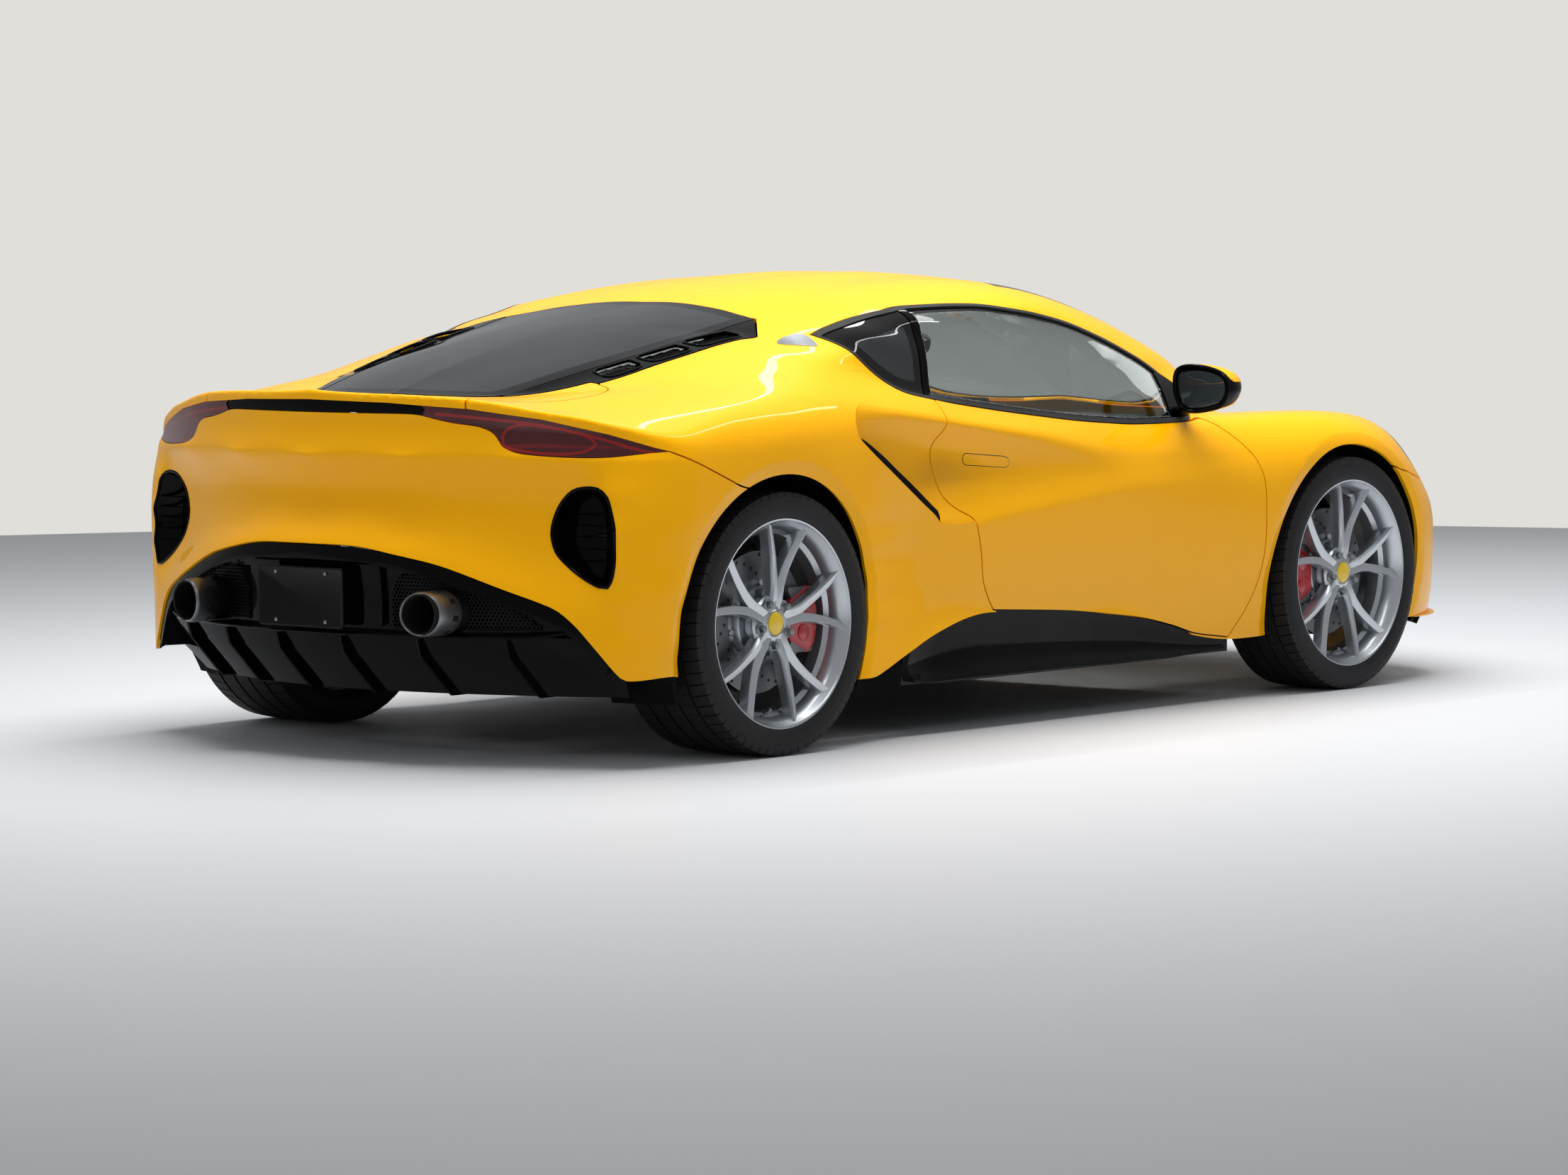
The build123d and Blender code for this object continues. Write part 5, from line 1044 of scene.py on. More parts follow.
def hex_ring(radius, bar, depth):
    """One cell of hexagonal mesh, a ring of square bar."""
    points, faces = [], []
    for i in range(6):
        a = pi / 3 * i
        for r, d in ((radius + bar, 0), (radius + bar, -depth), (radius - bar, -depth), (radius - bar, 0)):
            points.append((r * cos(a), r * sin(a), d))
        j = (i + 1) % 6
        for k in range(4):
            faces.append((4 * i + k, 4 * i + (k + 1) % 4, 4 * j + (k + 1) % 4, 4 * j + k))
    return np.array(points), [np.array(faces)[:, ::-1]]


def hex_spots(outline, pitch):
    """Centres of hexagons of this pitch inside an outline."""
    low, high = outline.min(0), outline.max(0)
    spots = []
    for row, v in enumerate(np.arange(low[1], high[1], pitch * 0.866)):
        us = np.arange(low[0] + (row % 2) * pitch / 2, high[0], pitch)
        spots.append(np.column_stack([us, np.full(len(us), v)]))
    spots = np.concatenate(spots)
    return spots[outside(outline, *spots.T) < -pitch * 0.3]


mesh_black, shader = new_material("coated_black_mesh", "#060607", 0.45, Specular_IOR_Level=0.25)
uneven_gloss(shader, grain(shader, 0.02), 0.3, 0.55)
LOUVRE = curve_through([(-918, 448), (-918, 448), (-1038, 558), (-1038, 558), (-1200, 534), (-1577, 474),
                        (-1577, 474), (-1577, 450), (-1577, 450), (-1640, 431), (-1740, 384), (-1790, 350),
                        (-1790, 350), (-1786, 326), (-1786, 326), (-1700, 353), (-1498, 389), (-1200, 419)])
louvre = cut_by(lid, within(LOUVRE, "xy", 0.002))
CELLS = [curve_through(corners, 10) for corners in (
    [(-1052, 458), (-1052, 458), (-1060, 520), (-1088, 532), (-1190, 517), (-1206, 500), (-1200, 440), (-1180, 434)],
    [(-1228, 436), (-1228, 436), (-1236, 496), (-1256, 508), (-1352, 492), (-1368, 476), (-1364, 422), (-1344, 416)],
    [(-1392, 418), (-1392, 418), (-1400, 470), (-1418, 482), (-1506, 468), (-1522, 454), (-1518, 406), (-1500, 402)])]
base = cut_by(louvre, *[clear_of(cell, "xy", 0) for cell in CELLS])
floor_of_cells = cut_by(louvre, lambda x, y, z: np.min([outside(cell, x, y) for cell in CELLS], axis=0) - 0.006)
mesh_spots = np.concatenate([hex_spots(cell, 0.0085) for cell in CELLS])
spots, normals = projected(mesh_spots, 2, 1.2, 0.4)
pair("louvre", base, 0.006, piano_black, "tailgate_body", "gloss_black", lift=0.001)
pair("louvre_tray", floor_of_cells, 0.003, duct_black, "tailgate_body", "gloss_black", lift=-0.022)
frames = []
for cell in CELLS:
    rim, facing = projected(cell[:-1], 2, 1.2, 0.4)
    frames.append(tube_along(rim + facing * 0.001, 0.0035, closed=True, up=facing))
fit_both("louvre_frames", joined(*frames), piano_black, 180, "tailgate_body", "gloss_black")
repeated_both("louvre_mesh", hex_ring(0.0047, 0.0005, 0.002), spots - normals * 0.008, normals, (1, 0, 0), mesh_black,
              "tailgate_body", "gloss_black")


# ------------------------------------------------------------------ air outlets in the rear corners
# Deep gloss black mouldings let into the bumper behind the wheels. Four thin blades cross the
# outer half of each, and a smooth cheek fills the inner half.
vent_edge = VENT[:-1]


def on_corner(round_at, height):
    """Spots on the rear corner's surface, and the way in from them towards the corner's axis."""
    turn = np.asarray(round_at) / CORNER_RADIUS
    into = np.column_stack([np.cos(turn), -np.sin(turn), 0 * turn])
    start = np.column_stack([np.full(len(turn), CORNER_X), np.full(len(turn), CORNER_Y), height]) - 0.6 * into
    spots, normals = reach(start, into, 0.6)
    return spots, into, normals


smooth_rim, into, facing = on_corner(vent_edge[:, 0], vent_edge[:, 1])
middle = smooth_rim.mean(0)
centre_in = into.mean(0) / np.linalg.norm(into.mean(0))
bezel = tube_along(smooth_rim - facing * 0.001, 0.0045, closed=True, up=facing)
n = len(smooth_rim)
rings = [smooth_rim, smooth_rim + into * 0.018, middle + (smooth_rim - middle) * 0.93 + into * 0.052,
         middle + (smooth_rim - middle) * 0.84 + centre_in * 0.072]
cup = np.concatenate(rings + [[middle + centre_in * 0.078]])
i = np.arange(n)
j = (i + 1) % n
walls = bands(n, 4)
bottom = np.column_stack([3 * n + i, 3 * n + j, np.full(n, 4 * n)])
behind = np.concatenate([rings[0], rings[1], rings[2] + into * 0.004, rings[3] + centre_in * 0.004,
                         [middle + centre_in * 0.082]])
cup_piece = turned_out((np.concatenate([cup, behind]), [walls, bottom,
                        *(block[:, ::-1] + 4 * n + 1 for block in (walls, bottom))]))
blades = []
for level in (0.642, 0.614, 0.586, 0.556, 0.526):
    ends, inward, _ = on_corner(np.array([0.222, 0.262, 0.300, 0.326]), np.full(4, level))
    blades.append(tube_along(ends + inward * np.array([[0.040], [0.026], [0.018], [0.014]]),
                             (0.004, 0.010, 0.011, 0.011), sides=8, flat=0.16))
fit_both("corner_vent", joined(cup_piece, bezel, *blades), piano_black, 40, "car", "gloss_black")


# ------------------------------------------------------------------ alloy wheels
# One-piece flow-formed aluminium, painted silver: ten spokes in five pairs that join before the
# hub, a dished face, a stepped barrel, five bolt pockets between the pairs and a plain centre cap.
def lathe(profile, steps, centre):
    """Turns a closed profile of (y outboard, radius) round a wheel's axle; returns a closed ring."""
    profile = np.asarray(profile, float)
    m = len(profile)
    angle = np.arange(steps) * 2 * pi / steps
    x = centre[0] + profile[None, :, 1] * np.cos(angle)[:, None]
    z = centre[1] + profile[None, :, 1] * np.sin(angle)[:, None]
    y = np.broadcast_to(profile[None, :, 0], x.shape)
    return turned_out((np.stack([x, y, z], -1).reshape(-1, 3), [bands(m, steps, True)]))


def disc(profile, steps, centre):
    """As lathe, for an open profile that starts and ends on the axle: a closed turned solid."""
    vertices, faces = lathe(profile, steps, centre)
    m = len(profile)
    keep = [quad for quad in faces[0] if not {quad[0] % m, quad[1] % m, quad[2] % m} == {0, m - 1}]
    return vertices, [np.array(keep)]


def round_axle(centre, radius, turn, y):
    """A point at this distance and angle from an axle, y out from the car's middle."""
    return centre[0] + radius * cos(turn), y, centre[1] + radius * sin(turn)


def stood_up(piece):
    """Turns a piece made round the y axis to stand along z, as repeated wants it."""
    return piece[0][:, [0, 2, 1]] * (1, -1, 1), piece[1]


def spoke(centre, face, root, tip, bend, mid_radius, widths, depth):
    """One spoke: a ridge-faced bar from the hub's web out to the lip."""
    t = np.linspace(0, 1, 12)
    radius = 0.040 + (RIM_LIP - 0.040 - 0.006) * t
    turn = root + (tip - root) * np.clip((radius - mid_radius) / (RIM_LIP - mid_radius), 0, 1) ** 0.9
    rise = np.interp(t, (0, 0.12, 0.45, 1), (-0.030, -0.026, -0.024, -0.008))
    points = []
    for r, a, w, y in zip(radius, turn, np.interp(t, (0, 0.3, 1), widths), rise):
        side = bend * w * 0.28
        section = [(-w / 2 * 0.86, -depth), (-w / 2, -0.012), (-w / 2 * 0.9, -0.007), (side - 0.0014, -0.0003),
                   (side + 0.0014, -0.0003), (w / 2 * 0.9, -0.007), (w / 2, -0.012), (w / 2 * 0.86, -depth)]
        for across, d in section:
            points.append((centre[0] + r * cos(a) - across * sin(a), face + y + d,
                           centre[1] + r * sin(a) + across * cos(a)))
    return lofted(np.array(points).reshape(12, 8, 3))


silver_paint, shader = new_material("silver_painted_aluminium", "#C0C4C8", 0.28, Metallic=0.85, Coat_Weight=0.6,
                                    Coat_Roughness=0.05)
two_tone(shader, grain(shader, FLAKE, 0.0, "Voronoi", "Color"), "#B3B8BD", "#CDD1D5")
cap_yellow, shader = new_material("yellow_enamelled_cap", "#E8C200", 0.2, Coat_Weight=0.8, Coat_Roughness=0.03)
uneven_gloss(shader, grain(shader, 0.01), 0.12, 0.24)
bolt_steel, shader = new_material("zinc_plated_steel", "#8D9094", 0.32, Metallic=1.0)
uneven_gloss(shader, grain(shader, 0.006), 0.2, 0.45)
# axle x, axle height (the tyre's radius), inner edge and outer face of the rim
WHEELS = {"front": (FRONT_AXLE, 0.340, 0.677, 0.914), "rear": (REAR_AXLE, 0.3425, 0.638, 0.925)}
RIM_LIP = 0.2715
TURN = radians(-7)           # how the pairs stand when the car is at rest

for end, (axle_x, axle_z, inner, face) in WHEELS.items():
    centre = (axle_x, axle_z)
    inboard = inner + 0.024
    barrel = lathe([(face, RIM_LIP), (face - 0.001, RIM_LIP - 0.004), (face - 0.006, RIM_LIP - 0.0065),
                    (face - 0.016, 0.2545), (face - 0.030, 0.247), (face - 0.052, 0.243), (face - 0.062, 0.232),
                    (face - 0.095, 0.229), (face - 0.105, 0.238), (inboard + 0.03, 0.243), (inboard + 0.004, 0.262),
                    (inboard, 0.268), (inboard + 0.002, 0.2715), (inboard + 0.012, 0.2715), (inboard + 0.018, 0.258),
                    (inboard + 0.045, 0.2525), (face - 0.11, 0.2455), (face - 0.10, 0.2365), (face - 0.060, 0.2385),
                    (face - 0.050, 0.2505), (face - 0.022, 0.2545), (face - 0.014, 0.2625), (face - 0.010, 0.2715)],
                   160, centre)
    parts_of_wheel = [barrel]
    for pair_number in range(5):
        middle_turn = TURN + radians(90 + 72 * pair_number)
        for way in (-1, 1):
            parts_of_wheel.append(spoke(centre, face, middle_turn + way * radians(5),
                                        middle_turn + way * radians(16.6), way, 0.092, (0.044, 0.029, 0.021), 0.038))
    hub = [(face - 0.075, 0.0), (face - 0.075, 0.068), (face - 0.060, 0.074), (face - 0.044, 0.075),
           (face - 0.036, 0.070), (face - 0.033, 0.050), (face - 0.030, 0.036), (face - 0.027, 0.033),
           (face - 0.030, 0.0305), (face - 0.031, 0.0)]
    parts_of_wheel.append(disc(hub, 80, centre))
    rim = joined(*parts_of_wheel)
    cap = disc([(face - 0.034, 0.0), (face - 0.034, 0.0295), (face - 0.0275, 0.0295), (face - 0.0258, 0.028),
                (face - 0.0250, 0.024), (face - 0.0246, 0.0)], 56, centre)
    bolt_head = disc([(0.0, 0.0), (0.0, 0.0135), (0.003, 0.0135), (0.006, 0.0105), (0.018, 0.0100), (0.020, 0.0085),
                      (0.0205, 0.0)], 6, (0, 0))
    washer = disc([(-0.001, 0.0), (-0.001, 0.0165), (0.0015, 0.0165), (0.003, 0.0150), (0.003, 0.0)], 24, (0, 0))
    bolt_turns = TURN + radians(90 + 36) + np.arange(5) * 2 * pi / 5
    bolt_spots = np.column_stack([axle_x + 0.057 * np.cos(bolt_turns), np.full(5, face - 0.035),
                                  axle_z + 0.057 * np.sin(bolt_turns)])
    valve_turn = TURN + radians(90 + 180)
    valve_base = np.array([axle_x + 0.240 * cos(valve_turn), face - 0.050, axle_z + 0.240 * sin(valve_turn)])
    valve_lean = np.array([-0.55 * cos(valve_turn), 0.83, -0.55 * sin(valve_turn)])
    valve = tube_along(valve_base + np.outer((0, 0.004, 0.005, 0.020, 0.021, 0.032, 0.034), valve_lean),
                       (0.0065, 0.0065, 0.0042, 0.0042, 0.0048, 0.0048, 0.0030))
    wheel = end + "_wheel_{}"
    fit_both(end + "_alloy", rim, silver_paint, 30, wheel, "wheel_alloy", end + "_rim_{}")
    fit_both(end + "_cap", cap, cap_yellow, 40, wheel, "wheel_alloy")
    fit_both(end + "_valve", valve, bolt_steel, 40, wheel, "wheel_alloy")
    repeated_both(end + "_bolts", stood_up(joined(bolt_head, washer)), bolt_spots, (0, 1, 0), (1, 0, 0), bolt_steel,
                  wheel, "wheel_alloy")


# ------------------------------------------------------------------ tyres
# Low-profile road tyres: smooth sidewalls with a rim protector, and a moulded tread of five ribs
# with shoulder blocks, cut by four grooves 7 mm deep.
rubber, shader = new_material("vulcanised_tyre_rubber", "#141416", 0.62, Specular_IOR_Level=0.35)
two_tone(shader, grain(shader, 0.035, 4.0), "#101012", "#1B1B1D")
relief(shader, grain(shader, 0.0011, 1.0), 0.18, 0.0004)
TREAD = 0.007                # depth of the grooves
PITCHES = 66                 # blocks round the tyre
BOX_FACES = [np.array([(3, 2, 1, 0), (4, 5, 6, 7), (0, 1, 5, 4), (1, 2, 6, 5), (2, 3, 7, 6), (3, 0, 4, 7)])]


def box(half_x, half_y, low, high):
    """A box round the z axis, from one height to the other."""
    corners = ((-half_x, -half_y), (half_x, -half_y), (half_x, half_y), (-half_x, half_y))
    return np.array([(x, y, z) for z in (low, high) for x, y in corners]), BOX_FACES


for end, (axle_x, axle_z, inner, face) in WHEELS.items():
    outer = face + 0.008
    width = outer - inner
    middle_y = (inner + outer) / 2
    half = width / 2
    wall = [(half - 0.022, 0.258), (half - 0.0190, 0.266), (half - 0.0125, 0.2700), (half - 0.0082, 0.2728),
            (half - 0.0050, 0.2785), (half - 0.0035, 0.2835), (half - 0.0005, 0.297), (half - 0.0020, 0.3065),
            (half - 0.0015, 0.3085), (half - 0.0045, 0.3215), (half - 0.0110, 0.3310),
            (half - 0.0200, axle_z - TREAD - 0.0010)]
    crown = [(y, axle_z - TREAD - 0.0008 * (y / half) ** 2) for y in np.linspace(half - 0.03, -half + 0.03, 9)]
    profile = [(middle_y + y, r) for y, r in wall + crown + [(-y, r) for y, r in wall[::-1]]]
    profile += [(middle_y - half + 0.026, 0.2535), (middle_y + half - 0.026, 0.2535)]
    carcass = lathe(profile, 180, (axle_x, axle_z))
    step = 2 * pi * axle_z / PITCHES
    edges = np.array([-1, -0.62, -0.56, -0.22, -0.165, 0.165, 0.22, 0.56, 0.62, 1]) * (half - 0.012)
    blocks = []
    for k in range(5):
        y0, y1 = edges[2 * k], edges[2 * k + 1]
        shoulder = k in (0, 4)
        gap = 0.0035 if shoulder else (0.0012 if k in (1, 3) else -0.0006)
        skew = 0.006 * (1 if k < 2 else -1 if k > 2 else 0)
        lengths = [(-step / 2 + gap / 2, step / 2 - gap / 2)]
        if k == 1:
            lengths = [(lengths[0][0], -0.0008), (0.0008, lengths[0][1])]
        for x0, x1 in lengths:
            fall = [0.0035 * max(0, (abs(y) / (half - 0.012)) ** 6) for y in (y0, y1)]
            corner = [(x0, y0), (x1, y0), (x1 + skew, y1), (x0 + skew, y1)]
            low = [(x, y, -TREAD - 0.002) for x, y in corner]
            high = [(x, y, -fall[0 if i < 2 else 1]) for i, (x, y) in enumerate(corner)]
            if shoulder:         # its outer corners run down on to the sidewall
                outer_corners, out = ((0, 1), -0.007) if k == 0 else ((2, 3), 0.007)
                low = [(x, y + out, z - 0.013) if i in outer_corners else (x, y, z)
                       for i, (x, y, z) in enumerate(low)]
            blocks.append(turned_out((np.array(low + high), BOX_FACES)))
    tread_unit = joined(*blocks)
    turns = np.arange(PITCHES) * 2 * pi / PITCHES
    facing = np.column_stack([np.cos(turns), 0 * turns, np.sin(turns)])
    along = np.column_stack([-np.sin(turns), 0 * turns, np.cos(turns)])
    spots = np.array((axle_x, middle_y, axle_z)) + facing * axle_z
    fit_both(end + "_tyre_carcass", carcass, rubber, 38, end + "_wheel_{}", "tyre", end + "_tyre_{}")
    repeated_both(end + "_tread", tread_unit, spots, facing, along, rubber, end + "_wheel_{}", "tyre")


# ------------------------------------------------------------------ brakes
# Cast iron discs, cross-drilled and ground bright where the pads run, each on a bare aluminium bell
# held by bobbins, with a red lacquered four-piston calliper bolted to the upright.
ground_iron, shader = new_material("ground_cast_iron", "#77797B", 0.38, Metallic=1.0, Anisotropic=0.5)
uneven_gloss(shader, grain(shader, 0.004), 0.28, 0.5)
bell_metal, shader = new_material("bare_machined_aluminium", "#B9BCC0", 0.3, Metallic=1.0)
uneven_gloss(shader, grain(shader, 0.003, 3.0), 0.22, 0.42)
calliper_red, shader = new_material("red_lacquered_calliper", "#B3101A", 0.3, Coat_Weight=0.7, Coat_Roughness=0.08)
relief(shader, grain(shader, 0.002), 0.2, 0.0006)
# the cross-drillings are shallow discs coloured near black: painted shade standing in for the depth of each hole, in
# a tone that varies at random
painted_hole_shade, shader = new_material("shadowed_drillings", "#1B1B1C", 0.8)
two_tone(shader, grain(shader, 0.002), "#151414", "#2A211C")
# disc faces, bell face, direction of the calliper from the axle
BRAKES = {"front": (0.788, 0.820, 0.838, 180), "rear": (0.799, 0.831, 0.849, 0)}
for end, (near, far, bell, heading) in BRAKES.items():
    centre = axle_x, axle_z = WHEELS[end][:2]
    plates = [lathe([(y0, 0.185), (y0, 0.112), (y1, 0.112), (y1, 0.185)], 120, centre)
              for y0, y1 in ((near, near + 0.012), (far - 0.012, far))]
    vane = box(0.032, 0.0022, 0, far - near - 0.022)
    turns = np.arange(40) * 2 * pi / 40
    outward = np.column_stack([np.cos(turns), 0 * turns, np.sin(turns)])
    vane_spots = np.array((axle_x, near + 0.011, axle_z)) + outward * 0.149
    holes = [(0.127 + 0.0165 * (k % 4) - 0.001 * (k % 2), 2 * pi * k / 48 + 0.02 * (k % 4)) for k in range(48)]
    hole_spots = np.array([round_axle(centre, r, a, far + 0.0002) for r, a in holes])
    hole = disc([(-0.0008, 0.0), (-0.0008, 0.0042), (0.0000, 0.0050), (0.0002, 0.0042), (-0.0002, 0.0)], 12, (0, 0))
    hat = disc([(near + 0.004, 0.0), (near + 0.004, 0.104), (far - 0.006, 0.112), (far - 0.001, 0.112),
                (far - 0.001, 0.098), (bell - 0.004, 0.094), (bell, 0.090), (bell, 0.060), (bell - 0.003, 0.056),
                (bell - 0.003, 0.0)], 90, centre)
    bobbins = [tube_along([round_axle(centre, 0.1045, a, y) for y in (far - 0.002, far + 0.004, far + 0.0055)],
                          (0.008, 0.008, 0.006), sides=12) for a in np.arange(10) * 2 * pi / 10 + 0.2]
    aim = radians(heading)
    outline = [(-27, 0.120), (-24, 0.112), (24, 0.112), (27, 0.120), (27, 0.196), (21, 0.2085), (8, 0.211),
               (-8, 0.211), (-21, 0.2085), (-27, 0.196)]
    layers = [(far + 0.004, 0.90), (far + 0.016, 1.0), (far + 0.024, 0.97), (far + 0.029, 0.85)]
    inner_layers = [(near - 0.024, 0.9), (near - 0.018, 1.0), (near - 0.004, 0.97)]

    def calliper_half(levels):
        return lofted(np.array([[round_axle(centre, 0.163 + (r - 0.163) * (0.6 + 0.4 * share),
                                            aim + radians(degrees * share), y) for degrees, r in outline]
                                for y, share in levels]))

    bridges = [tube_along([round_axle(centre, 0.2005, aim + a, y) for y in (near - 0.012, far + 0.014)], 0.0095)
               for a in (radians(-22), 0, radians(22))]
    pistons = [tube_along([round_axle(centre, 0.158, aim + a, y) for y in (far + 0.018, far + 0.0315, far + 0.0335)],
                          (0.023, 0.022, 0.018), sides=24) for a in (radians(-12.5), radians(12.5))]
    calliper = joined(calliper_half(layers), calliper_half(inner_layers), *bridges, *pistons)
    wheel, axle_line = end + "_wheel_{}", (0, 1, 0)
    fit_both(end + "_disc_plates", joined(*plates), ground_iron, 32, wheel, "brake_iron", end + "_brake_disc_{}")
    fit_both(end + "_disc_bell", joined(hat, *bobbins), bell_metal, 32, wheel, "brake_iron")
    repeated_both(end + "_disc_vanes", vane, vane_spots, axle_line, outward, ground_iron, wheel, "brake_iron")
    repeated_both(end + "_disc_holes", stood_up(hole), hole_spots, axle_line, (1, 0, 0), painted_hole_shade, wheel,
                  "brake_iron")
    carrier = "steer_{}_body" if end == "front" else "car"
    fit_both(end + "_calliper", calliper, calliper_red, 30, carrier, "brake_iron")


# ------------------------------------------------------------------ door mirrors
# A gloss black shell with a painted cap over its front and top, a heated convex glass set in a
# bevelled rim, and a foot bolted to the sail panel of the door.
MIRROR_RIM = curve_through([(846, 930), (858, 953), (890, 962), (950, 960), (1004, 944), (1030, 918), (1032, 884),
                            (1010, 852), (962, 838), (905, 833), (868, 846), (848, 886)], 8)
RIM_MIDDLE = np.array((0.940, 0.900))
steps = [(0.430, 1.00, 0.0), (0.438, 1.025, 0.0), (0.462, 1.03, 0.001), (0.492, 0.97, 0.002), (0.516, 0.84, 0.004),
         (0.532, 0.66, 0.006), (0.5395, 0.42, 0.008), (0.5410, 0.15, 0.009)]
ring = MIRROR_RIM[:-1]
m = len(ring)
levels = []
for x, share, rise in steps:
    spread = RIM_MIDDLE + (ring - RIM_MIDDLE) * share + (0, rise)
    levels.append(np.column_stack([np.full(m, x), np.minimum(spread[:, 0], 1.0445), spread[:, 1]]))
k = np.arange(m)
shell = np.concatenate(levels)
quads = bands(m, len(steps))
triangles = np.concatenate([quads[:, [0, 1, 2]], quads[:, [0, 2, 3]],
                            np.column_stack([(len(steps) - 1) * m + k, (len(steps) - 1) * m + (k + 1) % m,
                                             np.full(m, len(shell))])])
shell = np.concatenate([shell, [(0.5412, RIM_MIDDLE[0], RIM_MIDDLE[1] + 0.009)]])
corner = shell[triangles]
across = np.cross(corner[:, 1] - corner[:, 0], corner[:, 2] - corner[:, 0])
if (across * (corner.mean(1) - (0.47, 0.94, 0.90))).sum() < 0:
    triangles, across = triangles[:, ::-1], -across
facing = np.zeros_like(shell)
for c in range(3):
    np.add.at(facing, triangles[:, c], across)
facing /= np.linalg.norm(facing, axis=1)[:, None]
housing = (shell, facing, triangles)


def off_cap(x, y, z):
    """How far a spot is under the painted cap's lower edge, or behind its rear edge at x = 0.447."""
    return np.maximum(0.900 + 0.020 * (y - 0.94) / 0.1 - z, 0.447 - x)


cap_mesh = cut_by(housing, off_cap)
base_mesh = cut_by(housing, lambda x, y, z: 0.0012 - off_cap(x, y, z))
mirror_glass, shader = new_material("silvered_convex_glass", "#C6D2D6", 0.01, Metallic=1.0)
uneven_gloss(shader, grain(shader, 0.03), 0.0, 0.03)
GLASS_RIM = curve_through([(856, 926), (868, 944), (910, 950), (965, 946), (1008, 930), (1020, 906), (1014, 876),
                           (986, 854), (935, 845), (892, 846), (868, 862), (858, 892)], 8)[:-1]
pane_points = [np.column_stack([np.full(len(GLASS_RIM), 0.4385), GLASS_RIM])]
for share, out in ((0.7, 0.0012), (0.35, 0.002)):
    pane_points.append(np.column_stack([np.full(len(GLASS_RIM), 0.4385 - out),
                                        RIM_MIDDLE + (GLASS_RIM - RIM_MIDDLE) * share]))
g = len(GLASS_RIM)
k = np.arange(g)
pane_faces = [bands(g, 3)]
pane_faces.append(np.column_stack([2 * g + k, 2 * g + (k + 1) % g, np.full(g, 3 * g)]))
back_ring = pane_points[0] + (0.004, 0, 0)
pane_faces.append(np.column_stack([3 * g + 1 + k, 3 * g + 1 + (k + 1) % g, (k + 1) % g, k]))
pane_faces.append(np.column_stack([3 * g + 1 + (k + 1) % g, 3 * g + 1 + k, np.full(g, 4 * g + 1)]))
pane_piece = turned_out((np.concatenate([*pane_points, [(0.4362, *RIM_MIDDLE)], back_ring, [(0.4425, *RIM_MIDDLE)]]),
                         pane_faces))
inner_rim = np.column_stack([np.full(g, 0.4375), RIM_MIDDLE + (GLASS_RIM - RIM_MIDDLE) * 1.02])
bezel = joined(tube_along(np.column_stack([np.full(m, 0.4335), RIM_MIDDLE + (ring - RIM_MIDDLE) * 0.985]), 0.0055,
                          closed=True, up=(-1.0, 0, 0)), tube_along(inner_rim, 0.003, closed=True, up=(-1.0, 0, 0)))
recess = [np.column_stack([np.full(m, 0.4345), RIM_MIDDLE + (ring - RIM_MIDDLE) * 0.985]),
          np.column_stack([np.full(m, 0.450), RIM_MIDDLE + (ring - RIM_MIDDLE) * 0.94])]
k = np.arange(m)
recess_faces = [np.column_stack([k, (k + 1) % m, m + (k + 1) % m, m + k]),
                np.column_stack([m + k, m + (k + 1) % m, np.full(m, 2 * m)]),
                np.column_stack([2 * m + 1 + (k + 1) % m, 2 * m + 1 + k, np.full(m, 3 * m + 1)]),
                np.column_stack([(k + 1) % m, k, 2 * m + 1 + k, 2 * m + 1 + (k + 1) % m])]
recess_piece = turned_out((np.concatenate([*recess, [(0.450, *RIM_MIDDLE)], recess[0] + (0.022, 0, 0),
                                           [(0.458, *RIM_MIDDLE)]]), recess_faces))
foot = tube_along([(0.500, 0.770, 0.822), (0.500, 0.800, 0.826), (0.497, 0.830, 0.833), (0.490, 0.862, 0.846),
                   (0.484, 0.890, 0.862)], (0.030, 0.034, 0.030, 0.027, 0.026), sides=20, flat=0.55,
                  up=(0.0, -0.3, 1.0))
pair("mirror_cap", cap_mesh, 0.002, paint, "door_{}_body", "body_paint", lift=0.0008)
pair("mirror_shell", base_mesh, 0.002, piano_black, "door_{}_body", "gloss_black", "mirror_{}")
fit_both("mirror_bezel", joined(bezel, recess_piece, foot), piano_black, 50, "door_{}_body", "gloss_black")
fit_both("mirror_glass", pane_piece, mirror_glass, 40, "door_{}_body", "glass")


# ------------------------------------------------------------------ diffuser, number plate and exhaust finishers
# A gloss black moulding fills the arch under the tail: a deep rim, a pad for the plate, a pocket of
# hexagonal mesh round each tailpipe, a thin full-width blade, and a tucked-in panel with strakes.
BLADE_Z = 0.330


def moulding(edges):
    """A closed bar from its long edges, each a line of as many points, with its ends filled."""
    n, count = len(edges[0]), len(edges)
    k, end = np.arange(n - 1), np.arange(count)[None, :] * n
    quads = [np.column_stack([i * n + k, i * n + k + 1, (i + 1) % count * n + k + 1, (i + 1) % count * n + k])
             for i in range(count)]
    return turned_out((np.concatenate(edges), [*quads, end[:, ::-1], end + n - 1]))


def tucked(mesh):
    """The lower part leans forward towards the ground."""
    vertices, normals, faces = mesh
    vertices = vertices.copy()
    drop = BLADE_Z - vertices[:, 2]
    vertices[:, 0] += np.clip(drop, 0, 1) * 0.55 + np.clip(drop - 0.05, 0, 1) * 0.5
    return vertices, normals, faces


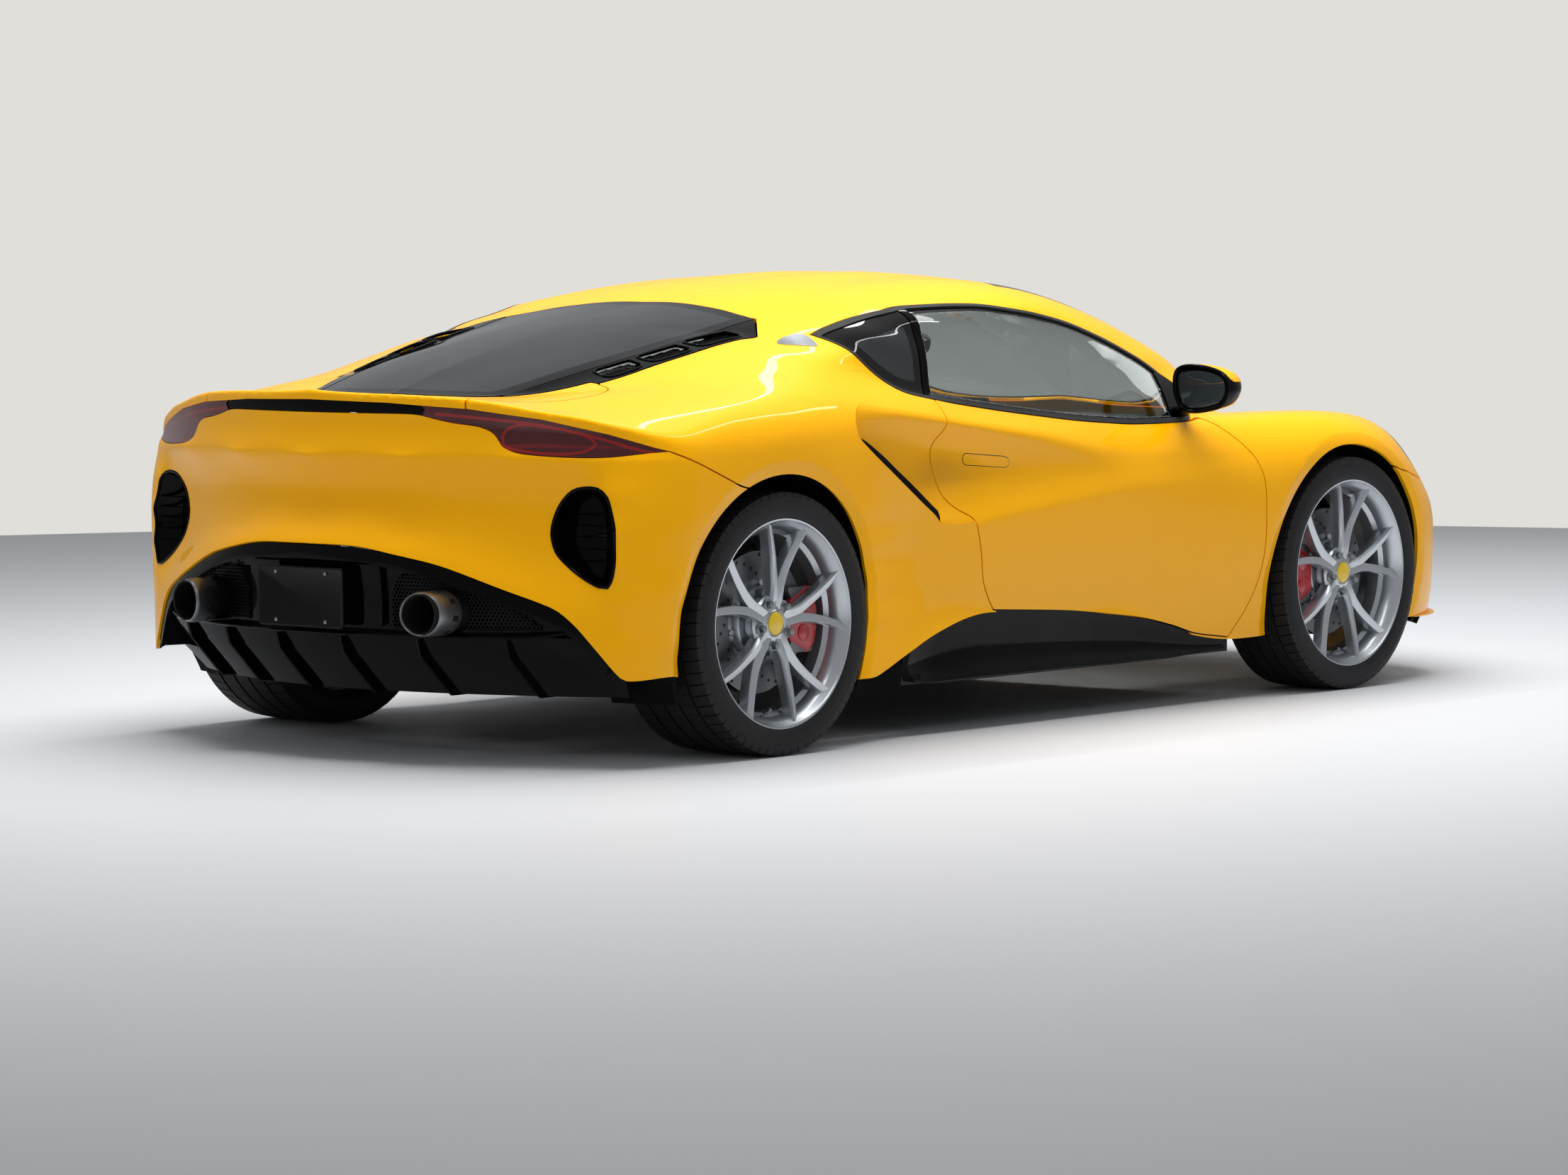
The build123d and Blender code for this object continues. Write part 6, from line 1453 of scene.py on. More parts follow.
under_arch = cut_by(smooth_body, lambda x, y, z: x + 1.6, lambda x, y, z: over(TAIL_LOW, y, z) + 0.003,
                    lambda x, y, z: 0.172 - z, lambda x, y, z: y - np.interp(z, [0.172, 0.33], [0.775, 0.852]))
rim_band = cut_by(under_arch, lambda x, y, z: -0.040 - over(TAIL_LOW, y, z))
pocket = cut_by(under_arch, lambda x, y, z: over(TAIL_LOW, y, z) + 0.034, lambda x, y, z: BLADE_Z - 0.004 - z)
skirt = cut_by(under_arch, lambda x, y, z: over(TAIL_LOW, y, z) + 0.036, lambda x, y, z: z - BLADE_Z)
PLATE_PAD = curve_through([(238, 350), (238, 350), (238, 505), (238, 505), (-238, 505), (-238, 505), (-238, 350),
                           (-238, 350)])
PIPE_POCKET = curve_through([(262, 345), (262, 345), (262, 430), (290, 478), (350, 484), (430, 470), (520, 438),
                             (610, 392), (660, 356), (668, 345), (668, 345)])
pad = cut_by(pocket, within(PLATE_PAD, "yz"))
pocket_wall = cut_by(pocket, clear_of(PIPE_POCKET, "yz", 0), clear_of(PLATE_PAD, "yz", 0.002))
pocket_floor = cut_by(pocket, within(PIPE_POCKET, "yz", -0.012))
across_middle("diffuser_rim", rim_band, 0.078, piano_black, "car", "gloss_black", "diffuser", lift=-0.006)
across_middle("diffuser_plate_pad", pad, 0.050, piano_black, "car", "gloss_black", lift=-0.024)
across_middle("diffuser_pocket_panel", pocket_wall, 0.030, piano_black, "car", "gloss_black", lift=-0.040)
across_middle("diffuser_skirt", tucked(skirt), 0.012, piano_black, "car", "gloss_black", lift=-0.018)
pair("tailpipe_pocket", pocket_floor, 0.006, duct_black, "car", "gloss_black", lift=-0.075)
pipe_spots = hex_spots(PIPE_POCKET, 0.0105)
pipe_spots = pipe_spots[np.hypot(pipe_spots[:, 0] - 0.42, pipe_spots[:, 1] - 0.392) > 0.063]
spots, normals = projected(pipe_spots, 0, -2.25)
repeated_both("diffuser_mesh", hex_ring(0.0058, 0.0007, 0.003), spots - normals * 0.026, normals, (0, 0, 1),
              mesh_black, "car", "gloss_black")
blade_y = np.linspace(0, 0.745, 34)
edge, _ = projected(np.column_stack([blade_y, np.full(34, BLADE_Z)]), 0, -2.25)
rise = 0.022 * np.clip((blade_y - 0.60) / 0.14, 0, 1) ** 2
back_edge = edge + np.column_stack([np.full(34, -0.004) + 0.03 * np.clip((blade_y - 0.6) / 0.14, 0, 1) ** 2,
                                    np.zeros(34), rise])
back_edge[:, 0] = np.maximum(back_edge[:, 0], -2.203)
section = [(0.0, 0.000), (0.002, 0.0035), (0.020, 0.0055), (0.100, 0.006), (0.104, -0.004), (0.020, -0.0045),
           (0.002, -0.003)]
half_blade = moulding([back_edge + (dx, 0, dz) for dx, dz in section])
fit_piece(sharp_object("diffuser_blade", joined(half_blade, mirrored(half_blade)), piano_black, 40), "car",
          "gloss_black")
strakes = []
for y in (0.115, 0.345, 0.575):
    top, _ = projected([(y, 0.32)], 0, -2.25)
    x = top[0, 0]
    profile = [(x + 0.006, 0.322), (x + 0.019, 0.280), (x + 0.044, 0.255), (x + 0.112, 0.190), (x + 0.135, 0.170),
               (x + 0.30, 0.170), (x + 0.30, 0.322)]
    points = np.array([(px, y + dy, pz) for dy in (-0.004, 0.004) for px, pz in profile])
    k = np.arange(7)
    strakes.append(turned_out((points, [np.array([range(7)]), np.array([range(7, 14)])[:, ::-1],
                                        np.column_stack([k, (k + 1) % 7, 7 + (k + 1) % 7, 7 + k])[:, ::-1]])))
strake_set = joined(*strakes)
fit_piece(sharp_object("diffuser_strakes", joined(strake_set, mirrored(strake_set)), piano_black, 30), "car",
          "gloss_black")


def across_to_along(piece, origin):
    """Turns a piece made round the y axis to lie along -x at an origin (x, y, z)."""
    points, faces = piece
    return np.column_stack([origin[0] - points[:, 1], origin[1] + points[:, 0], origin[2] + points[:, 2]]), faces


satin_steel, shader = new_material("bead_blasted_stainless_steel", "#8A8C8E", 0.38, Metallic=1.0)
BLAST = 0.0012               # grain left by the glass beads
relief(shader, grain(shader, BLAST, 0.0, "Voronoi", "Distance"), 0.2, 0.0003)
two_tone(shader, grain(shader, 0.03, 3.0), "#77797B", "#989A9C")
sooty_steel, shader = new_material("sooted_perforated_steel", "#1A1918", 0.6, Metallic=0.6)
relief(shader, grain(shader, 0.006, 0.0, "Voronoi", "Distance"), 0.8, 0.002)
sleeve = mirrored(lathe([(0.000, 0.0535), (0.004, 0.0560), (0.010, 0.0575), (0.030, 0.0580), (0.078, 0.0580),
                         (0.081, 0.0560), (0.081, 0.0540), (0.030, 0.0540), (0.006, 0.0505), (0.002, 0.0500),
                         (-0.001, 0.0515)], 72, (0, 0)))
liner = mirrored(lathe([(0.004, 0.0498), (0.190, 0.0470), (0.190, 0.0450), (0.004, 0.0478)], 64, (0, 0)))
SLANT = 0.30                 # the mouths are cut back towards the outside
slot_turns = np.arange(8) * 2 * pi / 8 + 0.2
slot_out = np.column_stack([0 * slot_turns, np.cos(slot_turns), np.sin(slot_turns)])
for side, flip in (("left", 1), ("right", -1)):
    origin = (-2.192, flip * 0.42, 0.392)
    for label, piece, material in (("sleeve", sleeve, satin_steel), ("liner", liner, sooty_steel)):
        points, faces = across_to_along(piece, origin)
        points[:, 0] += SLANT * flip * (points[:, 1] - origin[1])
        fit_piece(sharp_object(f"tailpipe_{label}_{side}", (points, faces), material, 30), "car", "exhaust_metal")
    slot_spots = np.add(origin, (0.056, 0, 0)) + slot_out * 0.0581
    slot_spots[:, 0] += SLANT * flip * (slot_spots[:, 1] - origin[1])
    fit_piece(repeated(f"tailpipe_slots_{side}", box(0.009, 0.007, -0.0005, 0.0006), slot_spots, slot_out, (1, 0, 0),
                       sooty_steel), "car", "exhaust_metal")

plate_black, shader = new_material("blank_black_number_plate", "#060607", 0.22, Specular_IOR_Level=0.2)
uneven_gloss(shader, grain(shader, 0.04, 3.0), 0.14, 0.34)


def rounded_plate(half_width, half_height, corner, layers, middle):
    """A plate in the y-z plane: outline layers of (x, inset) from back to front."""
    outline = []
    for quarter, (sy, sz) in enumerate(((1, 1), (-1, 1), (-1, -1), (1, -1))):
        for i in range(7):
            a = pi / 2 * (quarter + i / 6)
            outline.append((sy * (half_width - corner) + corner * cos(a),
                            sz * (half_height - corner) + corner * sin(a)))
    outline = np.array(outline)
    points = []
    for x, inset in layers:
        points.append(np.column_stack([np.full(len(outline), x), middle[0] + outline[:, 0] * (1 - inset / half_width),
                                       middle[1] + outline[:, 1] * (1 - inset / half_height)]))
    return lofted(points)


plate = rounded_plate(0.1525, 0.0775, 0.010, [(-2.1880, 0.0), (-2.1925, 0.0), (-2.1940, 0.001), (-2.1942, 0.004),
                                              (-2.1932, 0.006)], (0, 0.42))
fit_piece(sharp_object("number_plate_blank", plate, plate_black, 25), "car", "plate", "number_plate")
screw = disc([(0.0, 0.0), (0.0, 0.0055), (0.0012, 0.0053), (0.0028, 0.0038), (0.0032, 0.0)], 16, (0, 0))
screw_spots = [(-2.1935, y, 0.42 + z) for y in (-0.089, 0.089) for z in (-0.062, 0.062)]
fit_piece(repeated("plate_screws", stood_up(screw), screw_spots, (-1, 0, 0), (0, 0, 1), bolt_steel), "car", "plate")


# ------------------------------------------------------------------ headlamps
# A clear polycarbonate cover over a black housing with three projector lenses in bright rings. The white light
# guide along its upper edge is not built.
clear_cover, shader = new_material("hard_coated_clear_polycarbonate", "#FFFFFF", 0.02, Transmission_Weight=1.0,
                                   IOR=1.4)
uneven_gloss(shader, grain(shader, 0.05), 0.01, 0.03)
lamp_glass = cut_by(front_half, lambda x, y, z: 0.45 - y, within(HEADLAMP, "xz", HALF_GAP), clear_of(BONNET, "xy"))
pair("headlamp_cover", lamp_glass, 0.003, clear_cover, "car", "lamp_clear", "headlights", lift=-0.001)
pair("headlamp_housing", lamp_glass, 0.004, piano_black, "car", "lamp_clear", lift=-0.042)
bright_ring, shader = new_material("chromed_lamp_ring", "#D5D8DA", 0.08, Metallic=1.0)
uneven_gloss(shader, grain(shader, 0.01), 0.04, 0.14)
lamps, lenses = [], []
aim = np.array((0.92, 0.18, 0.34))
aim /= np.linalg.norm(aim)
up = np.cross(aim, (0, 1, 0))
for x, y in ((1.625, 0.790), (1.725, 0.745), (1.815, 0.700)):
    top, out = projected([(x, y)], 2, 1.1, 0.8)
    seat_point = top[0] - out[0] * 0.020 + (0, 0, -0.012)
    for kept, depths, radii in (
            (lamps, (-0.030, -0.028, 0.000, 0.003), (0.020, 0.024, 0.026, 0.024)),
            (lenses, (0.001, 0.004, 0.009, 0.0125, 0.014), (0.0225, 0.0220, 0.0185, 0.011, 0.004))):
        kept.append(tube_along(seat_point + np.outer(depths, aim), radii, sides=28, up=up))
fit_both("headlamp_rings", joined(*lamps), bright_ring, 40, "car", "lamp_clear")
fit_both("headlamp_projectors", joined(*lenses), clear_cover, 60, "car", "lamp_clear")


# ------------------------------------------------------------------ door handles, trim triangles and belt
# The handles are flush painted flaps in a rounded cut-out. A brushed aluminium triangle, left
# plain, fills the corner behind each quarter pane.
HANDLE = curve_through([(-552, 733), (-548, 750), (-530, 750), (-400, 739), (-383, 737), (-366, 730), (-361, 712),
                        (-372, 706), (-390, 707), (-520, 717), (-540, 719)], 6)
handle = cut_by(scooped_side, within(HANDLE, "xz", 0.0015))
groove = cut_by(scooped_side, within(HANDLE, "xz", -0.0004), clear_of(HANDLE, "xz", -0.0018))
pair("handle_flap", handle, 0.004, paint, "door_{}_body", "body_paint", lift=0.0012)
pair("handle_gap", groove, 0.002, seal_rubber, "door_{}_body", "gloss_black", lift=0.0004)
brushed_trim, shader = new_material("brushed_aluminium_trim", "#A7ABB2", 0.28, Metallic=1.0, Anisotropic=0.4)
uneven_gloss(shader, grain(shader, 1, 3.0, stretch=(60, 900, 900)), 0.18, 0.42)
TRIANGLE = curve_through([(-1050, 1052), (-1050, 1052), (-1030, 1058), (-952, 1077), (-944, 1073), (-944, 1070),
                          (-960, 1052), (-968, 1046), (-980, 1045), (-1042, 1050)], 6)
corner_trim = cut_by(smooth_body, within(TRIANGLE, "xz"), lambda x, y, z: -np.minimum(1, y / 0.5) + 1.0)
pair("quarter_trim", corner_trim, 0.002, brushed_trim, "car", "gloss_black", lift=0.0012)
SEAL_LOW = np.array([(-0.66, 0.912), (-0.4, 0.876), (-0.018, 0.834), (0.246, 0.816), (0.463, 0.814)])     # x, z
belt = cut_by(smooth_body, within(DLO, "xz", 0.0004), lambda x, y, z: z - np.interp(x, *SEAL_LOW.T),
              lambda x, y, z: -0.66 - x, lambda x, y, z: x - 0.55)
pair("belt_seal", belt, 0.010, seal_rubber, "door_{}_body", "gloss_black", lift=0.0022)


# ------------------------------------------------------------------ nose openings
# A wide middle intake and one in front of each wheel, each with hexagonal mesh in a black duct,
# and a body-coloured splitter edge under them.
NOSE_OPENINGS = [curve_through([(-440, 215), (-440, 215), (-470, 300), (-430, 352), (-300, 372), (0, 380), (300, 372),
                                (430, 352), (470, 300), (440, 215), (440, 215)]),
                 curve_through([(560, 235), (560, 235), (548, 330), (590, 420), (660, 470), (760, 492), (830, 470),
                                (845, 400), (820, 280), (790, 235), (790, 235)])]
nose_open = cut_by(nose_skin, *[lambda x, y, z, line=line: np.minimum(x - 1.7, -outside(line, y, z))
                                for line in NOSE_OPENINGS])
across_middle("nose_skin", nose_open, 0.012, paint, "car", "body_paint", "front_bumper")
nose_inside = cut_by(nose_open, lambda x, y, z: z - 0.6, lambda x, y, z: 0.85 - y)
pair("nose_lining", nose_inside, 0.002, duct_black, "car", "liner_plastic", lift=-0.0125)
ducts = [cut_by(nose_skin, within(line, "yz", -0.012), lambda x, y, z: 1.7 - x) for line in NOSE_OPENINGS]
across_middle("middle_intake_tray", ducts[0], 0.004, duct_black, "car", "liner_plastic", lift=-0.050)
pair("side_intake_tray", ducts[1], 0.004, duct_black, "car", "liner_plastic", lift=-0.050)
for label, line in (("middle", NOSE_OPENINGS[0]), ("side", NOSE_OPENINGS[1])):
    cells = hex_spots(line, 0.016)
    cells = cells[cells[:, 1] < 0.6]
    cells = cells[cells[:, 0] >= -0.001] if label == "middle" else cells
    spots, normals = projected(cells, 0, 2.25)
    ring_unit = hex_ring(0.0088, 0.0010, 0.004)
    if label == "middle":
        keep = spots[:, 1] > 1e-3
        spots = np.concatenate([spots, spots[keep] * (1, -1, 1)])
        normals = np.concatenate([normals, normals[keep] * (1, -1, 1)])
        fit_piece(repeated("middle_intake_mesh", ring_unit, spots - normals * 0.022, normals, (0, 0, 1), mesh_black),
                  "car", "liner_plastic")
    else:
        repeated_both("side_intake_mesh", ring_unit, spots - normals * 0.022, normals, (0, 0, 1), mesh_black,
                      "car", "liner_plastic")
splitter = cut_by(front_half, lambda x, y, z: z - 0.186, lambda x, y, z: 0.142 - z, lambda x, y, z: 1.86 - x,
                  wheel_openings)
across_middle("splitter", splitter, 0.014, piano_black, "car", "gloss_black", lift=-0.004)
corner, corner_out = projected([(x, 0.188) for x in np.linspace(1.60, 2.02, 16)], 1, 1.1)
grow = np.interp(np.arange(16), [0, 8, 13, 15], [0.003, 0.016, 0.020, 0.006])
winglet = tube_along(corner + corner_out * grow[:, None] * 0.6, grow, sides=12, flat=0.35)
fit_both("corner_winglet", winglet, paint, 50, "car", "body_paint")


# ------------------------------------------------------------------ side sills
# Gloss black skirts under the doors: a hollow upper flank that rolls out to a thin lower lip.
along_sill = np.linspace(-0.745, 0.665, 72)
top_edge = np.interp(along_sill, *SILL_EDGE.T)
skin_at, _ = projected(np.column_stack([along_sill, top_edge + 0.006]), 1, 1.1)
low_edge = np.interp(along_sill, [-0.745, -0.66, 0.4, 0.665], [0.146, 0.138, 0.138, 0.150])
low_edge = np.minimum(low_edge, top_edge - 0.012)
hollow = np.clip((top_edge - low_edge) / 0.14, 0.15, 1)          # shallower where the flank is low
rings = []
for depth, share in ((-0.040, 1.10), (-0.016, 1.06), (-0.018, 0.90), (-0.034, 0.62), (-0.038, 0.40), (-0.022, 0.20),
                     (-0.004, 0.09), (0.0, 0.04), (-0.006, 0.0), (-0.060, 0.02), (-0.075, 0.30)):
    rings.append(np.column_stack([along_sill, skin_at[:, 1] - 0.004 + depth * hollow,
                                  low_edge + share * (top_edge - low_edge)]))
skirt_piece = moulding(rings)
for side, turned in (("left", lambda piece: piece), ("right", mirrored)):
    fit_piece(sharp_object(f"side_skirt_{side}", turned(skirt_piece), piano_black, 45), "car", "gloss_black",
              *(["side_sills"] if side == "left" else []))


# ------------------------------------------------------------------ wheel arch linings
# Moulded black liners close each arch: a lip that turns in from the panel's edge to the inner liner.
for end, (axle, hub, radius) in ARCHES.items():
    low = -28 if end == "rear" else -26           # where the lip ends, in degrees below the hub's level
    turns = np.radians(np.arange(low, 181 - low, 2.0))
    edge, _ = projected(np.column_stack([axle + (radius + 0.003) * np.cos(turns),
                                         hub + (radius + 0.003) * np.sin(turns)]), 1, 1.1)
    rings = []
    for share, grow in ((0.002, 0.0), (0.030, 0.006), (0.5, 0.014), (1.0, 0.018), (1.0, 0.022), (0.5, 0.018),
                        (0.030, 0.010), (0.002, 0.004)):
        y = edge[:, 1] - 0.004 - share * (edge[:, 1] - 0.66)
        rings.append(np.column_stack([axle + (radius + 0.003 + grow) * np.cos(turns), y,
                                      hub + (radius + 0.003 + grow) * np.sin(turns)]))
    lip = moulding(rings)
    fit_both(end + "_arch_lip", lip, duct_black, 40, "car", "liner_plastic")


# ------------------------------------------------------------------ seats
# Two one-piece sports seats: a firm shell with foam bolsters, trimmed in black leather with a
# perforated middle and yellow stitching along the seams.
leather, shader = new_material("black_grained_leather", "#141416", 0.48, Sheen_Weight=0.15, Specular_IOR_Level=0.4)
GRAIN_SIZE = 0.0022          # hide grain is about 1 mm: drawn at 2.2 mm so that it shows
relief(shader, grain(shader, GRAIN_SIZE, 0.0, "Voronoi", "Distance", feature="DISTANCE_TO_EDGE"), 0.35, 0.0006)
two_tone(shader, grain(shader, 0.08, 3.0), "#0F0F11", "#1C1C1F")
suede, shader = new_material("black_microfibre_suede", "#18181A", 0.9, Sheen_Weight=0.4, Sheen_Roughness=0.4)
relief(shader, grain(shader, 0.0016), 0.4, 0.0008)
thread, shader = new_material("yellow_polyester_thread", "#D9A400", 0.6)
relief(shader, grain(shader, 0.0012), 0.3, 0.0003)
# x, z of the trimmed face from the front of the cushion to the head, with the half width and bolster
SEAT_LINE = [(205, 345, 225, 10), (160, 375, 228, 26), (60, 362, 230, 46), (-60, 338, 230, 55), (-160, 322, 226, 52),
             (-232, 330, 220, 46), (-272, 372, 222, 60), (-305, 450, 228, 78), (-345, 560, 226, 80),
             (-385, 660, 208, 66), (-420, 740, 178, 42), (-452, 810, 140, 22), (-480, 862, 124, 16),
             (-500, 893, 104, 6)]
line = np.array(SEAT_LINE, float) * MM
steps = np.linspace(0, len(line) - 1, 46)
line = np.column_stack([np.interp(steps, np.arange(len(line)), line[:, c]) for c in range(4)])
for _ in range(3):
    line[1:-1] = (line[:-2] + 2 * line[1:-1] + line[2:]) / 4
run = np.gradient(line[:, :2], axis=0)
run /= np.linalg.norm(run, axis=1)[:, None]
face_out = np.column_stack([-run[:, 1], run[:, 0]])
face_out *= np.sign(face_out[:, 1] + 0.8 * face_out[:, 0] + 1e-9)[:, None]
ACROSS = np.linspace(-1, 1, 29)


def bolstered(share, bolster):
    """Height over the seat's middle: a flat middle third that rises into a rounded bolster."""
    ramp = np.clip((np.abs(share) - 0.46) / 0.40, 0, 1)
    seam = 0.006 * np.exp(-((np.abs(share) - 0.46) / 0.035) ** 2)
    fall = np.clip((np.abs(share) - 0.90) / 0.10, 0, 1)
    return bolster * (3 * ramp ** 2 - 2 * ramp ** 3) - seam - bolster * 0.30 * fall ** 2


def seat_surface(offset_top, offset_back):
    """Closed pad from the trimmed face back to a depth behind it."""
    front, rear = [], []
    for (x, z, half_width, bolster), (ox, oz) in zip(line, face_out):
        h = bolstered(ACROSS, bolster) + offset_top
        y = half_width * ACROSS * (1 - 0.02 * (np.abs(ACROSS) > 0.95))
        front.append(np.column_stack([x + ox * h, y, z + oz * h]))
        back_h = -offset_back + 0.35 * bolstered(ACROSS, bolster)
        rear.append(np.column_stack([x + ox * back_h, y * 0.97, z + oz * back_h]))
    front, rear = np.array(front), np.array(rear)
    n, m = len(line), len(ACROSS)
    grid = np.arange(n * m).reshape(n, m)
    a, b, c, d = grid[:-1, :-1].ravel(), grid[1:, :-1].ravel(), grid[1:, 1:].ravel(), grid[:-1, 1:].ravel()
    top = np.column_stack([a, b, c, d])
    bottom = top[:, ::-1] + n * m
    border = np.concatenate([grid[0, :], grid[1:, -1], grid[-1, -2::-1], grid[-2:0:-1, 0]])
    after = np.roll(border, -1)
    wall = np.column_stack([border, after, after + n * m, border + n * m])
    return turned_out((np.concatenate([front.reshape(-1, 3), rear.reshape(-1, 3)]), [top, bottom, wall]))


pad_piece = seat_surface(0.0, 0.055)
back_piece = seat_surface(-0.035, 0.078)
stitch_line = []
for sign in (-1, 1):
    for i in range(2, len(line) - 4):
        ox, oz = face_out[i]
        for part in (0.0, 0.25, 0.5, 0.75):
            nx, nz, nw, nb = line[i] + (line[i + 1] - line[i]) * part
            for offset in (0.44, 0.485):
                h = bolstered(np.array([offset]), nb)[0] + 0.0012
                stitch_line.append((nx + ox * h, sign * nw * offset, nz + oz * h, ox, oz, run[i, 0], run[i, 1]))
stitch_line = np.array(stitch_line)
stitch = tube_along([(-0.0026, 0, -0.0006), (-0.0014, 0, 0.0004), (0.0014, 0, 0.0004), (0.0026, 0, -0.0006)], 0.0007,
                    sides=6)
for side, flip in (("left", 1), ("right", -1)):
    move = (0, flip * 0.37, 0)
    pad = mesh_object(f"seat_pad_{side}", pad_piece[0] + move, pad_piece[1], leather)
    smooth = pad.modifiers.new("subdivision", "SUBSURF")
    smooth.levels = smooth.render_levels = 2
    fit_piece(pad, "car", "seat_leather", *(["seats"] if side == "left" else []))
    shell_back = mesh_object(f"seat_shell_{side}", back_piece[0] * (1, 1.03, 1) + move, back_piece[1], piano_black)
    smooth = shell_back.modifiers.new("subdivision", "SUBSURF")
    smooth.levels = smooth.render_levels = 1
    fit_piece(shell_back, "car", "seat_leather")
    seams = repeated(f"seat_stitches_{side}", stitch, stitch_line[:, [0, 1, 2]] + move,
                     np.column_stack([stitch_line[:, 3], 0 * stitch_line[:, 0], stitch_line[:, 4]]),
                     np.column_stack([stitch_line[:, 5], 0 * stitch_line[:, 0], stitch_line[:, 6]]), thread)
    fit_piece(seams, "car", "seat_leather")


# ------------------------------------------------------------------ dashboard and steering wheel
# A slush-moulded dash top, a cowl over the instruments, a dark screen in the middle, round air vents, and a
# flat-bottomed leather wheel on its column. The dash's suede lower half is not built.
DASH_SECTION = [(768, 560), (768, 760), (735, 792), (680, 806), (610, 812), (545, 803), (505, 785), (484, 755),
                (492, 720), (520, 690), (530, 640), (560, 590), (620, 560), (700, 545)]
section = curve_through(DASH_SECTION, 22)[:-1]
stations = np.linspace(-0.71, 0.71, 61)
rings = []
for y in stations:
    cowl = 0.040 * np.exp(-((y - 0.37) / 0.16) ** 4)
    swell = 0.012 * np.exp(-(y / 0.14) ** 4)
    lift = np.clip((section[:, 1] - 0.74) / 0.06, 0, 1)
    back_off = np.where(np.abs(y) > 0.60, (np.abs(y) - 0.60) * 0.9, 0)
    ahead = np.minimum(section[:, 0] - lift * swell + back_off * (section[:, 0] < 0.7), 0.772)
    high = section[:, 1] + lift * (cowl * (section[:, 0] < 0.66) + 0.3 * swell)
    rings.append(np.column_stack([ahead, np.full(len(section), y), high]))
dash = lofted(rings)
soft_plastic, shader = new_material("slush_moulded_soft_plastic", "#131315", 0.7, Specular_IOR_Level=0.35)
relief(shader, grain(shader, 0.002, 0.0, "Voronoi", "Distance", feature="DISTANCE_TO_EDGE"), 0.3, 0.0005)
fit_piece(sharp_object("dash_moulding", dash, soft_plastic, 50), "car", "dash_plastic", "dashboard")
display = rounded_plate(0.125, 0.052, 0.008, [(0.505, 0.0), (0.492, 0.0), (0.490, 0.0015), (0.4898, 0.004)],
                        (0.0, 0.800))
cluster = rounded_plate(0.150, 0.052, 0.020, [(0.530, 0.0), (0.505, 0.0), (0.503, 0.002), (0.5028, 0.006)],
                        (0.37, 0.790))
fit_piece(sharp_object("dash_displays", joined(display, cluster), plate_black, 30), "car", "dash_plastic")
vents = []
for y in (-0.63, -0.20, 0.20, 0.63):
    x = 0.492 if abs(y) < 0.5 else 0.510
    ring = lathe([(0.0, 0.036), (0.006, 0.039), (0.010, 0.036), (0.009, 0.032), (0.0, 0.031)], 40, (0, 0))
    vents.append(across_to_along(ring, (x, y, 0.742)))
    for z in (-0.018, 0.0, 0.018):
        reach_y = sqrt(max(0.032 ** 2 - z ** 2, 0))
        vents.append(tube_along([(x - 0.004, y - reach_y, 0.742 + z), (x - 0.004, y + reach_y, 0.742 + z)], 0.007,
                                sides=8, flat=0.14))
fit_piece(sharp_object("dash_vents", joined(*vents), bright_ring, 40), "car", "dash_plastic")
console = []
for x, half_width, z in ((0.52, 0.10, 0.56), (0.40, 0.105, 0.50), (0.20, 0.10, 0.42), (0.0, 0.095, 0.40),
                         (-0.25, 0.095, 0.42), (-0.50, 0.095, 0.46), (-0.62, 0.095, 0.50)):
    console.append([(x, -half_width, 0.18), (x, -half_width, z - 0.02), (x, -half_width * 0.82, z),
                    (x, half_width * 0.82, z), (x, half_width, z - 0.02), (x, half_width, 0.18)])
tunnel = lofted(np.array(console))
lever = tube_along([(0.12, 0, 0.40), (0.115, 0, 0.47), (0.112, 0, 0.475), (0.110, 0, 0.50), (0.110, 0, 0.512),
                    (0.112, 0, 0.518)], (0.012, 0.010, 0.020, 0.023, 0.018, 0.008), sides=20, up=(1, 0, 0))
fit_piece(sharp_object("centre_console", tunnel, leather, 40), "car", "dash_plastic")
fit_piece(sharp_object("gear_lever", lever, bell_metal, 40), "car", "dash_plastic")

WHEEL_AT = np.array((0.330, 0.370, 0.700))
lean = radians(22)
outward = np.array((-cos(lean), 0, sin(lean)))
upward_in = np.array((sin(lean), 0, cos(lean)))
turns = np.linspace(0, 2 * pi, 97)[:-1]
height = np.maximum(0.178 * np.sin(turns), -0.150)
rim_points = WHEEL_AT + np.outer(0.178 * np.cos(turns), (0, 1, 0)) + np.outer(height, upward_in)
grip = 0.0145 + 0.0015 * np.exp(-((np.abs(np.cos(turns)) - 0.93) / 0.12) ** 2)
rim_ring = tube_along(rim_points, grip, closed=True, sides=16, up=outward)
spokes = []
for side_way, down in ((1, 0), (-1, 0), (0, -1)):
    way = np.array((0, side_way, 0)) + upward_in * down
    inner_at, outer_at = WHEEL_AT - outward * 0.020 + way * 0.030, WHEEL_AT + way * (0.170 if down == 0 else 0.146)
    middle_at = (inner_at + outer_at) / 2 - outward * 0.006
    spokes.append(tube_along([inner_at, middle_at, outer_at], (0.024, 0.016, 0.013), sides=12, flat=0.42, up=outward))
boss = tube_along(WHEEL_AT + np.outer((-0.040, -0.036, -0.010, -0.004, -0.002), outward),
                  (0.040, 0.050, 0.055, 0.046, 0.020), sides=36, up=upward_in)
fit_piece(sharp_object("wheel_grip", rim_ring, leather, 60), "steering_wheel_body", "seat_leather", "steering_wheel")
fit_piece(sharp_object("wheel_spokes_and_boss", joined(boss, *spokes), satin_steel, 45), "steering_wheel_body",
          "dash_plastic")


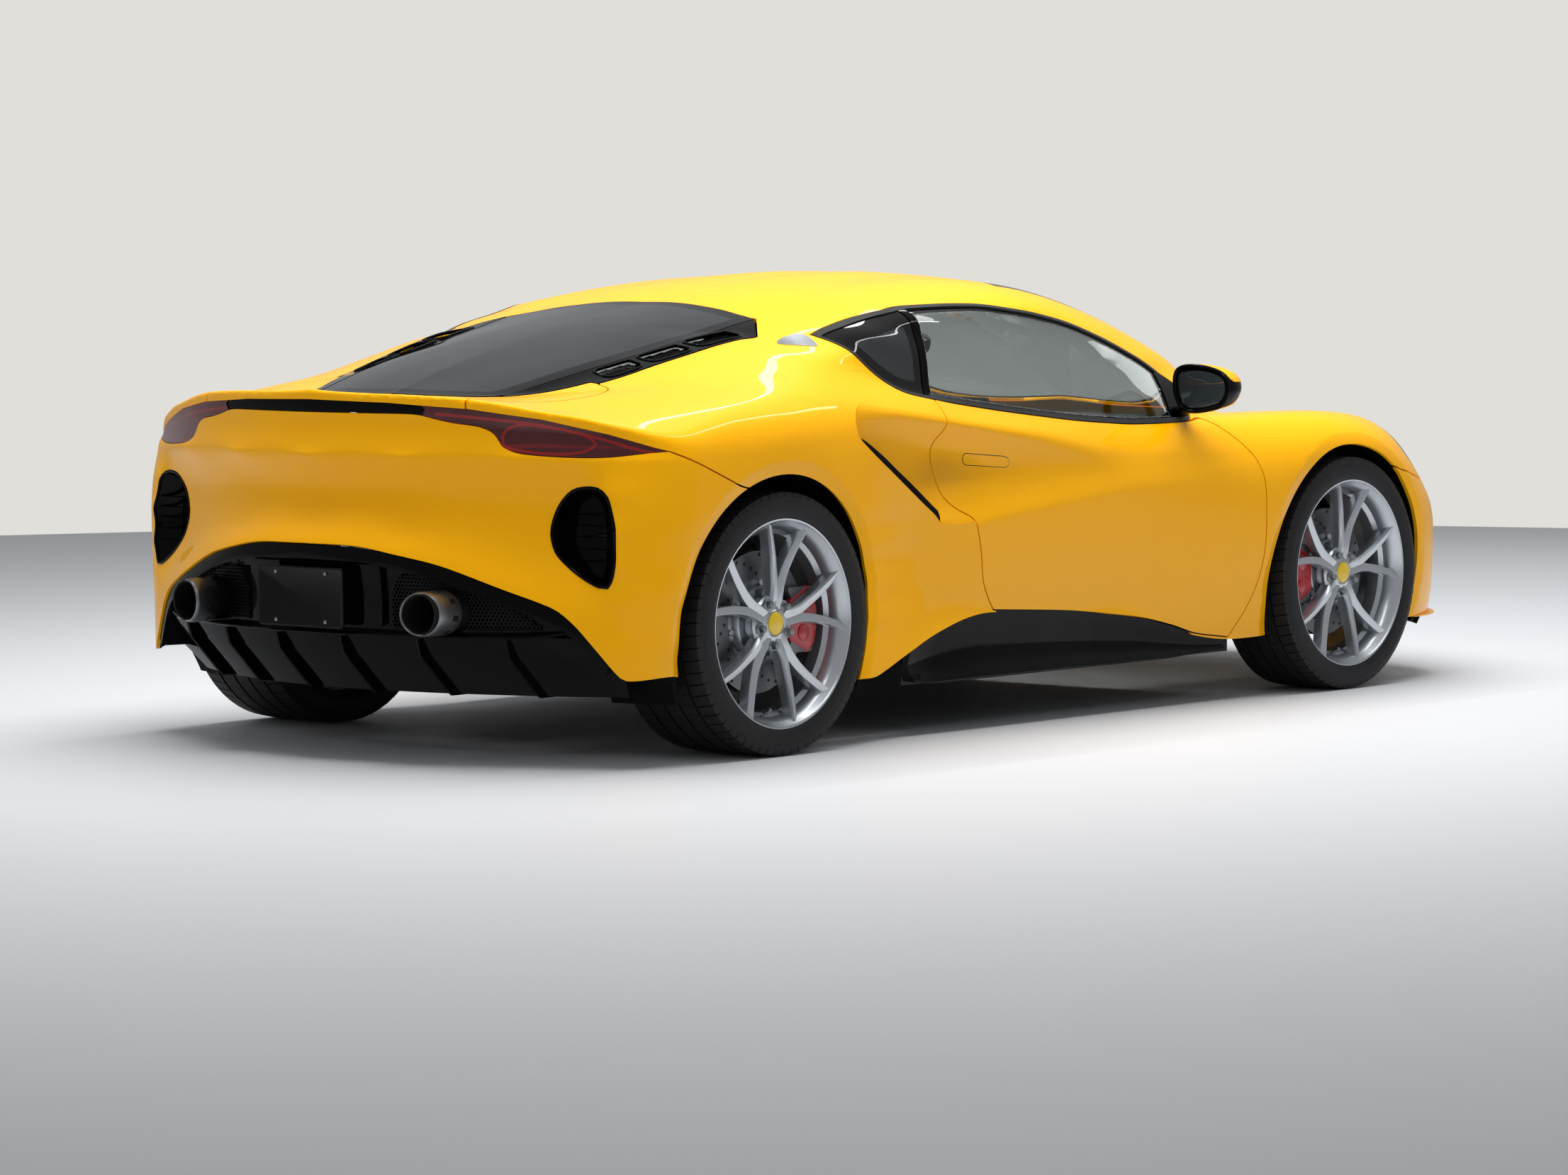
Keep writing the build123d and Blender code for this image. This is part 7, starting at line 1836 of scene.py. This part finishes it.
# ------------------------------------------------------------------ cabin linings
# Door cards with an armrest, a suede headlining, black trims on the pillars and a frameless
# interior mirror on the windscreen.
door_body = skin_mesh((-0.75, 0.7, 0.20), (0.80, 0.99, 0.90), False)
card = cut_by(door_body, within(DOOR, "xz", 0.022), lambda x, y, z: 0.33 - z)
pair("door_card", card, 0.020, leather, "door_{}_body", "dash_plastic", lift=-0.072)
pair("door_lining", door_skin, 0.002, duct_black, "door_{}_body", "dash_plastic", lift=-0.0125)
belt = curve_through([(-560, 884), (-400, 863), (-210, 841), (-18, 821), (114, 811), (246, 803), (463, 801),
                      (545, 806)], 6, closed=False)
shelf_at, _ = projected(belt - (0, 0.006), 1, 1.1)
BELT_SECTION = ((-0.014, 0.002), (-0.088, 0.020), (-0.096, 0.012), (-0.096, -0.030), (-0.090, -0.030),
                (-0.014, -0.006))
belt_top = moulding([shelf_at + (0, step, rise) for step, rise in BELT_SECTION])
fit_both("door_top_pad", belt_top, soft_plastic, 40, "door_{}_body", "dash_plastic")
armrest = tube_along([(-0.36, 0.745, 0.600), (-0.30, 0.738, 0.604), (-0.05, 0.735, 0.606), (0.16, 0.738, 0.600),
                      (0.24, 0.750, 0.590)], (0.014, 0.032, 0.036, 0.032, 0.014), sides=16, flat=0.6)
fit_both("door_armrest", armrest, leather, 50, "door_{}_body", "dash_plastic")
lining = cut_by(smooth_body, within(ROOF_PANEL, "xy", 0.012), lambda x, y, z: 0.95 - z)
across_middle("headlining", lining, 0.006, suede, "car", "seat_leather", lift=-0.024)
pillar = cut_by(rail, clear_of(DLO, "xz", 0.004), lambda x, y, z: -0.60 - x)
pair("pillar_trim", pillar, 0.005, suede, "car", "dash_plastic", lift=-0.018)
mirror_back = tube_along([(0.235, -0.118, 1.012), (0.235, -0.10, 1.012), (0.235, 0.10, 1.012), (0.235, 0.118, 1.012)],
                         (0.018, 0.030, 0.030, 0.018), sides=24, flat=0.35, up=(0.94, 0, -0.34))
stalk = tube_along([(0.245, 0.0, 1.02), (0.262, 0.0, 1.045), (0.268, 0.0, 1.062)], (0.010, 0.009, 0.016), sides=14,
                   up=(0, 1.0, 0))
fit_piece(sharp_object("interior_mirror", joined(mirror_back, stalk), piano_black, 50), "car", "gloss_black")
mirror_pane = tube_along([(0.2235, -0.112, 1.0085), (0.2235, -0.09, 1.0085), (0.2235, 0.09, 1.0085),
                          (0.2235, 0.112, 1.0085)], (0.016, 0.025, 0.025, 0.016), sides=24, flat=0.06,
                         up=(0.94, 0, -0.34))
fit_piece(sharp_object("interior_mirror_glass", mirror_pane, mirror_glass, 50), "car", "glass")


# ------------------------------------------------------------------ structure and running gear
# The bonded tub, arch liners, suspension, uprights, engine and silencer keep their shapes;
# each gets the finish of its own metal or plastic.
tub_metal, shader = new_material("anodised_extruded_aluminium", "#3A3C3F", 0.5, Metallic=0.7)
uneven_gloss(shader, grain(shader, 1, 3.0, stretch=(12, 500, 500)), 0.4, 0.65)
cast_metal, shader = new_material("sand_cast_aluminium", "#85878A", 0.5, Metallic=0.9)
SAND = 0.0016                # grain of the mould's sand
relief(shader, grain(shader, SAND), 0.35, 0.0008)
two_tone(shader, grain(shader, 0.05, 4.0), "#5F6062", "#97999C")
for nodes, finish in ((("tub",), tub_metal), (("arch_liners",), duct_black),
                      (("front_suspension", "rear_suspension", "front_knuckle_left", "front_knuckle_right",
                        "rear_uprights", "engine"), cast_metal), (("exhaust",), sooty_steel)):
    for name in nodes:
        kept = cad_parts[name]
        if not kept.material_slots:
            kept.data.materials.append(finish)
        for material_slot in kept.material_slots:
            material_slot.material = finish


# ------------------------------------------------------------------ camera, floor and light
# A long lens behind the right rear wheel, a pale floor and broad soft lamps overhead.
AZIMUTH, ELEVATION, ROLL = radians(-49.783), radians(3.883), radians(-0.204)
camera_data = bpy.data.cameras.new("camera")
camera = bpy.data.objects.new("camera", camera_data)
bpy.context.scene.collection.objects.link(camera)
camera_data.sensor_width, camera_data.lens, camera_data.clip_end = 36, 131.87, 300
back = np.array([sin(AZIMUTH) * cos(ELEVATION), -cos(AZIMUTH) * cos(ELEVATION), sin(ELEVATION)])
level = np.array([cos(AZIMUTH), sin(AZIMUTH), 0])
upward = np.cross(back, level)
axes = np.eye(4)
axes[:3, 0] = cos(ROLL) * level + sin(ROLL) * upward
axes[:3, 1] = cos(ROLL) * upward - sin(ROLL) * level
axes[:3, 2], axes[:3, 3] = back, (-12.6236, -10.4452, 1.4373)
camera.matrix_world = Matrix(axes.tolist())
bpy.context.scene.camera = camera
bpy.context.scene.view_settings.view_transform = "Standard"

floor_material, shader = new_material("pale_floor_paint", "#C3C5C8", 0.55)
uneven_gloss(shader, grain(shader, 0.5, 3.0), 0.5, 0.6)
FLOOR_RADIUS = 9
ring = np.linspace(0, 2 * pi, 97)[:-1]
floor = mesh_object("floor", [(0, 0, 0)] + [(FLOOR_RADIUS * cos(a), FLOOR_RADIUS * sin(a), 0) for a in ring],
                    [np.array([(0, i + 1, (i + 1) % 96 + 1) for i in range(96)])], floor_material)

world = bpy.data.worlds.new("studio")
bpy.context.scene.world = world
world.use_nodes = True
tree = world.node_tree
room = tree.nodes["Background"]
room.inputs["Color"].default_value, room.inputs["Strength"].default_value = linear("#DCDEE0"), 0.45
wall = add_node(tree, "ShaderNodeBackground", {"Color": linear("#E6E4DF"), "Strength": 0.95})
seen = add_node(tree, "ShaderNodeLightPath").outputs["Is Camera Ray"]
either = add_node(tree, "ShaderNodeMixShader", {0: seen, 1: room.outputs[0], 2: wall.outputs[0]})
tree.links.new(either.outputs[0], tree.nodes["World Output"].inputs["Surface"])
for name, spot, turn, size, power in (
        ("overhead", (0.3, 0, 5.0), (0, 0, 0), (7.0, 4.0), 500),
        ("side_right", (-1.5, -6.0, 4.2), (radians(52), 0, radians(-8)), (6.0, 1.4), 30),
        ("side_left", (-1.5, 6.0, 4.2), (radians(-52), 0, radians(8)), (6.0, 1.4), 30),
        ("tail", (-7.0, -1.0, 3.4), (radians(62), 0, radians(-86)), (4.0, 1.2), 32),
        ("nose", (7.5, 0, 3.4), (radians(62), 0, radians(90)), (4.0, 1.2), 60),
        ("strip_right", (0, -1.7, 4.2), (0, 0, 0), (6.5, 0.22), 40),
        ("strip_left", (0, 1.3, 4.2), (0, 0, 0), (6.5, 0.22), 40)):
    lamp = bpy.data.lights.new(name, "AREA")
    lamp.shape, lamp.size, lamp.size_y, lamp.energy = "RECTANGLE", *size, power
    holder = bpy.data.objects.new(name, lamp)
    holder.location, holder.rotation_euler = spot, turn
    holder.visible_glossy = name.startswith("strip")
    bpy.context.scene.collection.objects.link(holder)
